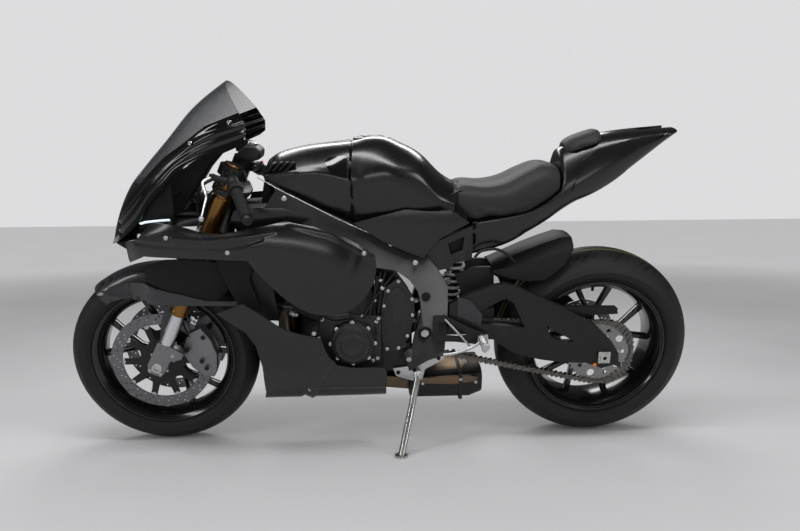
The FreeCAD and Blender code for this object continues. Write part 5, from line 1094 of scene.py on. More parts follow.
@dataclass
class Studio:
    """The camera of the photograph, a pale floor and plain soft light."""

    focal_pixels: float = 652.3
    photo_width: float = 800.0
    sensor: float = 36.0
    camera_place: Point = (734.05, 2212.37, 765.33)
    camera_yaw: float = -0.04523
    camera_pitch: float = -0.08894
    camera_roll: float = 0.009843
    floor_size: float = 60.0
    floor_colour: Colour = (0.5, 0.5, 0.51)
    fade_start: float = 2.6
    fade_end: float = 7.5
    backdrop: Colour = (0.72, 0.72, 0.73)
    fade_lift: float = 0.42
    room_light: float = 0.5
    mirrored_room: float = 0.06
    lamps: tuple[Lamp, ...] = (
        Lamp("Overhead box", (0.1, 0.9, 3.0), (0.0, 0.1, 0.6), 3.2, 0.45, 62.0),
        Lamp("Front box", (2.9, 1.9, 2.0), (0.3, 0.0, 0.6), 0.5, 1.8, 26.0),
        Lamp("Rear box", (-2.9, 1.9, 1.9), (-0.4, 0.0, 0.5), 0.5, 1.6, 22.0),
        Lamp("Far box", (0.0, -2.6, 2.6), (0.0, 0.0, 0.6), 3.0, 0.6, 44.0),
        Lamp("Low side box", (0.2, 3.4, 1.1), (0.1, 0.0, 0.4), 2.6, 0.35, 16.0),
    )

    def camera(self) -> None:
        """Stand the camera where the photograph was taken from."""
        base = UPRIGHT.translation
        place = Vector(self.camera_place) * MM + Vector((base.x, base.y, 0))
        turn = Matrix.Rotation(self.camera_yaw, 3, "Z")
        ahead = turn @ Vector((0, -1, 0))
        right = turn @ Vector((-1, 0, 0))
        lift = Vector((0, 0, 1))
        pitch = Matrix.Rotation(self.camera_pitch, 3, right)
        ahead = pitch @ ahead
        lift = pitch @ lift
        roll = Matrix.Rotation(self.camera_roll, 3, ahead)
        right = roll @ right
        lift = roll @ lift
        lens = bpy.data.cameras.new("Photo camera")
        lens.sensor_width = self.sensor
        lens.lens = self.focal_pixels / self.photo_width * self.sensor
        lens.clip_start = 0.05
        camera = bpy.data.objects.new("Photo camera", lens)
        axes = Matrix((right, lift, -ahead)).transposed().to_4x4()
        camera.matrix_world = Matrix.Translation(place) @ axes
        bpy.context.scene.collection.objects.link(camera)
        bpy.context.scene.camera = camera

    def floor(self) -> None:
        """Lay a plain pale floor."""
        half = self.floor_size / 2
        mesh = bpy.data.meshes.new("Floor")
        corners = [(-half, -half, 0), (half, -half, 0), (half, half, 0), (-half, half, 0)]
        mesh.from_pydata(corners, [], [(0, 1, 2, 3)])
        tree = Shading("Pale floor")
        vector, _, _, _ = tree.axes()
        cloud = tree.noise(vector, 1.3, 5.0)
        dark = tuple(channel * 0.94 for channel in self.floor_colour)
        _, ahead, lateral, _ = tree.axes()
        far = ahead * ahead + lateral * lateral
        fade = tree.step(far, self.fade_start ** 2, self.fade_end ** 2, 0.0, 1.0)
        tree.surface(
            Base_Color=tree.blend(cloud, dark, self.floor_colour), Roughness=tree.step(cloud, 0.3, 0.7, 0.55, 0.7),
            Emission_Color=tree.blend(fade, (0.0, 0.0, 0.0), self.backdrop), Emission_Strength=self.fade_lift,
        )
        mesh.materials.append(tree.material)
        floor = bpy.data.objects.new("Floor", mesh)
        bpy.context.scene.collection.objects.link(floor)

    def world(self) -> None:
        """Give the room's light, dimmer in what mirrors it, and a pale background to the camera and through glass."""
        world = bpy.data.worlds.new("Room")
        world.use_nodes = True
        bpy.context.scene.world = world
        graph = Graph(world.node_tree)
        rays = graph.node("ShaderNodeLightPath")
        seen = Value(graph, rays.outputs["Is Camera Ray"])
        mirrored = Value(graph, rays.outputs["Is Glossy Ray"])
        through = Value(graph, rays.outputs["Is Transmission Ray"])
        clear = graph.math("MAXIMUM", seen, through)
        white = (1.0, 1.0, 1.0, 1.0)
        light = self.room_light - mirrored * (self.room_light - self.mirrored_room)
        room = graph.value("ShaderNodeBackground", None, {"Color": white, "Strength": light})
        sky = graph.value("ShaderNodeBackground", None, {"Color": (*self.backdrop, 1.0), "Strength": 1.0})
        mix = graph.value("ShaderNodeMixShader", None, {0: clear, 1: room, 2: sky})
        graph.node("ShaderNodeOutputWorld", None, {"Surface": mix})

    def light(self) -> None:
        """Hang the soft boxes."""
        for lamp in self.lamps:
            data = bpy.data.lights.new(lamp.name, "AREA")
            data.shape = "RECTANGLE"
            data.size = lamp.width
            data.size_y = lamp.height
            data.energy = lamp.power
            box = bpy.data.objects.new(lamp.name, data)
            box.location = lamp.place
            aim = Vector(lamp.target) - Vector(lamp.place)
            box.rotation_euler = aim.to_track_quat("-Z", "Y").to_euler()
            bpy.context.scene.collection.objects.link(box)

    def build(self) -> None:
        """Set up the studio."""
        self.camera()
        self.floor()
        self.world()
        self.light()
        bpy.context.scene.view_settings.view_transform = "Standard"


class Cut(Enum):
    """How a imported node's form is refined."""

    HARD = "flat faces with broken edges"
    SOFT = "a moulded skin, smoothed"


@dataclass(frozen=True)
class Refined:
    """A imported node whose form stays, with broken edges or a smoother skin."""

    node: str
    finish: Finish
    body: Body
    cut: Cut = Cut.HARD
    bevel: float = 1.2
    smoothing: int = 2
    crease: float = 50.0

    def build(self) -> bpy.types.Object:
        """Make the piece that stands for the node."""
        name = f"{self.node}_dressed"
        form = Form.of_node(self.node)
        if self.cut is Cut.HARD:
            form.flatten()
            return Workshop.piece(name, form, self.finish, self.body, Trim(bevel=self.bevel), [self.node])
        form.flatten(0.05).pair().crease(self.crease)
        return Workshop.piece(name, form, self.finish, self.body, Trim(smoothing=self.smoothing), [self.node])


REFINED: tuple[Refined, ...] = (
    Refined("fork_feet", CAST, Body.STEERING, bevel=2.0),
    Refined("triple_clamps", ALLOY_BLACK, Body.STEERING, bevel=1.5),
    Refined("front_calipers", CAST, Body.STEERING, bevel=3.0),
    Refined("front_fender", CARBON, Body.STEERING, Cut.SOFT),
    Refined("stand_leg", PLATED, Body.SIDE_STAND, bevel=0.8),
    Refined("frame", FRAME_GREY, Body.CHASSIS, bevel=4.0),
    Refined("swingarm", ALLOY_BLACK, Body.CHASSIS, bevel=3.0),
    Refined("pivot_shaft", PLATED, Body.CHASSIS, bevel=0.8),
    Refined("engine_block", ENGINE_GREY, Body.CHASSIS, bevel=3.0),
    Refined("radiator", ALLOY_BLACK, Body.CHASSIS, bevel=1.0),
    Refined("rear_axle", PLATED, Body.CHASSIS, bevel=1.0),
    Refined("rear_caliper", CAST, Body.CHASSIS, bevel=1.5),
    Refined("rear_guards", PLASTIC, Body.CHASSIS, bevel=1.0),
    Refined("nose_panel", PLASTIC, Body.CHASSIS, Cut.SOFT),
    Refined("fairing_stays", ALLOY_BLACK, Body.CHASSIS, bevel=0.5),
    Refined("fuel_tank", SATIN, Body.CHASSIS, Cut.SOFT),
    Refined("tank_front_cover", SATIN, Body.CHASSIS, Cut.SOFT),
    Refined("side_covers", SATIN, Body.CHASSIS, bevel=3.0),
    Refined("tail_cowl", SATIN, Body.CHASSIS, Cut.SOFT),
    Refined("exhaust_headers", PIPE, Body.CHASSIS, bevel=0.5),
    Refined("muffler", MUFFLER_BLACK, Body.CHASSIS, bevel=3.0),
    Refined("stand_bracket", SILVER, Body.CHASSIS, bevel=1.0),
)
@dataclass(frozen=True)
class Wheel:
    """A cast wheel with its tyre: five forked spokes, drilled discs on buttons."""

    name: str
    body: Body
    centre: Point
    tyre_radius: float
    tyre_half: float
    crown: float
    rim_half: float
    hub_half: float
    axle: float
    rubber: Finish
    disc_finish: Finish
    disc_radius: float
    disc_places: tuple[float, ...]
    drill_rows: int
    bead: float = 215.6
    spoke_half: float = 12.0
    hub_radius: float = 42.0
    sides: int = 128

    def tyre(self) -> None:
        """Turn the tyre: crowned tread, flanks with a rim guard and lettering rings, bead."""
        half = self.tyre_half
        middle = self.tyre_radius - self.crown
        edge = math.degrees(math.asin(min(half / self.crown, 1.0)))
        profile = [(place, middle + height) for height, place in arc_points((0, 0), self.crown, -edge, edge, 25)]
        shoulder = profile[-1][1]
        flange = self.bead + 15.0
        fall = shoulder - flange
        flank = [
            (half - 0.6, shoulder - fall * 0.16), (half - 2.2, shoulder - fall * 0.34),
            (half - 4.6, shoulder - fall * 0.52), (half - 4.2, shoulder - fall * 0.56),
            (half - 5.4, shoulder - fall * 0.6), (half - 8.5, shoulder - fall * 0.78),
            (self.rim_half + 1.5, flange + 0.4), (self.rim_half - 1.5, flange), (self.rim_half - 1.5, self.bead + 0.6),
        ]
        profile += flank + [(-place, radius) for place, radius in reversed(flank)]
        form = Form().lathe(profile, self.centre, sides=self.sides + 16, closed=True).outward()
        trim = Trim(edge_angle=34.0)
        Workshop.piece(f"{self.name}_tyre_dressed", form, self.rubber, self.body, trim, [f"{self.name}_tyre"])

    def rim(self) -> None:
        """Turn the barrel and the hub, and cast the forked spokes between them."""
        half = self.rim_half
        lip = self.bead + 11.0
        floor = self.bead - 19.0
        outside = [(-half - 4, lip - 1), (-half - 3, lip), (-half - 1.2, lip), (-half - 0.2, self.bead),
                   (half + 0.2, self.bead), (half + 1.2, lip), (half + 3, lip), (half + 4, lip - 1)]
        inside = [(half + 4, lip - 5), (half * 0.78, floor + 7), (half * 0.5, floor), (-half * 0.5, floor),
                  (-half * 0.78, floor + 7), (-half - 4, lip - 5)]
        form = Form().lathe(outside + inside, self.centre, sides=self.sides, closed=True)
        hub_rim = self.hub_radius
        hub = [(-self.hub_half, self.axle + 9), (-self.hub_half, hub_rim - 2), (-self.hub_half + 2, hub_rim),
               (-self.hub_half + 9, hub_rim), (-20, hub_rim * 0.82), (20, hub_rim * 0.82),
               (self.hub_half - 9, hub_rim), (self.hub_half - 2, hub_rim), (self.hub_half, hub_rim - 2),
               (self.hub_half, self.axle + 9), (self.hub_half - 6, self.axle + 8), (self.hub_half - 6, self.axle + 1.2),
               (6 - self.hub_half, self.axle + 1.2), (6 - self.hub_half, self.axle + 8)]
        form.lathe(hub, self.centre, sides=64, closed=True)
        reach = self.bead - 16.5
        outline = [(-14.7, 33.0), (-12.0, 62.0), (-12.5, 86.0), (-30.0, 120.0), (-0.335 * reach, 0.94 * reach),
                   (-0.238 * reach, 0.972 * reach), (-14.0, 122.0), (0.0, 101.0), (14.0, 122.0),
                   (0.238 * reach, 0.972 * reach), (0.335 * reach, 0.94 * reach), (30.0, 120.0), (12.5, 86.0),
                   (12.0, 62.0), (14.7, 33.0)]
        spokes = Form()
        for number in range(5):
            turn = FULL_TURN * number / 5
            cosine, sine = math.cos(turn), math.sin(turn)
            points = [(u * cosine - v * sine, u * sine + v * cosine) for u, v in outline]
            spokes.plate([points], -self.spoke_half, self.spoke_half, self._aside)
        spokes.outward()
        piece = Workshop.settle(Workshop.work("spokes", spokes, Trim(bevel=5.0, bevel_steps=3, bevel_angle=28)))
        form.outward()
        form.mesh.from_mesh(piece)
        bpy.data.meshes.remove(piece)
        stem = self._aside(0.0, floor - 26.0, 0.0)
        form.rod(self._aside(0.0, floor + 1.0, 0.0), stem, 5.0, 16)
        name = f"{self.name}_rim"
        Workshop.piece(f"{name}_dressed", form, WHEEL_BLACK, self.body, Trim(edge_angle=30.0), [name])

    def _aside(self, u: float, v: float, w: float) -> Point:
        """Give the place of a point drawn in the wheel's own plane."""
        return (self.centre[0] + u, self.centre[1] + w, self.centre[2] + v)

    def discs(self) -> None:
        """Drill the braking bands, and hang them on buttons round a carrier."""
        node = f"{self.name}_brake_disc" + ("s" if len(self.disc_places) > 1 else "")
        band = self.disc_radius - 38.0
        outer = arc_points((0, 0), self.disc_radius - 0.3, 0, 360, 181)[:-1]
        inner = arc_points((0, 0), band + 3.0, 0, 360, 121)[:-1]
        holes = []
        for number in range(self.drill_rows):
            for row, share in enumerate((0.3, 0.55, 0.8)):
                turn = FULL_TURN * (number + row * 0.32) / self.drill_rows
                radius = band + 38.0 * share
                hole = arc_points((radius * math.cos(turn), radius * math.sin(turn)), 3.1, 0, 360, 13)[:-1]
                holes.append(hole)
        bands, carriers = Form(), Form()
        spots = []
        arms = 10 if self.disc_radius > 120 else 6
        for place in self.disc_places:
            bands.plate([outer, inner] + holes, place - 2.5, place + 2.5, self._aside)
            star = []
            for number in range(arms):
                middle = FULL_TURN * number / arms
                for offset, radius in ((-0.5, 0.56), (-0.22, 0.62), (-0.14, 0.98), (0.14, 0.98), (0.22, 0.62)):
                    turn = middle + offset * FULL_TURN / arms
                    star.append((band * radius * math.cos(turn), band * radius * math.sin(turn)))
                facing = (0.0, math.copysign(1.0, place), 0.0)
                spot = self._aside(band * math.cos(middle), band * math.sin(middle), place)
                spots.append(Spot(spot, facing))
            eye = arc_points((0, 0), self.axle + 8.0, 0, 360, 49)[:-1]
            carriers.plate([star, eye], place - 2.4, place + 2.4, self._aside)
        Workshop.piece(f"{node}_dressed", bands, self.disc_finish, self.body, Trim(bevel=0.3, bevel_steps=1), [node])
        Workshop.piece(f"{node}_carriers", carriers, ALLOY_BLACK, self.body, Trim(bevel=0.8))
        Repeat.piece(f"{node}_buttons", Hardware.button(8.0, 2.5), spots, SILVER, self.body)
        bolts = []
        for place in self.disc_places:
            for number in range(5):
                turn = FULL_TURN * (number + 0.5) / 5
                side = math.copysign(1.0, place)
                spot = self._aside(36 * math.cos(turn), 36 * math.sin(turn), place + side * 2.2)
                bolts.append(Spot(spot, (0.0, side, 0.0)))
        Repeat.piece(f"{node}_bolts", Hardware.socket_bolt(4.5, 2.6), bolts, PLATED, self.body)

    def mark(self) -> None:
        """Lay the thin coloured lines round the tread."""
        form = Form()
        for place in (-self.tyre_half * 0.2, self.tyre_half * 0.2):
            radius = self.tyre_radius - self.crown + math.sqrt(self.crown**2 - place**2)
            profile = [(place - 1.3, radius - 0.5), (place - 1.2, radius + 0.12), (place + 1.2, radius + 0.12),
                       (place + 1.3, radius - 0.5)]
            form.lathe(profile, self.centre, sides=self.sides + 16, closed=True)
        Workshop.piece(f"{self.name}_tread_lines", form.outward(), TREAD_MARK, self.body)

    def build(self) -> None:
        """Make the wheel's pieces."""
        self.tyre()
        self.rim()
        self.discs()


FRONT_WHEEL = Wheel("front", Body.FRONT_WHEEL, (1405.0, 0.0, 300.0), 300.0, 60.0, 68.0, 44.5, 61.7, 12.5, FRONT_RUBBER,
                    DISC, 160.0, (-64.5, 64.5), 30)
REAR_WHEEL = Wheel("rear", Body.REAR_WHEEL, (0.0, 0.0, 320.4), 320.4, 95.0, 107.0, 76.0, 81.2, 14.0, REAR_RUBBER,
                   REAR_DISC, 110.0, (-84.0,), 24)


@dataclass(frozen=True)
class FinalDrive:
    """The rear sprocket, and the chain as single links round both sprockets."""

    pitch: float = 15.875
    rear_teeth: int = 41
    front_teeth: int = 16
    rear: Flat = (0.0, 320.4)
    front: Flat = (640.0, 402.0)
    line: float = 110.0
    plate_gap: float = 4.4
    plate_wall: float = 1.4

    @property
    def rear_radius(self) -> float:
        """Pitch radius of the rear sprocket."""
        return self.pitch / 2 / math.sin(math.pi / self.rear_teeth)

    @property
    def front_radius(self) -> float:
        """Pitch radius of the front sprocket."""
        return self.pitch / 2 / math.sin(math.pi / self.front_teeth)

    def path(self) -> list[tuple[Flat, float]]:
        """Walk the chain's line.

        Returns:
            The middle of each link and its angle in the side view.
        """
        rear, front = Vector(self.rear), Vector(self.front)
        line = front - rear
        tilt = math.atan2(line.y, line.x)
        spread = math.asin((self.rear_radius - self.front_radius) / line.length)
        top = tilt + math.pi / 2 - spread
        low = tilt - math.pi / 2 + spread
        corners: list[Vector] = []
        for middle, radius, first, last in ((rear, self.rear_radius, top, low + FULL_TURN),
                                            (front, self.front_radius, low, top)):
            steps = 60
            for number in range(steps + 1):
                turn = first + (last - first) * number / steps
                corners.append(middle + Vector((math.cos(turn), math.sin(turn))) * radius)
        corners.append(corners[0])
        lengths = [0.0]
        for before, after in zip(corners, corners[1:]):
            lengths.append(lengths[-1] + (after - before).length)
        count = 2 * round(lengths[-1] / self.pitch / 2)
        step = lengths[-1] / count
        spans = np.arange(count + 1) * step
        xs = np.interp(spans, lengths, [corner.x for corner in corners])
        zs = np.interp(spans, lengths, [corner.y for corner in corners])
        links = []
        for i in range(count):
            angle = math.atan2(zs[i + 1] - zs[i], xs[i + 1] - xs[i])
            links.append((((xs[i] + xs[i + 1]) / 2, (zs[i] + zs[i + 1]) / 2), angle))
        return links

    def link(self, gap: float, outer: bool) -> Form:
        """Make one link: two waisted plates, and the rollers or the pin ends."""
        half = self.pitch / 2
        ends = arc_points((half, 0), 6.6, -65, 65, 7) + arc_points((-half, 0), 6.6, 115, 245, 7)
        outline = ends[:7] + [(0, 5.2)] + ends[7:] + [(0, -5.2)]
        form = Form()
        for side in (-1, 1):
            inner = side * gap
            near, far = sorted((inner, inner + side * self.plate_wall))
            form.plate([outline], near, far, lambda u, v, w: (u, v, w))
        reach = gap + self.plate_wall + 1.2
        if outer:
            for u in (-half, half):
                form.rod((u, 0, -reach), (u, 0, reach), 2.6, 12, 0.5)
        else:
            for u in (-half, half):
                form.rod((u, 0, -gap), (u, 0, gap), 5.0, 14, 0.2)
        return form

    def build(self) -> None:
        """Make the chain and the sprocket."""
        links = self.path()
        outer, inner = [], []
        for number, ((x, z), angle) in enumerate(links):
            spots = outer if number % 2 else inner
            spots.append(Spot((x, self.line, z), (0, -1, 0), -angle))
        Repeat.piece("chain_inner_links", self.link(self.plate_gap, False), inner, CHAIN, Body.CHASSIS,
                     Trim(bevel=0.3, bevel_steps=1), replaces=["drive_chain"])
        Repeat.piece("chain_outer_links", self.link(self.plate_gap + self.plate_wall + 0.2, True), outer, CHAIN,
                     Body.CHASSIS, Trim(bevel=0.3, bevel_steps=1))
        self.sprocket()

    def sprocket(self) -> None:
        """Cut the rear sprocket's teeth and lightening holes, and bolt it to its carrier."""
        outline = []
        for number in range(self.rear_teeth):
            for share, radius in ((0.0, -4.6), (0.16, -3.4), (0.36, 3.6), (0.5, 4.6), (0.64, 3.6), (0.84, -3.4)):
                turn = FULL_TURN * (number + share) / self.rear_teeth
                reach = self.rear_radius + radius
                outline.append((reach * math.cos(turn), reach * math.sin(turn)))
        holes = [arc_points((0, 0), 40.0, 0, 360, 61)[:-1]]
        spots = []
        for number in range(10):
            turn = FULL_TURN * number / 10
            wide = number % 2 == 0
            radius = 76.0
            middle = (radius * math.cos(turn), radius * math.sin(turn))
            if wide:
                holes.append(arc_points(middle, 12.5, 0, 360, 25)[:-1])
            else:
                holes.append(arc_points(middle, 7.0, 0, 360, 19)[:-1])
                hub = FULL_TURN * number / 10
                spots.append(Spot((56 * math.cos(hub), self.line + 2.4, self.rear[1] + 56 * math.sin(hub)), (0, 1, 0)))
        form = Form().plate([outline] + holes, self.line - 2.6, self.line + 2.6,
                            lambda u, v, w: (u + self.rear[0], w, v + self.rear[1]))
        carrier = [(84.5, 34), (84.5, 60), (92, 62), (107.2, 62), (107.2, 30), (96, 22), (86, 22)]
        form.lathe(carrier, (0, 0, self.rear[1]), sides=64, closed=True).outward()
        Workshop.piece("rear_sprocket_dressed", form, SPROCKET, Body.REAR_WHEEL, Trim(bevel=0.5), ["rear_sprocket"])
        Repeat.piece("sprocket_nuts", Hardware.hex_nut(5.5, 5.0), spots, PLATED, Body.REAR_WHEEL)


@dataclass(frozen=True)
class FrontEnd:
    """Fork, clamps, handlebars with their controls, and the front calipers' fittings."""

    spacing: float = 105.0
    outer_radius: float = 27.0
    slider_radius: float = 21.5
    mouth: float = 190.0
    top: float = 692.0
    foot_top: float = 84.0
    clip_place: float = 668.0
    bar_end: Point = (-114.0, 335.0, 610.0)

    def both(self, form: Form, name: str, finish: Finish, trim: Trim = Trim(),
             replaces: Sequence[str] = ()) -> None:
        """Make a left and right piece of a form built on the left."""
        Workshop.piece(name, form.mirror().outward(), finish, Body.STEERING, trim, replaces)

    def fork_lathe(self, form: Form, profile: Sequence[Flat], ahead: float = 0.0, sides: int = 48) -> Form:
        """Turn a profile of places along the fork and radii round the left fork tube."""
        base = STANCE.fork(ahead, self.spacing, 0)
        tip = STANCE.fork(ahead, self.spacing, 100)
        axis = Vector(tip) - Vector(base)
        return form.lathe(profile, base, axis, sides)

    def tubes(self) -> None:
        """Turn the outer tubes with their caps, and the polished inner tubes."""
        radius = self.outer_radius
        outer = [(self.mouth + 14, radius - 4), (self.mouth + 14, radius), (410, radius), (412, radius - 1.2),
                 (470, radius - 1.2), (472, radius), (585, radius), (587, radius - 1.2), (self.top - 8, radius - 1.2),
                 (self.top - 6, radius), (self.top - 2, radius), (self.top - 1, radius - 1), (self.top - 1, radius - 4)]
        self.both(self.fork_lathe(Form(), outer), "fork_outer_tubes_dressed", GOLD, Trim(edge_angle=30),
                  ["fork_outer_tubes"])
        ring = [(self.mouth, self.slider_radius + 0.4), (self.mouth, radius - 1), (self.mouth + 2, radius + 0.2),
                (self.mouth + 11, radius + 0.2), (self.mouth + 13.6, radius - 0.6), (self.mouth + 13.6, radius - 4)]
        self.both(self.fork_lathe(Form(), ring), "fork_seal_collars", GOLD, Trim(edge_angle=30))
        cap = [(self.top - 10, radius - 4.2), (self.top - 1.4, radius - 4.2), (self.top - 0.6, radius - 5.2),
               (self.top - 0.6, 13), (self.top, 12.4), (self.top, 5), (self.top - 3, 4.6), (self.top - 3, 0.01)]
        self.both(self.fork_lathe(Form(), cap), "fork_caps", ALLOY_BLACK, Trim(edge_angle=30))
        slider = [(self.foot_top - 2, self.slider_radius), (self.mouth + 30, self.slider_radius)]
        self.both(self.fork_lathe(Form(), slider), "fork_sliders_dressed", CHROME, replaces=["fork_sliders"])
        foot = [(self.foot_top - 22, 22.4), (self.foot_top - 4, 23.4), (self.foot_top, 22.6), (self.foot_top, 21.8)]
        self.both(self.fork_lathe(Form(), foot), "fork_foot_collars", CAST)

    def bar(self, share: float) -> Point:
        """Give a place along the left handlebar, from its clamp to its end."""
        start = (0.0, 138.5, self.clip_place)
        return STANCE.fork(*(a * (1 - share) + b * share for a, b in zip(start, self.bar_end)))

    def bar_lathe(self, form: Form, profile: Sequence[Flat], sides: int = 40) -> Form:
        """Turn a profile of shares along the left handlebar and radii."""
        start, end = Vector(self.bar(0)), Vector(self.bar(1))
        length = (end - start).length
        return form.lathe([(share * length, radius) for share, radius in profile], start, end - start, sides)

    def handlebars(self) -> None:
        """Make the clip-on clamps, bars, switch housings and ribbed grips."""
        place = self.clip_place
        clip = self.fork_lathe(Form(), [(place - 16, 28), (place - 16, 36), (place - 14, 38), (place + 14, 38),
                                        (place + 16, 36), (place + 16, 28)])
        self.bar_lathe(clip, [(-0.02, 15), (0.04, 14), (0.06, 11), (0.43, 11)])
        lug = Vector(STANCE.fork(-34, self.spacing - 14, place))
        clip.rod(lug - Vector((0, 12, 0)), lug + Vector((0, 12, 0)), 7.5)
        self.both(clip, "handlebars_dressed", ALLOY_BLACK, Trim(bevel=0.6), ["handlebars"])
        box = self.bar_lathe(Form(), [(0.265, 15), (0.27, 19.5), (0.285, 20.8), (0.33, 20.8), (0.332, 19.8), (0.336, 19.8),
                                      (0.338, 20.8), (0.385, 20.8), (0.398, 19), (0.4, 13)])
        self.both(box, "switch_housings", PLASTIC, Trim(edge_angle=30))
        ribs = [(0.42, 12), (0.42, 16.4), (0.44, 16.4), (0.445, 15.2)]
        ribs += [(0.46 + 0.02 * k + shift, radius) for k in range(22)
                 for shift, radius in ((0.0, 15.2), (0.003, 15.9), (0.012, 15.9), (0.015, 15.2))]
        ribs += [(0.915, 15.2), (0.92, 16.3), (0.938, 16.3), (0.94, 12)]
        self.both(self.bar_lathe(Form(), ribs), "grips_dressed", GRIP, Trim(edge_angle=30), ["grips"])
        weight = [(0.941, 11), (0.943, 13.6), (0.985, 13.9), (0.998, 12.6), (0.998, 5), (0.99, 4.5), (0.99, 0.01)]
        self.both(self.bar_lathe(Form(), weight), "bar_end_weights", ALLOY_BLACK, Trim(edge_angle=30))
        buttons = Form()
        for share, spread in ((0.29, 14.0), (0.31, 2.0), (0.36, 9.0)):
            spot = Vector(self.bar(share)) + Vector((-17, -6 + spread, 7))
            buttons.rod(spot, spot + Vector((-5.5, 0, 2)), 4.2, 16)
        self.both(buttons, "switch_buttons", INNER_GREY, Trim(bevel=0.5))
        spot = Vector(self.bar(0.3))
        kill = Form().rod(spot + Vector((-14, 4, 15)), spot + Vector((-16, 6, 21)), 5.0, 18)
        for vert in kill.mesh.verts:
            vert.co.y = -vert.co.y
        Workshop.piece("stop_switch", kill.outward(), RED, Body.STEERING, Trim(bevel=0.5))

    def levers(self) -> None:
        """Bend the lever blades with their ball ends, and clamp their perches."""
        route = [(35.25, 169.8, 644.8), (50.25, 192.0, 625.1), (30.0, 214.0, 605.0), (21.75, 228.0, 598.0),
                 (14.0, 258.0, 577.0), (5.25, 290.0, 556.0)]
        path = curve_through([STANCE.fork(*spot) for spot in route], 40)
        radii = np.interp(np.linspace(0, 1, 40), [0, 0.12, 0.5, 0.92, 1.0], [6.0, 5.6, 5.0, 4.4, 4.8])
        blade = Form().tube(path, list(radii), 20)
        tip = STANCE.fork(5.25, 290.0, 556.0)
        ball = [(-8 + 16 * k / 12, 8.2 * math.sqrt(max(1 - ((k - 6) / 6) ** 2, 0.001))) for k in range(13)]
        blade.lathe(ball, tip, (0, 1, -0.4), 24)
        self.both(blade, "hand_levers_dressed", SILVER, Trim(edge_angle=40), ["hand_levers"])
        perch = self.bar_lathe(Form(), [(0.15, 12), (0.15, 16.6), (0.16, 17.3), (0.25, 17.3), (0.26, 16.6), (0.26, 12)])
        root = Vector(STANCE.fork(35.25, 169.8, 644.8))
        perch.rod(self.bar(0.2), root, 9.4, 20)
        perch.rod(root + Vector((0, -3, 9)), root + Vector((0, 3, -9)), 8.6, 20)
        self.both(perch, "lever_perches", ALLOY_BLACK, Trim(bevel=0.8))

    def fluid(self) -> None:
        """Stand the brake fluid bottle and the master cylinder on their perches, and run the hoses."""
        base = Vector(STANCE.fork(26, -150, 690))
        cup = Form().lathe([(0, 17), (2, 19), (26, 20.5), (27, 21.5), (34, 21.5), (36, 20), (36, 0.01)], base, (0, 0, 1), 36)
        master = Vector(STANCE.fork(24, -132, 652))
        cup.rod(master, master + Vector((8, -46, -6)), 10.5, 24)
        cup.rod(base + Vector((0, 0, 2)), master + Vector((6, -26, -4)), 4.5, 12)
        Workshop.piece("brake_fluid_bottle", cup.outward(), ALLOY_BLACK, Body.STEERING, Trim(bevel=0.8))
        hoses = Form()
        for side in (-1, 1):
            route = [(24, -104 if side < 0 else -92, 648), (44, -96, 596), (46, -62, 520), (44, side * 38, 462),
                     (30, side * 60, 410), (22, side * 74, 330), (12, side * 78, 240), (-14, side * 84, 170),
                     (-52, side * 86, 120)]
            hoses.tube(curve_through([STANCE.fork(*spot) for spot in route], 70), 3.6, 12)
        Workshop.piece("front_brake_hoses", hoses.outward(), HOSE, Body.STEERING)
        clutch = [(30, 152, 640), (58, 140, 600), (56, 118, 545), (40, 96, 500), (6, 62, 470)]
        cable = Form().tube(curve_through([STANCE.fork(*spot) for spot in clutch], 40), 3.2, 12)
        wiring = [(-4, 172, 640), (20, 150, 612), (36, 122, 560), (30, 86, 505), (0, 52, 474)]
        cable.tube(curve_through([STANCE.fork(*spot) for spot in wiring], 40), 3.8, 12)
        Workshop.piece("clutch_cable_and_wiring", cable.outward(), HOSE, Body.STEERING)

    def fittings(self) -> None:
        """Add the axle and its ends, the pinch bolts, the calipers' bolts and the clamps' bolts."""
        axle = Form().rod((1405, -122.5, 300), (1405, 122.5, 300), 12.3, 32)
        for side in (-1, 1):
            axle.lathe([(119, 8), (119, 16), (124.5, 16.5), (126.5, 15), (126.5, 9), (122, 8.6), (122, 0.01)],
                       (1405, 0, 300), (0, side, 0), 32)
        axle.lathe([(67.4, 13), (67.4, 17), (84, 17), (84, 13)], (1405, 0, 300), (0, 1, 0), 32)
        axle.lathe([(67.4, 13), (67.4, 17), (84, 17), (84, 13)], (1405, 0, 300), (0, -1, 0), 32)
        Workshop.piece("front_axle_dressed", axle.outward(), PLATED, Body.STEERING, Trim(bevel=0.5), ["front_axle"])
        spots = []
        for side in (-1, 1):
            facing = (0.0, float(side), 0.0)
            for ahead, along in ((-31.0, 58.0), (-31.0, 92.0), (-17.0, -14.0), (17.0, -14.0)):
                spots.append(Spot(STANCE.fork(ahead, side * 125.2, along), facing))
        Repeat.piece("fork_foot_bolts", Hardware.socket_bolt(4.6, 4.0), spots, PLATED, Body.STEERING)
        spots = []
        for side in (-1, 1):
            for ahead, along in ((-62.0, 78.0), (-94.0, 138.0), (-118.0, 60.0), (-140.0, 44.0)):
                spots.append(Spot(STANCE.fork(ahead, side * 93.6, along), (0.0, float(side), 0.0)))
        Repeat.piece("caliper_bolts", Hardware.socket_bolt(6.0, 3.5), spots, ALLOY_BLACK, Body.STEERING)
        spots = []
        for place in (440.0, 606.0):
            for side in (-1, 1):
                spots.append(Spot(STANCE.fork(27.0, side * 70.0, place), tuple(
                    Vector(STANCE.fork(1, 0, 0)) - Vector(STANCE.fork(0, 0, 0)))))
        spots.append(Spot(STANCE.fork(-30.0, 0.0, 614.5), tuple(
            Vector(STANCE.fork(0, 0, 1)) - Vector(STANCE.fork(0, 0, 0)))))
        Repeat.piece("clamp_bolts", Hardware.socket_bolt(5.0, 4.0), spots, PLATED, Body.STEERING)

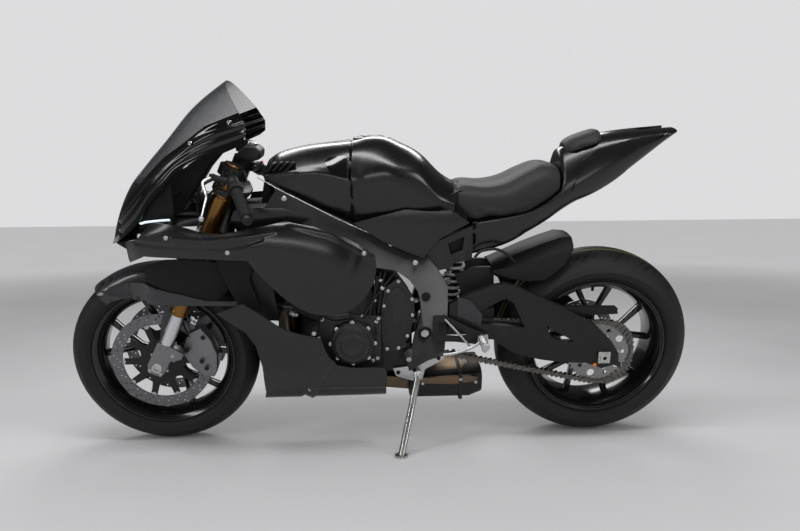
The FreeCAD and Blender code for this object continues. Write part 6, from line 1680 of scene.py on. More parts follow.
    def covers(self) -> None:
        """Hang the dark shields beside the fork over the fender, and cover the top clamp."""
        shield = [(1404, 590), (1398, 640), (1340, 656), (1240, 656), (1176, 640), (1160, 560), (1200, 524),
                  (1262, 534), (1344, 558)]
        form = Form().plate([shield], 134.6, 137.4).mirror().outward()
        Workshop.piece("fork_shields", form, INNER, Body.STEERING, Trim(bevel=1.0))
        cover = [(1128, 938), (1124, 962), (1104, 978), (1070, 974), (1056, 960), (1060, 936), (1090, 930)]
        form = Form().plate([cover], -46, 46).outward()
        Workshop.piece("top_clamp_cover", form, ALLOY_BLACK, Body.STEERING, Trim(bevel=6.0, bevel_steps=4))
        lock = Form().rod((1092, 0, 972), (1086, 0, 986), 17, 36, 1.5)
        Workshop.piece("ignition_lock", lock, PLATED, Body.STEERING, Trim(bevel=0.8))

    def build(self) -> None:
        """Make the front end's pieces."""
        self.covers()
        self.tubes()
        self.handlebars()
        self.levers()
        self.fluid()
        self.fittings()


@dataclass(frozen=True)
class Dent:
    """A groove, or a ridge when its depth is negative, along a path in the side view."""

    path: tuple[Flat, ...]
    width: float
    depth: float

    def depths(self, xs: np.ndarray, zs: np.ndarray) -> np.ndarray:
        """Work out how deep the groove is at places in the side view."""
        line = curve_through(self.path, 60)
        near = np.full(xs.shape, np.inf)
        for start, end in zip(line, line[1:]):
            run = end - start
            share = ((xs - start[0]) * run[0] + (zs - start[1]) * run[1]) / max(float(run @ run), 1e-9)
            share = np.clip(share, 0, 1)
            near = np.minimum(near, np.hypot(xs - start[0] - share * run[0], zs - start[1] - share * run[1]))
        return self.depth * (1 + np.cos(np.pi * np.minimum(near / self.width, 1))) / 2


Station = tuple[float, tuple[Flat, ...]]


@dataclass(frozen=True)
class Panel:
    """A moulded skin through stations along the motorcycle, kept inside a side-view outline."""

    name: str
    finish: Finish
    stations: tuple[Station, ...]
    outline: tuple[Flat, ...]
    whole: bool = False
    wall: float = 3.0
    lift: float = 0.0
    dents: tuple[Dent, ...] = ()
    across: int = 48
    along: int = 140
    replaces: tuple[str, ...] = ()

    def rows(self) -> np.ndarray:
        """Lay a fine net of points through the stations."""
        rows = []
        for x, section in self.stations:
            row = [(x, y, z) for y, z in section]
            if self.whole:
                row = [(x, -y, z) for x, y, z in reversed(row[1:])] + row
            rows.append(row)
        return smooth_rows(rows, self.across, self.along)

    def build(self) -> bpy.types.Object:
        """Make the skin."""
        rows = self.rows()
        normals = np.cross(np.gradient(rows, axis=0), np.gradient(rows, axis=1))
        normals /= np.linalg.norm(normals, axis=2, keepdims=True) + 1e-9
        middle = rows.shape[1] // (2 if self.whole else 1) - 1
        probe = normals[rows.shape[0] // 2, middle]
        if probe[1] + probe[2] < 0:
            normals = -normals
        rows = rows + normals * self.lift
        for dent in self.dents:
            rows = rows - normals * dent.depths(rows[:, :, 0], rows[:, :, 2])[:, :, None]
        shell = Form().shell(rows, rows - normals * self.wall).outward()
        near = -260.0 if self.whole else 1.0
        cutter = Form().plate([self.outline], near, 260.0).outward()
        form = Workshop.cut(self.name, shell, cutter, Trim())
        if not self.whole:
            form.mirror()
        return Workshop.piece(self.name, form.outward(), self.finish, Body.CHASSIS, Trim(edge_angle=34.0),
                              self.replaces)


NOSE: tuple[Station, ...] = (
    (1516, ((0, 705), (22, 701), (40, 697), (52, 692), (58, 688))),
    (1490, ((0, 791), (38, 780), (68, 758), (88, 728), (96, 700))),
    (1450, ((0, 866), (48, 855), (86, 828), (122, 775), (138, 728))),
    (1400, ((0, 925), (55, 912), (100, 880), (142, 830), (164, 770))),
    (1330, ((0, 1000), (62, 985), (120, 940), (154, 900), (176, 856))),
    (1250, ((0, 1088), (68, 1068), (136, 1000), (162, 965), (184, 925))),
    (1160, ((0, 1157), (72, 1136), (146, 1058), (170, 1010), (186, 955))),
    (1068, ((0, 1215), (76, 1192), (150, 1090), (176, 1040), (188, 985))),
)
COWL_OUTLINE: tuple[Flat, ...] = (
    (1530, 680), (1530, 760), (1440, 875), (1399, 874), (1361, 915), (1315, 957), (1260, 993), (1189, 1044),
    (1093, 1080), (1071, 1037), (1073, 1005), (1092, 990), (1145, 968), (1198, 950), (1240, 935), (1279, 913),
    (1316, 872), (1366, 819), (1392, 770), (1420, 735), (1490, 700),
)
SCREEN_OUTLINE: tuple[Flat, ...] = (
    (1440, 876), (1500, 876), (1500, 1180), (1160, 1180), (1135, 1142), (1093.5, 1081), (1189.4, 1045),
    (1260.4, 994), (1315.4, 958), (1361.4, 916), (1399.4, 875),
)
FLUTES: tuple[Dent, ...] = tuple(
    Dent(tuple((a[0] + (b[0] - a[0]) * share, a[1] + (b[1] - a[1]) * share) for a, b in (
        ((1080, 1078), (1080, 996)), ((1189, 1044), (1198, 952)), ((1260, 993), (1279, 915)),
        ((1315, 957), (1316, 874)), ((1361, 915), (1366, 821)), ((1420, 862), (1400, 765)), ((1475, 800), (1460, 715)),
    )), 11.0, depth)
    for share, depth in ((0.22, 3.2), (0.36, -2.0), (0.5, 3.6), (0.64, -2.0), (0.78, 3.2))
)
SIDES: tuple[Station, ...] = (
    (1440, ((150, 735), (158, 715), (156, 690), (146, 650))),
    (1390, ((176, 760), (192, 735), (192, 700), (180, 660))),
    (1300, ((196, 790), (214, 760), (218, 715), (200, 660))),
    (1200, ((200, 790), (224, 752), (228, 712), (210, 650))),
    (1120, ((200, 790), (228, 755), (234, 700), (216, 600))),
    (1050, ((198, 790), (228, 758), (240, 690), (220, 560))),
    (950, ((184, 795), (222, 760), (240, 670), (206, 480))),
    (850, ((172, 790), (210, 745), (234, 640), (200, 470))),
    (780, ((166, 780), (196, 715), (216, 620), (196, 480))),
    (714, ((162, 720), (172, 680), (176, 600), (172, 560))),
)
SIDE_OUTLINE: tuple[Flat, ...] = (
    (1450, 716), (1398, 728), (1354, 780), (1276, 775), (1196, 754), (1152, 753), (1077, 764), (1014, 775),
    (972, 783), (892, 767), (800, 731), (751, 697), (721, 672), (716, 634), (724, 591), (741, 561), (766, 531),
    (807, 506), (841, 495), (873, 498), (913, 507), (945, 525), (992, 565), (1014, 591), (1045, 625), (1063, 650),
    (1081, 676), (1381, 681), (1438, 652),
)
BELLY: tuple[Station, ...] = (
    (1190, ((216, 560), (212, 470), (192, 350), (152, 240), (112, 188), (0, 184))),
    (1066, ((212, 560), (208, 450), (186, 330), (148, 234), (110, 188), (0, 184))),
    (880, ((208, 560), (204, 430), (180, 320), (144, 232), (108, 188), (0, 184))),
    (686, ((202, 560), (198, 400), (174, 310), (140, 230), (104, 188), (0, 184))),
)
BELLY_OUTLINE: tuple[Flat, ...] = (
    (1184, 513), (1107, 541), (1057, 506), (1017, 474), (989, 456), (952, 442), (911, 432), (884, 424), (877, 394),
    (865, 361), (840, 326), (791, 314), (727, 314), (697, 312), (688, 292), (690, 180), (956, 180), (1077, 180),
    (1068, 219), (1066, 328), (1079, 403), (1105, 449), (1144, 480),
)
PANELS: tuple[Panel, ...] = (
    Panel("upper_cowl_dressed", GLOSS, NOSE, COWL_OUTLINE, True, dents=FLUTES, across=150, along=190,
          replaces=("upper_cowl",)),
    Panel("windscreen_dressed", SCREEN, NOSE, SCREEN_OUTLINE, True, across=72, along=90, replaces=("windscreen",)),
    Panel("side_fairings_dressed", SATIN, SIDES, SIDE_OUTLINE, dents=(
        Dent(((960, 779), (888, 756), (847, 744), (805, 718), (769, 697), (735, 668)), 15.0, -2.6),
        Dent(((1400, 722), (1300, 716), (1200, 712), (1120, 716), (1040, 738)), 12.0, 2.6),
        Dent(((1290, 740), (1200, 735), (1100, 742), (1000, 757)), 9.0, -1.6),
        Dent(((1052, 668), (1018, 606), (985, 560), (940, 527), (890, 510), (842, 508)), 12.0, -1.8),
        Dent(((860, 560), (830, 590), (790, 640), (772, 680)), 20.0, 3.4),
        Dent(((838, 536), (810, 540), (770, 546)), 4.0, 2.2),
        Dent(((846, 524), (815, 526), (785, 530)), 4.0, 2.2),
    ), across=90, along=220, replaces=("side_fairings",)),
    Panel("belly_pan_dressed", SATIN, BELLY, BELLY_OUTLINE, False, dents=(
        Dent(((1120, 500), (1040, 462), (960, 420), (890, 396)), 14.0, 3.0),
        Dent(((885, 350), (906, 306), (930, 256), (950, 190)), 11.0, -5.0),
        Dent(((862, 342), (884, 300), (908, 250), (926, 190)), 12.0, 6.0),
        Dent(((920, 240), (840, 236), (690, 234)), 4.5, 3.2),
    ), across=80, along=120, replaces=("belly_pan",)),
)


class Bodywork:
    """The fairings and what closes them inside, the lamps, the instruments and the fairing bolts."""

    @staticmethod
    def plates(name: str, outline: Sequence[Flat], near: float, far: float, finish: Finish, bevel: float = 1.0,
               holes: Sequence[Sequence[Flat]] = (), replaces: Sequence[str] = ()) -> None:
        """Make a flat plate on each side of the motorcycle."""
        form = Form().plate([list(outline), *holes], near, far).mirror().outward()
        Workshop.piece(name, form, finish, Body.CHASSIS, Trim(bevel=bevel), replaces)

    def inside(self) -> None:
        """Close the nose, the cockpit and the sides with dark inner panels."""
        core = [(1478, 722), (1452, 842), (1396, 896), (1330, 950), (1250, 1010), (1180, 1040), (1112, 1046),
                (1108, 1012), (1162, 970), (1216, 910), (1256, 850), (1284, 812), (1304, 780), (1352, 756),
                (1362, 706), (1404, 694)]
        form = Form().plate([core], -33, 33).outward()
        Workshop.piece("nose_duct", form, INNER, Body.CHASSIS, Trim(bevel=6.0, bevel_steps=3))
        head = [(1030, 790), (1030, 916), (1040, 912), (1048, 888), (1056, 850), (1064, 800)]
        Workshop.piece("steering_head_shroud", Form().plate([head], -44, 44).outward(), INNER, Body.CHASSIS,
                       Trim(bevel=5.0, bevel_steps=3))
        base = [(505, 745), (440, 745), (440, 842), (466, 850), (500, 830)]
        Workshop.piece("seat_front_base", Form().plate([base], -106, 106).outward(), INNER, Body.CHASSIS)
        self.plates("side_window_panels", [(512, 648), (440, 648), (440, 724), (512, 724)], 108, 111, INNER)
        self.plates("cockpit_panels", [(1398, 752), (1380, 800), (1352, 838), (1330, 866), (1296, 886), (1296, 780),
                                       (1350, 768)], 150, 153, INNER)
        self.plates("front_inner_panels", [(1196, 700), (1180, 640), (1150, 560), (1120, 500), (1060, 500), (1092, 600),
                                           (1060, 700), (1170, 712)], 164, 167, INNER)
        self.plates("frame_side_covers", [(985, 812), (1050, 812), (1124, 806), (1140, 770), (1100, 748), (985, 735),
                                          (905, 780)], 152.6, 156, SATIN, 1.2)
        floor = [(1296, 704), (1196, 700), (1120, 698), (1120, 702), (1196, 705), (1296, 709)]
        Workshop.piece("fairing_floor", Form().plate([floor], 176, 208).mirror().outward(), INNER, Body.CHASSIS)
        self.plates("radiator_side_ducts", [(1060, 700), (1048, 640), (1004, 560), (960, 500), (905, 470), (880, 470),
                                            (900, 600), (960, 700)], 168, 171, INNER)

    def lamps(self) -> None:
        """Set the lamp strips in the nose, and the lamps under it."""
        strip = Form()
        path = [(1392, 158, 770), (1372, 166.5, 776), (1340, 176, 781), (1300, 186, 786)]
        strip.tube(curve_through(path, 30), 4.5, 12, 0.6)
        Workshop.piece("position_lamps", strip.mirror().outward(), LENS, Body.CHASSIS)
        mouth = Form()
        for side in (-1, 1):
            lamp = Vector((1432, side * 84, 704))
            mouth.rod(lamp, lamp + Vector((34, side * 8, -4)), 21, 36, 2.0)
        Workshop.piece("head_lamps", mouth.outward(), GLASS_BLACK, Body.CHASSIS, Trim(bevel=1.0))

    def dash(self) -> None:
        """Make the instrument panel's case and its face."""
        outline = [(-62, -34), (62, -34), (70, -20), (66, 30), (50, 40), (-50, 40), (-66, 30), (-70, -20)]

        def aslant(u: float, v: float, w: float) -> Point:
            return (1166 + v * 0.62 + w * 0.78, u, 1000 + v * 0.72 - w * 0.6)

        case = Form().plate([outline], 0, 16, aslant).outward()
        Workshop.piece("instrument_case", case, PLASTIC, Body.CHASSIS, Trim(bevel=3.0, bevel_steps=3))
        inner = [(u * 0.84, v * 0.8) for u, v in outline]
        face = Form().plate([inner], -1.2, 1, aslant).outward()
        Workshop.piece("instrument_glass", face, PLASTIC, Body.CHASSIS, Trim(bevel=0.8))

    def bolts(self) -> None:
        """Put the silver bolts in the fairings, the cowl and the covers."""
        side = (0.0, 1.0, 0.0)
        left = [((752, 214.5, 688), side), ((1306, 217.5, 741), side), ((1135, 233.5, 700), side),
                ((905, 205.5, 440), side), ((790, 138, 226), side), ((930, 142, 226), side), ((700, 136, 232), side),
                ((1231, 160.5, 998), (0.35, 0.75, 0.55)), ((1119, 158.8, 1055), (0.3, 0.8, 0.5))]
        spots = []
        for (x, y, z), (ahead, out, up) in left:
            spots.append(Spot((x, y, z), (ahead, out, up)))
            spots.append(Spot((x, -y, z), (ahead, -out, up)))
        Repeat.piece("fairing_bolts", Hardware.socket_bolt(5.2, 2.6), spots, PLATED, Body.CHASSIS)

    def build(self) -> None:
        """Make the bodywork."""
        for panel in PANELS:
            panel.build()
        self.inside()
        self.lamps()
        self.dash()
        self.bolts()


TANK: tuple[Station, ...] = (
    (1036, ((0, 932), (50, 930), (96, 918), (136, 905), (142, 900), (140, 896), (123.7, 891), (123.7, 880))),
    (1000, ((0, 953), (52, 950), (100, 938), (142, 915), (150, 900), (148, 880), (123.7, 873), (123.7, 862))),
    (930, ((0, 970), (54, 967), (106, 950), (148, 920), (156, 900), (150, 850), (123.7, 837), (123.7, 826))),
    (860, ((0, 979), (58, 975), (108, 955), (150, 918), (156, 880), (148, 818), (123.7, 801), (123.7, 790))),
    (787, ((0, 986), (60, 984), (110, 962), (150, 905), (154, 860), (140, 795), (123.7, 763), (123.7, 752))),
    (740, ((0, 997), (62, 994), (116, 968), (158, 915), (162, 860), (142, 794), (123.7, 740), (123.7, 729))),
    (690, ((0, 997), (64, 992), (118, 965), (160, 922), (164, 865), (144, 794), (123.7, 714), (123.7, 704))),
    (640, ((0, 978), (62, 972), (112, 948), (150, 915), (158, 870), (144, 800), (123.7, 694), (123.7, 684))),
    (580, ((0, 946), (54, 940), (98, 925), (128, 900), (140, 868), (138, 803), (123.7, 702), (123.7, 694))),
    (520, ((0, 888), (44, 882), (76, 868), (100, 850), (118, 830), (122, 803), (116, 722), (114, 712))),
    (475, ((0, 858), (38, 852), (66, 840), (88, 825), (104, 812), (112, 800), (108, 742), (106, 734))),
)
TAIL: tuple[Station, ...] = (
    (158, ((0, 848), (60, 848), (88, 846), (104, 838), (106, 812), (88, 772), (40, 762))),
    (150, ((0, 958), (34, 954), (70, 915), (100, 862), (106, 815), (86, 778), (40, 768))),
    (106, ((0, 982), (36, 978), (74, 950), (104, 890), (108, 850), (84, 806), (40, 800))),
    (30, ((0, 1008), (38, 1005), (78, 985), (104, 930), (106, 890), (80, 842), (40, 838))),
    (-64, ((0, 1018), (40, 1016), (76, 1006), (96, 975), (98, 950), (76, 906), (40, 902))),
    (-188, ((0, 1026), (42, 1025), (66, 1023), (78, 1018), (78, 1014), (64, 1010), (40, 1009))),
)
CUSHION: tuple[Station, ...] = (
    (472, ((0, 860), (46, 862), (84, 860), (110, 850), (116, 826), (112, 800), (60, 797))),
    (430, ((0, 858), (56, 860), (104, 856), (128, 840), (132, 800), (126, 768), (60, 760))),
    (380, ((0, 852), (60, 856), (112, 852), (136, 836), (140, 800), (134, 774), (60, 765))),
    (320, ((0, 864), (62, 868), (112, 862), (136, 844), (142, 810), (136, 780), (60, 770))),
    (260, ((0, 896), (58, 898), (102, 890), (126, 872), (132, 835), (126, 792), (60, 780))),
    (205, ((0, 920), (54, 920), (92, 912), (114, 896), (120, 862), (116, 820), (60, 806))),
    (160, ((0, 918), (48, 918), (80, 910), (98, 896), (104, 876), (102, 850), (60, 838))),
)
SADDLE_PANELS: tuple[Panel, ...] = (
    Panel("tank_cover", SATIN, TANK, ((781, 1010), (783, 956), (787, 899), (781, 885), (693, 794), (560, 806),
                                      (480, 806), (478, 1010)), True, wall=4.0, lift=2.6, across=110, along=150),
    Panel("tank_front_skin", SATIN, TANK, ((790, 1010), (791, 955), (795, 899), (790, 884), (792, 775), (905, 822),
                                           (960, 846), (1026, 880), (1034, 905), (1032, 1010)), True, wall=4.0,
          lift=1.6, across=90, along=110, dents=(
              Dent(((800, 890), (850, 905), (900, 912), (940, 905)), 9.0, -2.0),
              Dent(((840, 820), (900, 862), (960, 880), (1010, 890)), 9.0, 2.6))),
    Panel("tank_side_gloss", GLOSS, TANK, ((797, 950), (799, 898), (840, 905), (862, 940), (850, 951), (806, 956)),
          True, wall=3.0, lift=3.4, across=90, along=110),
    Panel("tail_side_panels", SATIN, TAIL, ((99, 930), (51, 966), (-60, 998), (-150, 1011), (-66, 970), (-8, 908),
                                            (10, 876), (84, 850), (126, 844), (112, 886)), True, wall=3.0, lift=1.8,
          across=80, along=90),
)


class Saddle:
    """The tank's skins, cap and vents, the tail's side panels, the frame's edge line, and the seat and its pad."""

    def cap(self) -> None:
        """Set the low filler cap in its ring of bolts."""
        centre = (728, 0, 994)
        form = Form().lathe([(0.5, 0.01), (5.5, 0.01), (5.2, 20), (4.4, 36), (3.6, 38.5), (3.0, 38.5), (2.4, 39), (2.4, 42),
                             (4.2, 43), (4.2, 51), (2.8, 53.8), (0.2, 54), (-6, 54)], centre, (0, 0, 1), 72)
        form.lathe([(4, 12), (7.6, 13), (8.4, 14), (8.4, 24), (7.4, 25), (4, 26)], centre, (0, 0, 1), 40)
        Workshop.piece("filler_cap", form.outward(), CAST, Body.CHASSIS, Trim(edge_angle=30), ["fuel_cap"])
        spots = [Spot((728 + 47 * math.cos(turn), 47 * math.sin(turn), 998.0), (0.0, 0.0, 1.0))
                 for turn in np.linspace(0, FULL_TURN, 8)[:-1]]
        Repeat.piece("filler_cap_bolts", Hardware.socket_bolt(3.6, 1.6), spots, PLATED, Body.CHASSIS)

    def vents(self) -> None:
        """Open the dark vents in the tank's front cover, with a blade between each two."""
        form = Form()
        for top, low in (((1030, 915), (1010, 938)), ((1012, 918), (990, 940)), ((994, 919), (972, 941)),
                         ((976, 918), (954, 940))):
            outline = [top, low, (low[0] - 9, low[1] - 1), (top[0] - 9, top[1] - 2)]
            form.plate([outline], 96, 151.6)
        Workshop.piece("tank_vents", form.mirror().outward(), INNER, Body.CHASSIS, Trim(bevel=0.5))

    def edges(self) -> None:
        """Run the pale edge along the frame's top."""
        line = [(1052, 153, 900), (1040, 154.5, 893), (991, 155.5, 864), (935, 155.5, 834), (821, 155.5, 774),
                (705, 154.6, 719), (612, 153.5, 676)]
        form = Form().tube(curve_through(line, 60), 1.7, 10)
        Workshop.piece("frame_edge_line", form.mirror().outward(), PLATED, Body.CHASSIS)

    def soft(self, name: str, rows: np.ndarray, replaces: Sequence[str] = ()) -> None:
        """Swell a closed cushion as cloth over foam, and dress it in the cover.

        Args:
            name: The piece's name.
            rows: Its net of points, each row a closed section.
            replaces: The node that it stands for.
        """
        start = Form().net([[tuple(point) for point in row] for row in rows], closed=True, capped=True).outward()
        work = Workshop.work(f"{name} foam", start, Trim())
        remesh = work.modifiers.new("Voxels", "REMESH")
        remesh.mode = "VOXEL"
        remesh.voxel_size = 5.0
        relax = work.modifiers.new("Relax", "SMOOTH")
        relax.factor = 0.6
        relax.iterations = 6
        mesh = Workshop.settle(work)
        rest = np.zeros(len(mesh.vertices) * 3)
        mesh.vertices.foreach_get("co", rest)
        rest = rest.reshape(-1, 3) * MM
        mesh.vertices.foreach_set("co", rest.ravel())
        foam = bpy.data.objects.new(f"{name} cloth", mesh)
        scene = bpy.context.scene
        scene.collection.objects.link(foam)
        swollen = rest
        cloth = foam.modifiers.new("Swell", "CLOTH")
        cloth.settings.quality = 5
        cloth.settings.use_pressure = True
        cloth.settings.uniform_pressure_force = 4.0
        cloth.settings.effector_weights.gravity = 0.0
        for frame in range(1, 21):
            scene.frame_set(frame)
        graph = bpy.context.evaluated_depsgraph_get()
        grown = foam.evaluated_get(graph).to_mesh()
        swollen = np.zeros(len(rest) * 3)
        grown.vertices.foreach_get("co", swollen)
        swollen = swollen.reshape(-1, 3)
        foam.evaluated_get(graph).to_mesh_clear()
        scene.frame_set(1)
        foam.modifiers.clear()
        move = swollen - rest
        reach = np.linalg.norm(move, axis=1, keepdims=True) + 1e-9
        log.info("%s swells by %.1f mm at most and %.1f mm on average", name, reach.max() / MM, reach.mean() / MM)
        final = (rest + move * np.minimum(1, self.swell_cap / reach)) / MM
        form = Form()
        mesh.vertices.foreach_set("co", final.ravel())
        form.mesh.from_mesh(mesh)
        bpy.data.objects.remove(foam)
        bpy.data.meshes.remove(mesh)
        piece = Workshop.piece(name, form, SEAT, Body.CHASSIS, Trim(smoothing=1, edge_angle=70), replaces)

    swell_cap = 0.004

    @staticmethod
    def ring(stations: Sequence[Station], inset: float, drop: float = 0.0) -> list[list[Point]]:
        """Close each station into a whole section, drawn in a little."""
        rows = []
        for x, section in stations:
            middle = sum(z for _, z in section) / len(section)
            half = [(max(y - inset, 0.0), z + (inset if z < middle else -inset) - drop) for y, z in section]
            row = [(x, y, z) for y, z in half]
            rows.append([(x, -y, z) for x, y, z in reversed(row[1:])] + row)
        return rows

    def seats(self) -> None:
        """Make the rider's cushion and the passenger's pad."""
        rows = smooth_rows(self.ring(CUSHION, 2.5), 60, 70)
        self.soft("rider_cushion", rows, ["rider_seat"])
        pads = []
        for x, edge, high in ((134, 40, 972), (120, 62, 984), (90, 72, 998), (55, 74, 1010), (30, 60, 1019)):
            pads.append([(x, -edge, high - 34), (x, -edge * 0.86, high - 12), (x, -edge * 0.5, high), (x, 0, high + 2),
                         (x, edge * 0.5, high), (x, edge * 0.86, high - 12), (x, edge, high - 34), (x, 0, high - 24)])
        self.soft("passenger_pad", smooth_rows(pads, 50, 40))

    def build(self) -> None:
        """Make the saddle's pieces."""
        for panel in SADDLE_PANELS:
            panel.build()
        self.cap()
        self.vents()
        self.edges()
        self.seats()


class Powertrain:
    """The engine's covers and pipes, the muffler, the shock, and what bolts to frame and swingarm."""

    out = (0.0, 1.0, 0.0)

    def round_cover(self, name: str, x: float, z: float, side: int) -> None:
        """Turn a round engine cover with raised rings and ribs, and bolt it on."""
        profile = [(144, 0.01), (144, 69), (160, 69), (163, 67), (167, 66), (170, 64), (171.5, 58), (176, 55.5),
                   (181, 53), (182.6, 50), (181.2, 48), (181.2, 38), (183, 36), (185.6, 34), (185.6, 20), (184, 18),
                   (184, 0.01)]
        form = Form().lathe([(side * place, radius) for place, radius in profile], (x, 0, z), self.out, 96)
        for turn in np.linspace(0, FULL_TURN, 9)[:-1]:
            lug = (x + 68 * math.cos(turn), side * 146, z + 68 * math.sin(turn))
            form.rod(lug, (lug[0], side * 163, lug[2]), 8.5, 20)
        Workshop.piece(name, form.outward(), ENGINE_GREY, Body.CHASSIS, Trim(bevel=0.8),
                       ["engine_covers"] if side > 0 else [])
        spots = [Spot((x + 68 * math.cos(turn), side * 163.0, z + 68 * math.sin(turn)), (0.0, float(side), 0.0))
                 for turn in np.linspace(0, FULL_TURN, 9)[:-1]]
        Repeat.piece(f"{name}_bolts", Hardware.socket_bolt(5.4, 4.0), spots, PLATED, Body.CHASSIS)

    def sprocket_cover(self) -> None:
        """Make the gearbox cover with its relief, and the hoses over it."""
        outline = [(645, 352), (690, 345), (703, 400), (703, 500), (690, 560), (650, 590), (626, 562), (602, 522),
                   (600, 470), (616, 400)]
        form = Form().plate([outline], 124, 139)
        centre = (655, 460)
        for share, near, far in ((0.8, 139, 142), (0.62, 142, 143.6), (0.3, 143, 146)):
            inner = [(centre[0] + (x - centre[0]) * share, centre[1] + (z - centre[1]) * share) for x, z in outline]
            form.plate([inner], near, far)
        Workshop.piece("sprocket_cover", form.outward(), ENGINE_GREY, Body.CHASSIS, Trim(bevel=1.4))
        spots = [Spot((x, 139.0, z), self.out) for x, z in
                 ((686, 357), (694, 500), (682, 548), (650, 578), (608, 520), (607, 468), (622, 400), (650, 360))]
        Repeat.piece("sprocket_cover_bolts", Hardware.socket_bolt(4.6, 4.0), spots, PLATED, Body.CHASSIS)
        hoses = Form()
        for route in (((704, 146, 610), (716, 142, 560), (724, 138, 500), (722, 140, 450), (716, 150, 410)),
                      ((690, 140, 612), (700, 142, 570), (706, 142, 530), (712, 146, 480)),
                      ((740, 152, 470), (728, 150, 520), (700, 146, 560), (664, 140, 604)),
                      ((760, 150, 466), (742, 152, 500), (726, 152, 530), (716, 150, 600))):
            hoses.tube(curve_through(route, 40), 4.2, 12)
        Workshop.piece("engine_hoses", hoses.outward(), HOSE, Body.CHASSIS)
        clips = Form()
        for x, y, z in ((706, 142, 585), (724, 138, 520), (720, 141, 450), (700, 146, 560)):
            clips.rod((x - 5, y, z - 3), (x + 5, y, z + 3), 6.4, 16)
        Workshop.piece("hose_clips", clips.outward(), PLATED, Body.CHASSIS, Trim(bevel=0.4))

    def case(self) -> None:
        """Add the crankcase's flanges, head cover, water pipe and sump bolts."""
        form = Form()
        form.plate([[(700, 462), (900, 470), (902, 478), (700, 470)]], -147, 147)
        form.plate([[(820, 600), (930, 640), (946, 610), (940, 604), (826, 570)]], -118, 118)
        for x in (728, 768, 808, 848):
            form.plate([[(x, 480), (x + 5, 480), (x + 48, 600), (x + 43, 600)]], -126, 126)
        Workshop.piece("engine_flanges", form.outward(), ENGINE_GREY, Body.CHASSIS, Trim(bevel=1.0))
        pipe = [(1020, 120, 500), (980, 140, 500), (930, 146, 508), (880, 150, 486), (846, 152, 470), (800, 152, 476)]
        water = Form().tube(curve_through(pipe, 50), 11, 20)
        Workshop.piece("water_hose", water.outward(), HOSE, Body.CHASSIS)
        fitting = Form().rod((978, 146, 488), (962, 162, 486), 9, 24).rod((968, 156, 487), (956, 168, 486), 6, 18)
        Workshop.piece("hose_fitting", fitting.outward(), SILVER, Body.CHASSIS, Trim(bevel=0.8))
        spots = [Spot((x, 146.5, z), self.out) for x, z in
                 ((895, 330), (897, 400), (884, 462), (716, 330), (712, 462), (850, 462), (730, 322), (760, 470))]
        Repeat.piece("crankcase_bolts", Hardware.socket_bolt(4.8, 3.6), spots, PLATED, Body.CHASSIS)

    def frame_hardware(self) -> None:
        """Put the pivot's nut, the mounting bolts and the hole's plug on each frame spar."""
        nuts, bolts, plugs = [], [], Form()
        for side in (-1, 1):
            out = (0.0, float(side), 0.0)
            nuts.append(Spot((569, side * 152.2, 416), out))
            bolts += [Spot((x, side * 152.2, z), out) for x, z in
                      ((520, 467), (524, 394), (618, 326), (672, 700), (980, 838), (600, 640))]
            plugs.rod((567, side * 151, 533), (567, side * 152.8, 533), 14, 32)
            plugs.lathe([(151, 20), (154, 20), (156, 18), (156, 11), (153, 10)], (569, 0, 416), out, 36)
        Repeat.piece("pivot_nuts", Hardware.hex_nut(11, 9), nuts, PLATED, Body.CHASSIS)
        Repeat.piece("frame_bolts", Hardware.socket_bolt(6.4, 4.0), bolts, PLATED, Body.CHASSIS)
        Workshop.piece("frame_plugs", plugs.outward(), INNER, Body.CHASSIS, Trim(bevel=0.5))
        rear = Form()
        rear.rod((0, 152, 320.4), (0, 156, 320.4), 13, 32).rod((0, -156, 320.4), (0, -152, 320.4), 13, 32)
        Workshop.piece("axle_nuts", rear.outward(), INNER, Body.CHASSIS, Trim(bevel=0.6))
        fitting = Form().rod((30, 148.5, 290), (22, 151, 296), 5.5, 20)
        Workshop.piece("adjuster_mark", fitting.outward(), ORANGE, Body.CHASSIS, Trim(bevel=0.6))

    def shock(self) -> None:
        """Wind the spring round the damper, with its collars, and add the hose loop beside it."""
        foot, top = Vector((482, 0, 404)), Vector((452, 0, 646))
        run = top - foot
        turns, wire, radius = 6.5, 5.0, 27.5
        ahead = run.normalized().orthogonal().normalized()
        beside = run.normalized().cross(ahead)
        path = []
        for k in range(int(turns * 28) + 1):
            turn = FULL_TURN * k / 28
            centre = foot + run * (0.27 + 0.6 * k / (turns * 28))
            path.append(tuple(centre + (ahead * math.cos(turn) + beside * math.sin(turn)) * radius))
        Workshop.piece("shock_spring", Form().tube(path, wire, 14).outward(), WHITE, Body.CHASSIS)
        form = Form()
        length = run.length
        form.lathe([(0.04 * length, 15), (0.2 * length, 15), (0.21 * length, 20), (0.5 * length, 20), (0.5 * length, 9),
                    (0.84 * length, 9), (0.85 * length, 22), (0.97 * length, 22), (0.98 * length, 14)], tuple(foot),
                   tuple(run), 40)
        for share in (0.225, 0.885):
            form.lathe([((share - 0.012) * length, 20), ((share - 0.012) * length, 34), ((share + 0.012) * length, 34),
                        ((share + 0.012) * length, 20)], tuple(foot), tuple(run), 40)
        for eye in (foot, top):
            form.rod(eye - Vector((0, 14, 0)), eye + Vector((0, 14, 0)), 18, 28)
        Workshop.piece("rear_shock_dressed", form.outward(), ALLOY_BLACK, Body.CHASSIS, Trim(bevel=0.8), ["rear_shock"])
        loop = [(416, 118, 645), (402, 121, 662), (386, 122, 668), (356, 122, 671), (331, 120, 662), (308, 116, 644),
                (290, 108, 626)]
        hose = Form().tube(curve_through(loop, 50), 4.4, 14)
        Workshop.piece("rear_hose_loop", hose.outward(), HOSE, Body.CHASSIS)

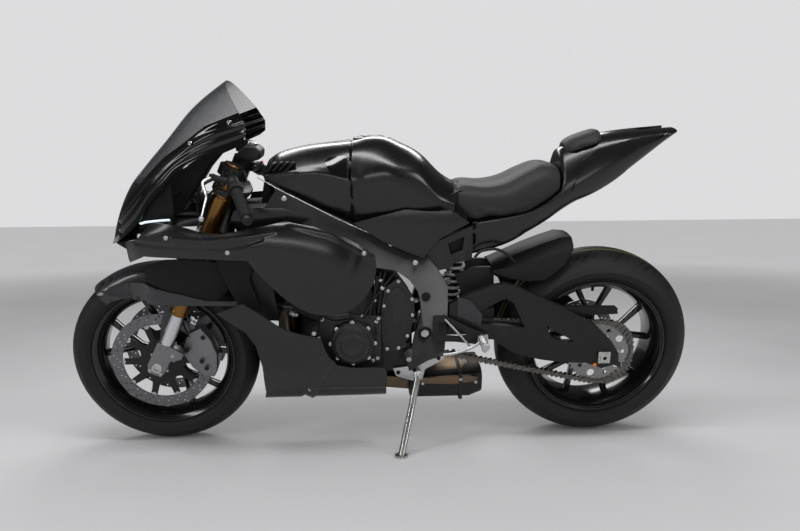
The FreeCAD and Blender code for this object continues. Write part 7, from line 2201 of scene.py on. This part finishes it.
    def footrests(self) -> None:
        """Make the footrest hangers, pegs and pedals."""
        outline = [(545, 472), (511, 475), (429, 431), (383, 412), (376, 392), (396, 374), (475, 386), (545, 388)]
        opening = [(527, 450), (505, 452), (450, 422), (430, 408), (470, 404), (527, 410)]
        form = Form().plate([outline, opening], 152.8, 161.5).mirror().outward()
        Workshop.piece("footrest_hangers", form, ALLOY_BLACK, Body.CHASSIS, Trim(bevel=1.6), ["footrests"])
        pegs = Form().rod((394, 161, 398), (394, 176, 398), 14, 28)
        pegs.lathe([(176, 9), (178, 12.5)] + [(180 + 6 * k + d, r) for k in range(9) for d, r in
                                             ((0, 12.5), (1, 11.2), (3, 11.2), (4, 12.5))] + [(236, 12.5), (238, 10)],
                   (394, 0, 398), self.out, 28)
        pegs.plate([[(408, 408), (376, 412), (372, 362), (382, 350), (392, 356), (396, 384)]], 162, 170)
        Workshop.piece("footpegs", pegs.mirror().outward(), SILVER, Body.CHASSIS, Trim(bevel=0.7))
        pedal = Form().tube(curve_through([(394, 172, 392), (430, 178, 372), (480, 180, 356), (520, 182, 352)], 30), 5, 14)
        pedal.rod((520, 176, 352), (520, 205, 352), 6.5, 20)
        pedal.tube(curve_through([(430, 174, 374), (470, 168, 420), (510, 160, 462)], 20), 3.2, 12)
        Workshop.piece("shift_and_brake_pedals", pedal.mirror().outward(), SILVER, Body.CHASSIS, Trim(bevel=0.5))
        heels = Form().plate([[(470, 470), (430, 452), (398, 432), (392, 470), (430, 520), (470, 530)]], 152.8, 155.4)
        Workshop.piece("heel_guards", heels.mirror().outward(), CARBON, Body.CHASSIS, Trim(bevel=0.8))

    def exhaust(self) -> None:
        """Add the muffler's bronze top and sides, its strap and its bolts."""
        top = Form().net([[(604, y, z + 1.6), (420, y, z + 15.6), (380, y, z + 19.4)] for y, z in
                          ((-84, 223), (-60, 231), (0, 233), (60, 231), (84, 223))])
        Workshop.piece("muffler_top", top, BRONZE, Body.CHASSIS, Trim(wall=1.2, bevel=0.4))
        side = Form().plate([[(604, 222), (560, 234), (420, 240), (388, 234), (398, 218), (470, 210), (560, 214)]], 88,
                            97.4).mirror().outward()
        Workshop.piece("muffler_sides", side, BRONZE, Body.CHASSIS, Trim(bevel=1.2))
        band = Form().plate([[(452, 250), (440, 250), (440, 156), (452, 156)]], -98.5, 98.5).outward()
        Workshop.piece("muffler_strap", band, ALLOY_BLACK, Body.CHASSIS, Trim(bevel=2.0))
        bolts = [Spot((x, side * 98.0, z), (0.0, float(side), 0.0)) for side in (-1, 1)
                 for x, z in ((446, 226), (570, 214), (396, 216))]
        Repeat.piece("muffler_bolts", Hardware.socket_bolt(4.2, 3), bolts, PLATED, Body.CHASSIS)

    def stand_fittings(self) -> None:
        """Put the bolts on the side stand's bracket."""
        spots = [Spot((x, 110.5, z), self.out) for x, z in ((650, 262), (520, 309), (600, 272))]
        Repeat.piece("stand_bracket_bolts", Hardware.socket_bolt(5.6, 4), spots, ALLOY_BLACK, Body.CHASSIS)

    def build(self) -> None:
        """Make the machine's details."""
        self.round_cover("alternator_cover", 792, 388, 1)
        self.round_cover("clutch_cover", 784, 394, -1)
        self.sprocket_cover()
        self.case()
        self.frame_hardware()
        self.shock()
        self.footrests()
        self.exhaust()
        self.stand_fittings()


def main() -> None:
    """Build the studio and every sub-assembly in order, and report what was made."""
    logging.basicConfig(level=logging.INFO, format="%(name)s: %(message)s")
    Studio().build()
    assemblies = (FRONT_WHEEL, REAR_WHEEL, FinalDrive(), FrontEnd(), Bodywork(), Saddle(), Powertrain())
    for assembly in assemblies:
        assembly.build()
    REAR_WHEEL.mark()
    for refined in REFINED:
        refined.build()


if __name__ == "__main__":
    main()
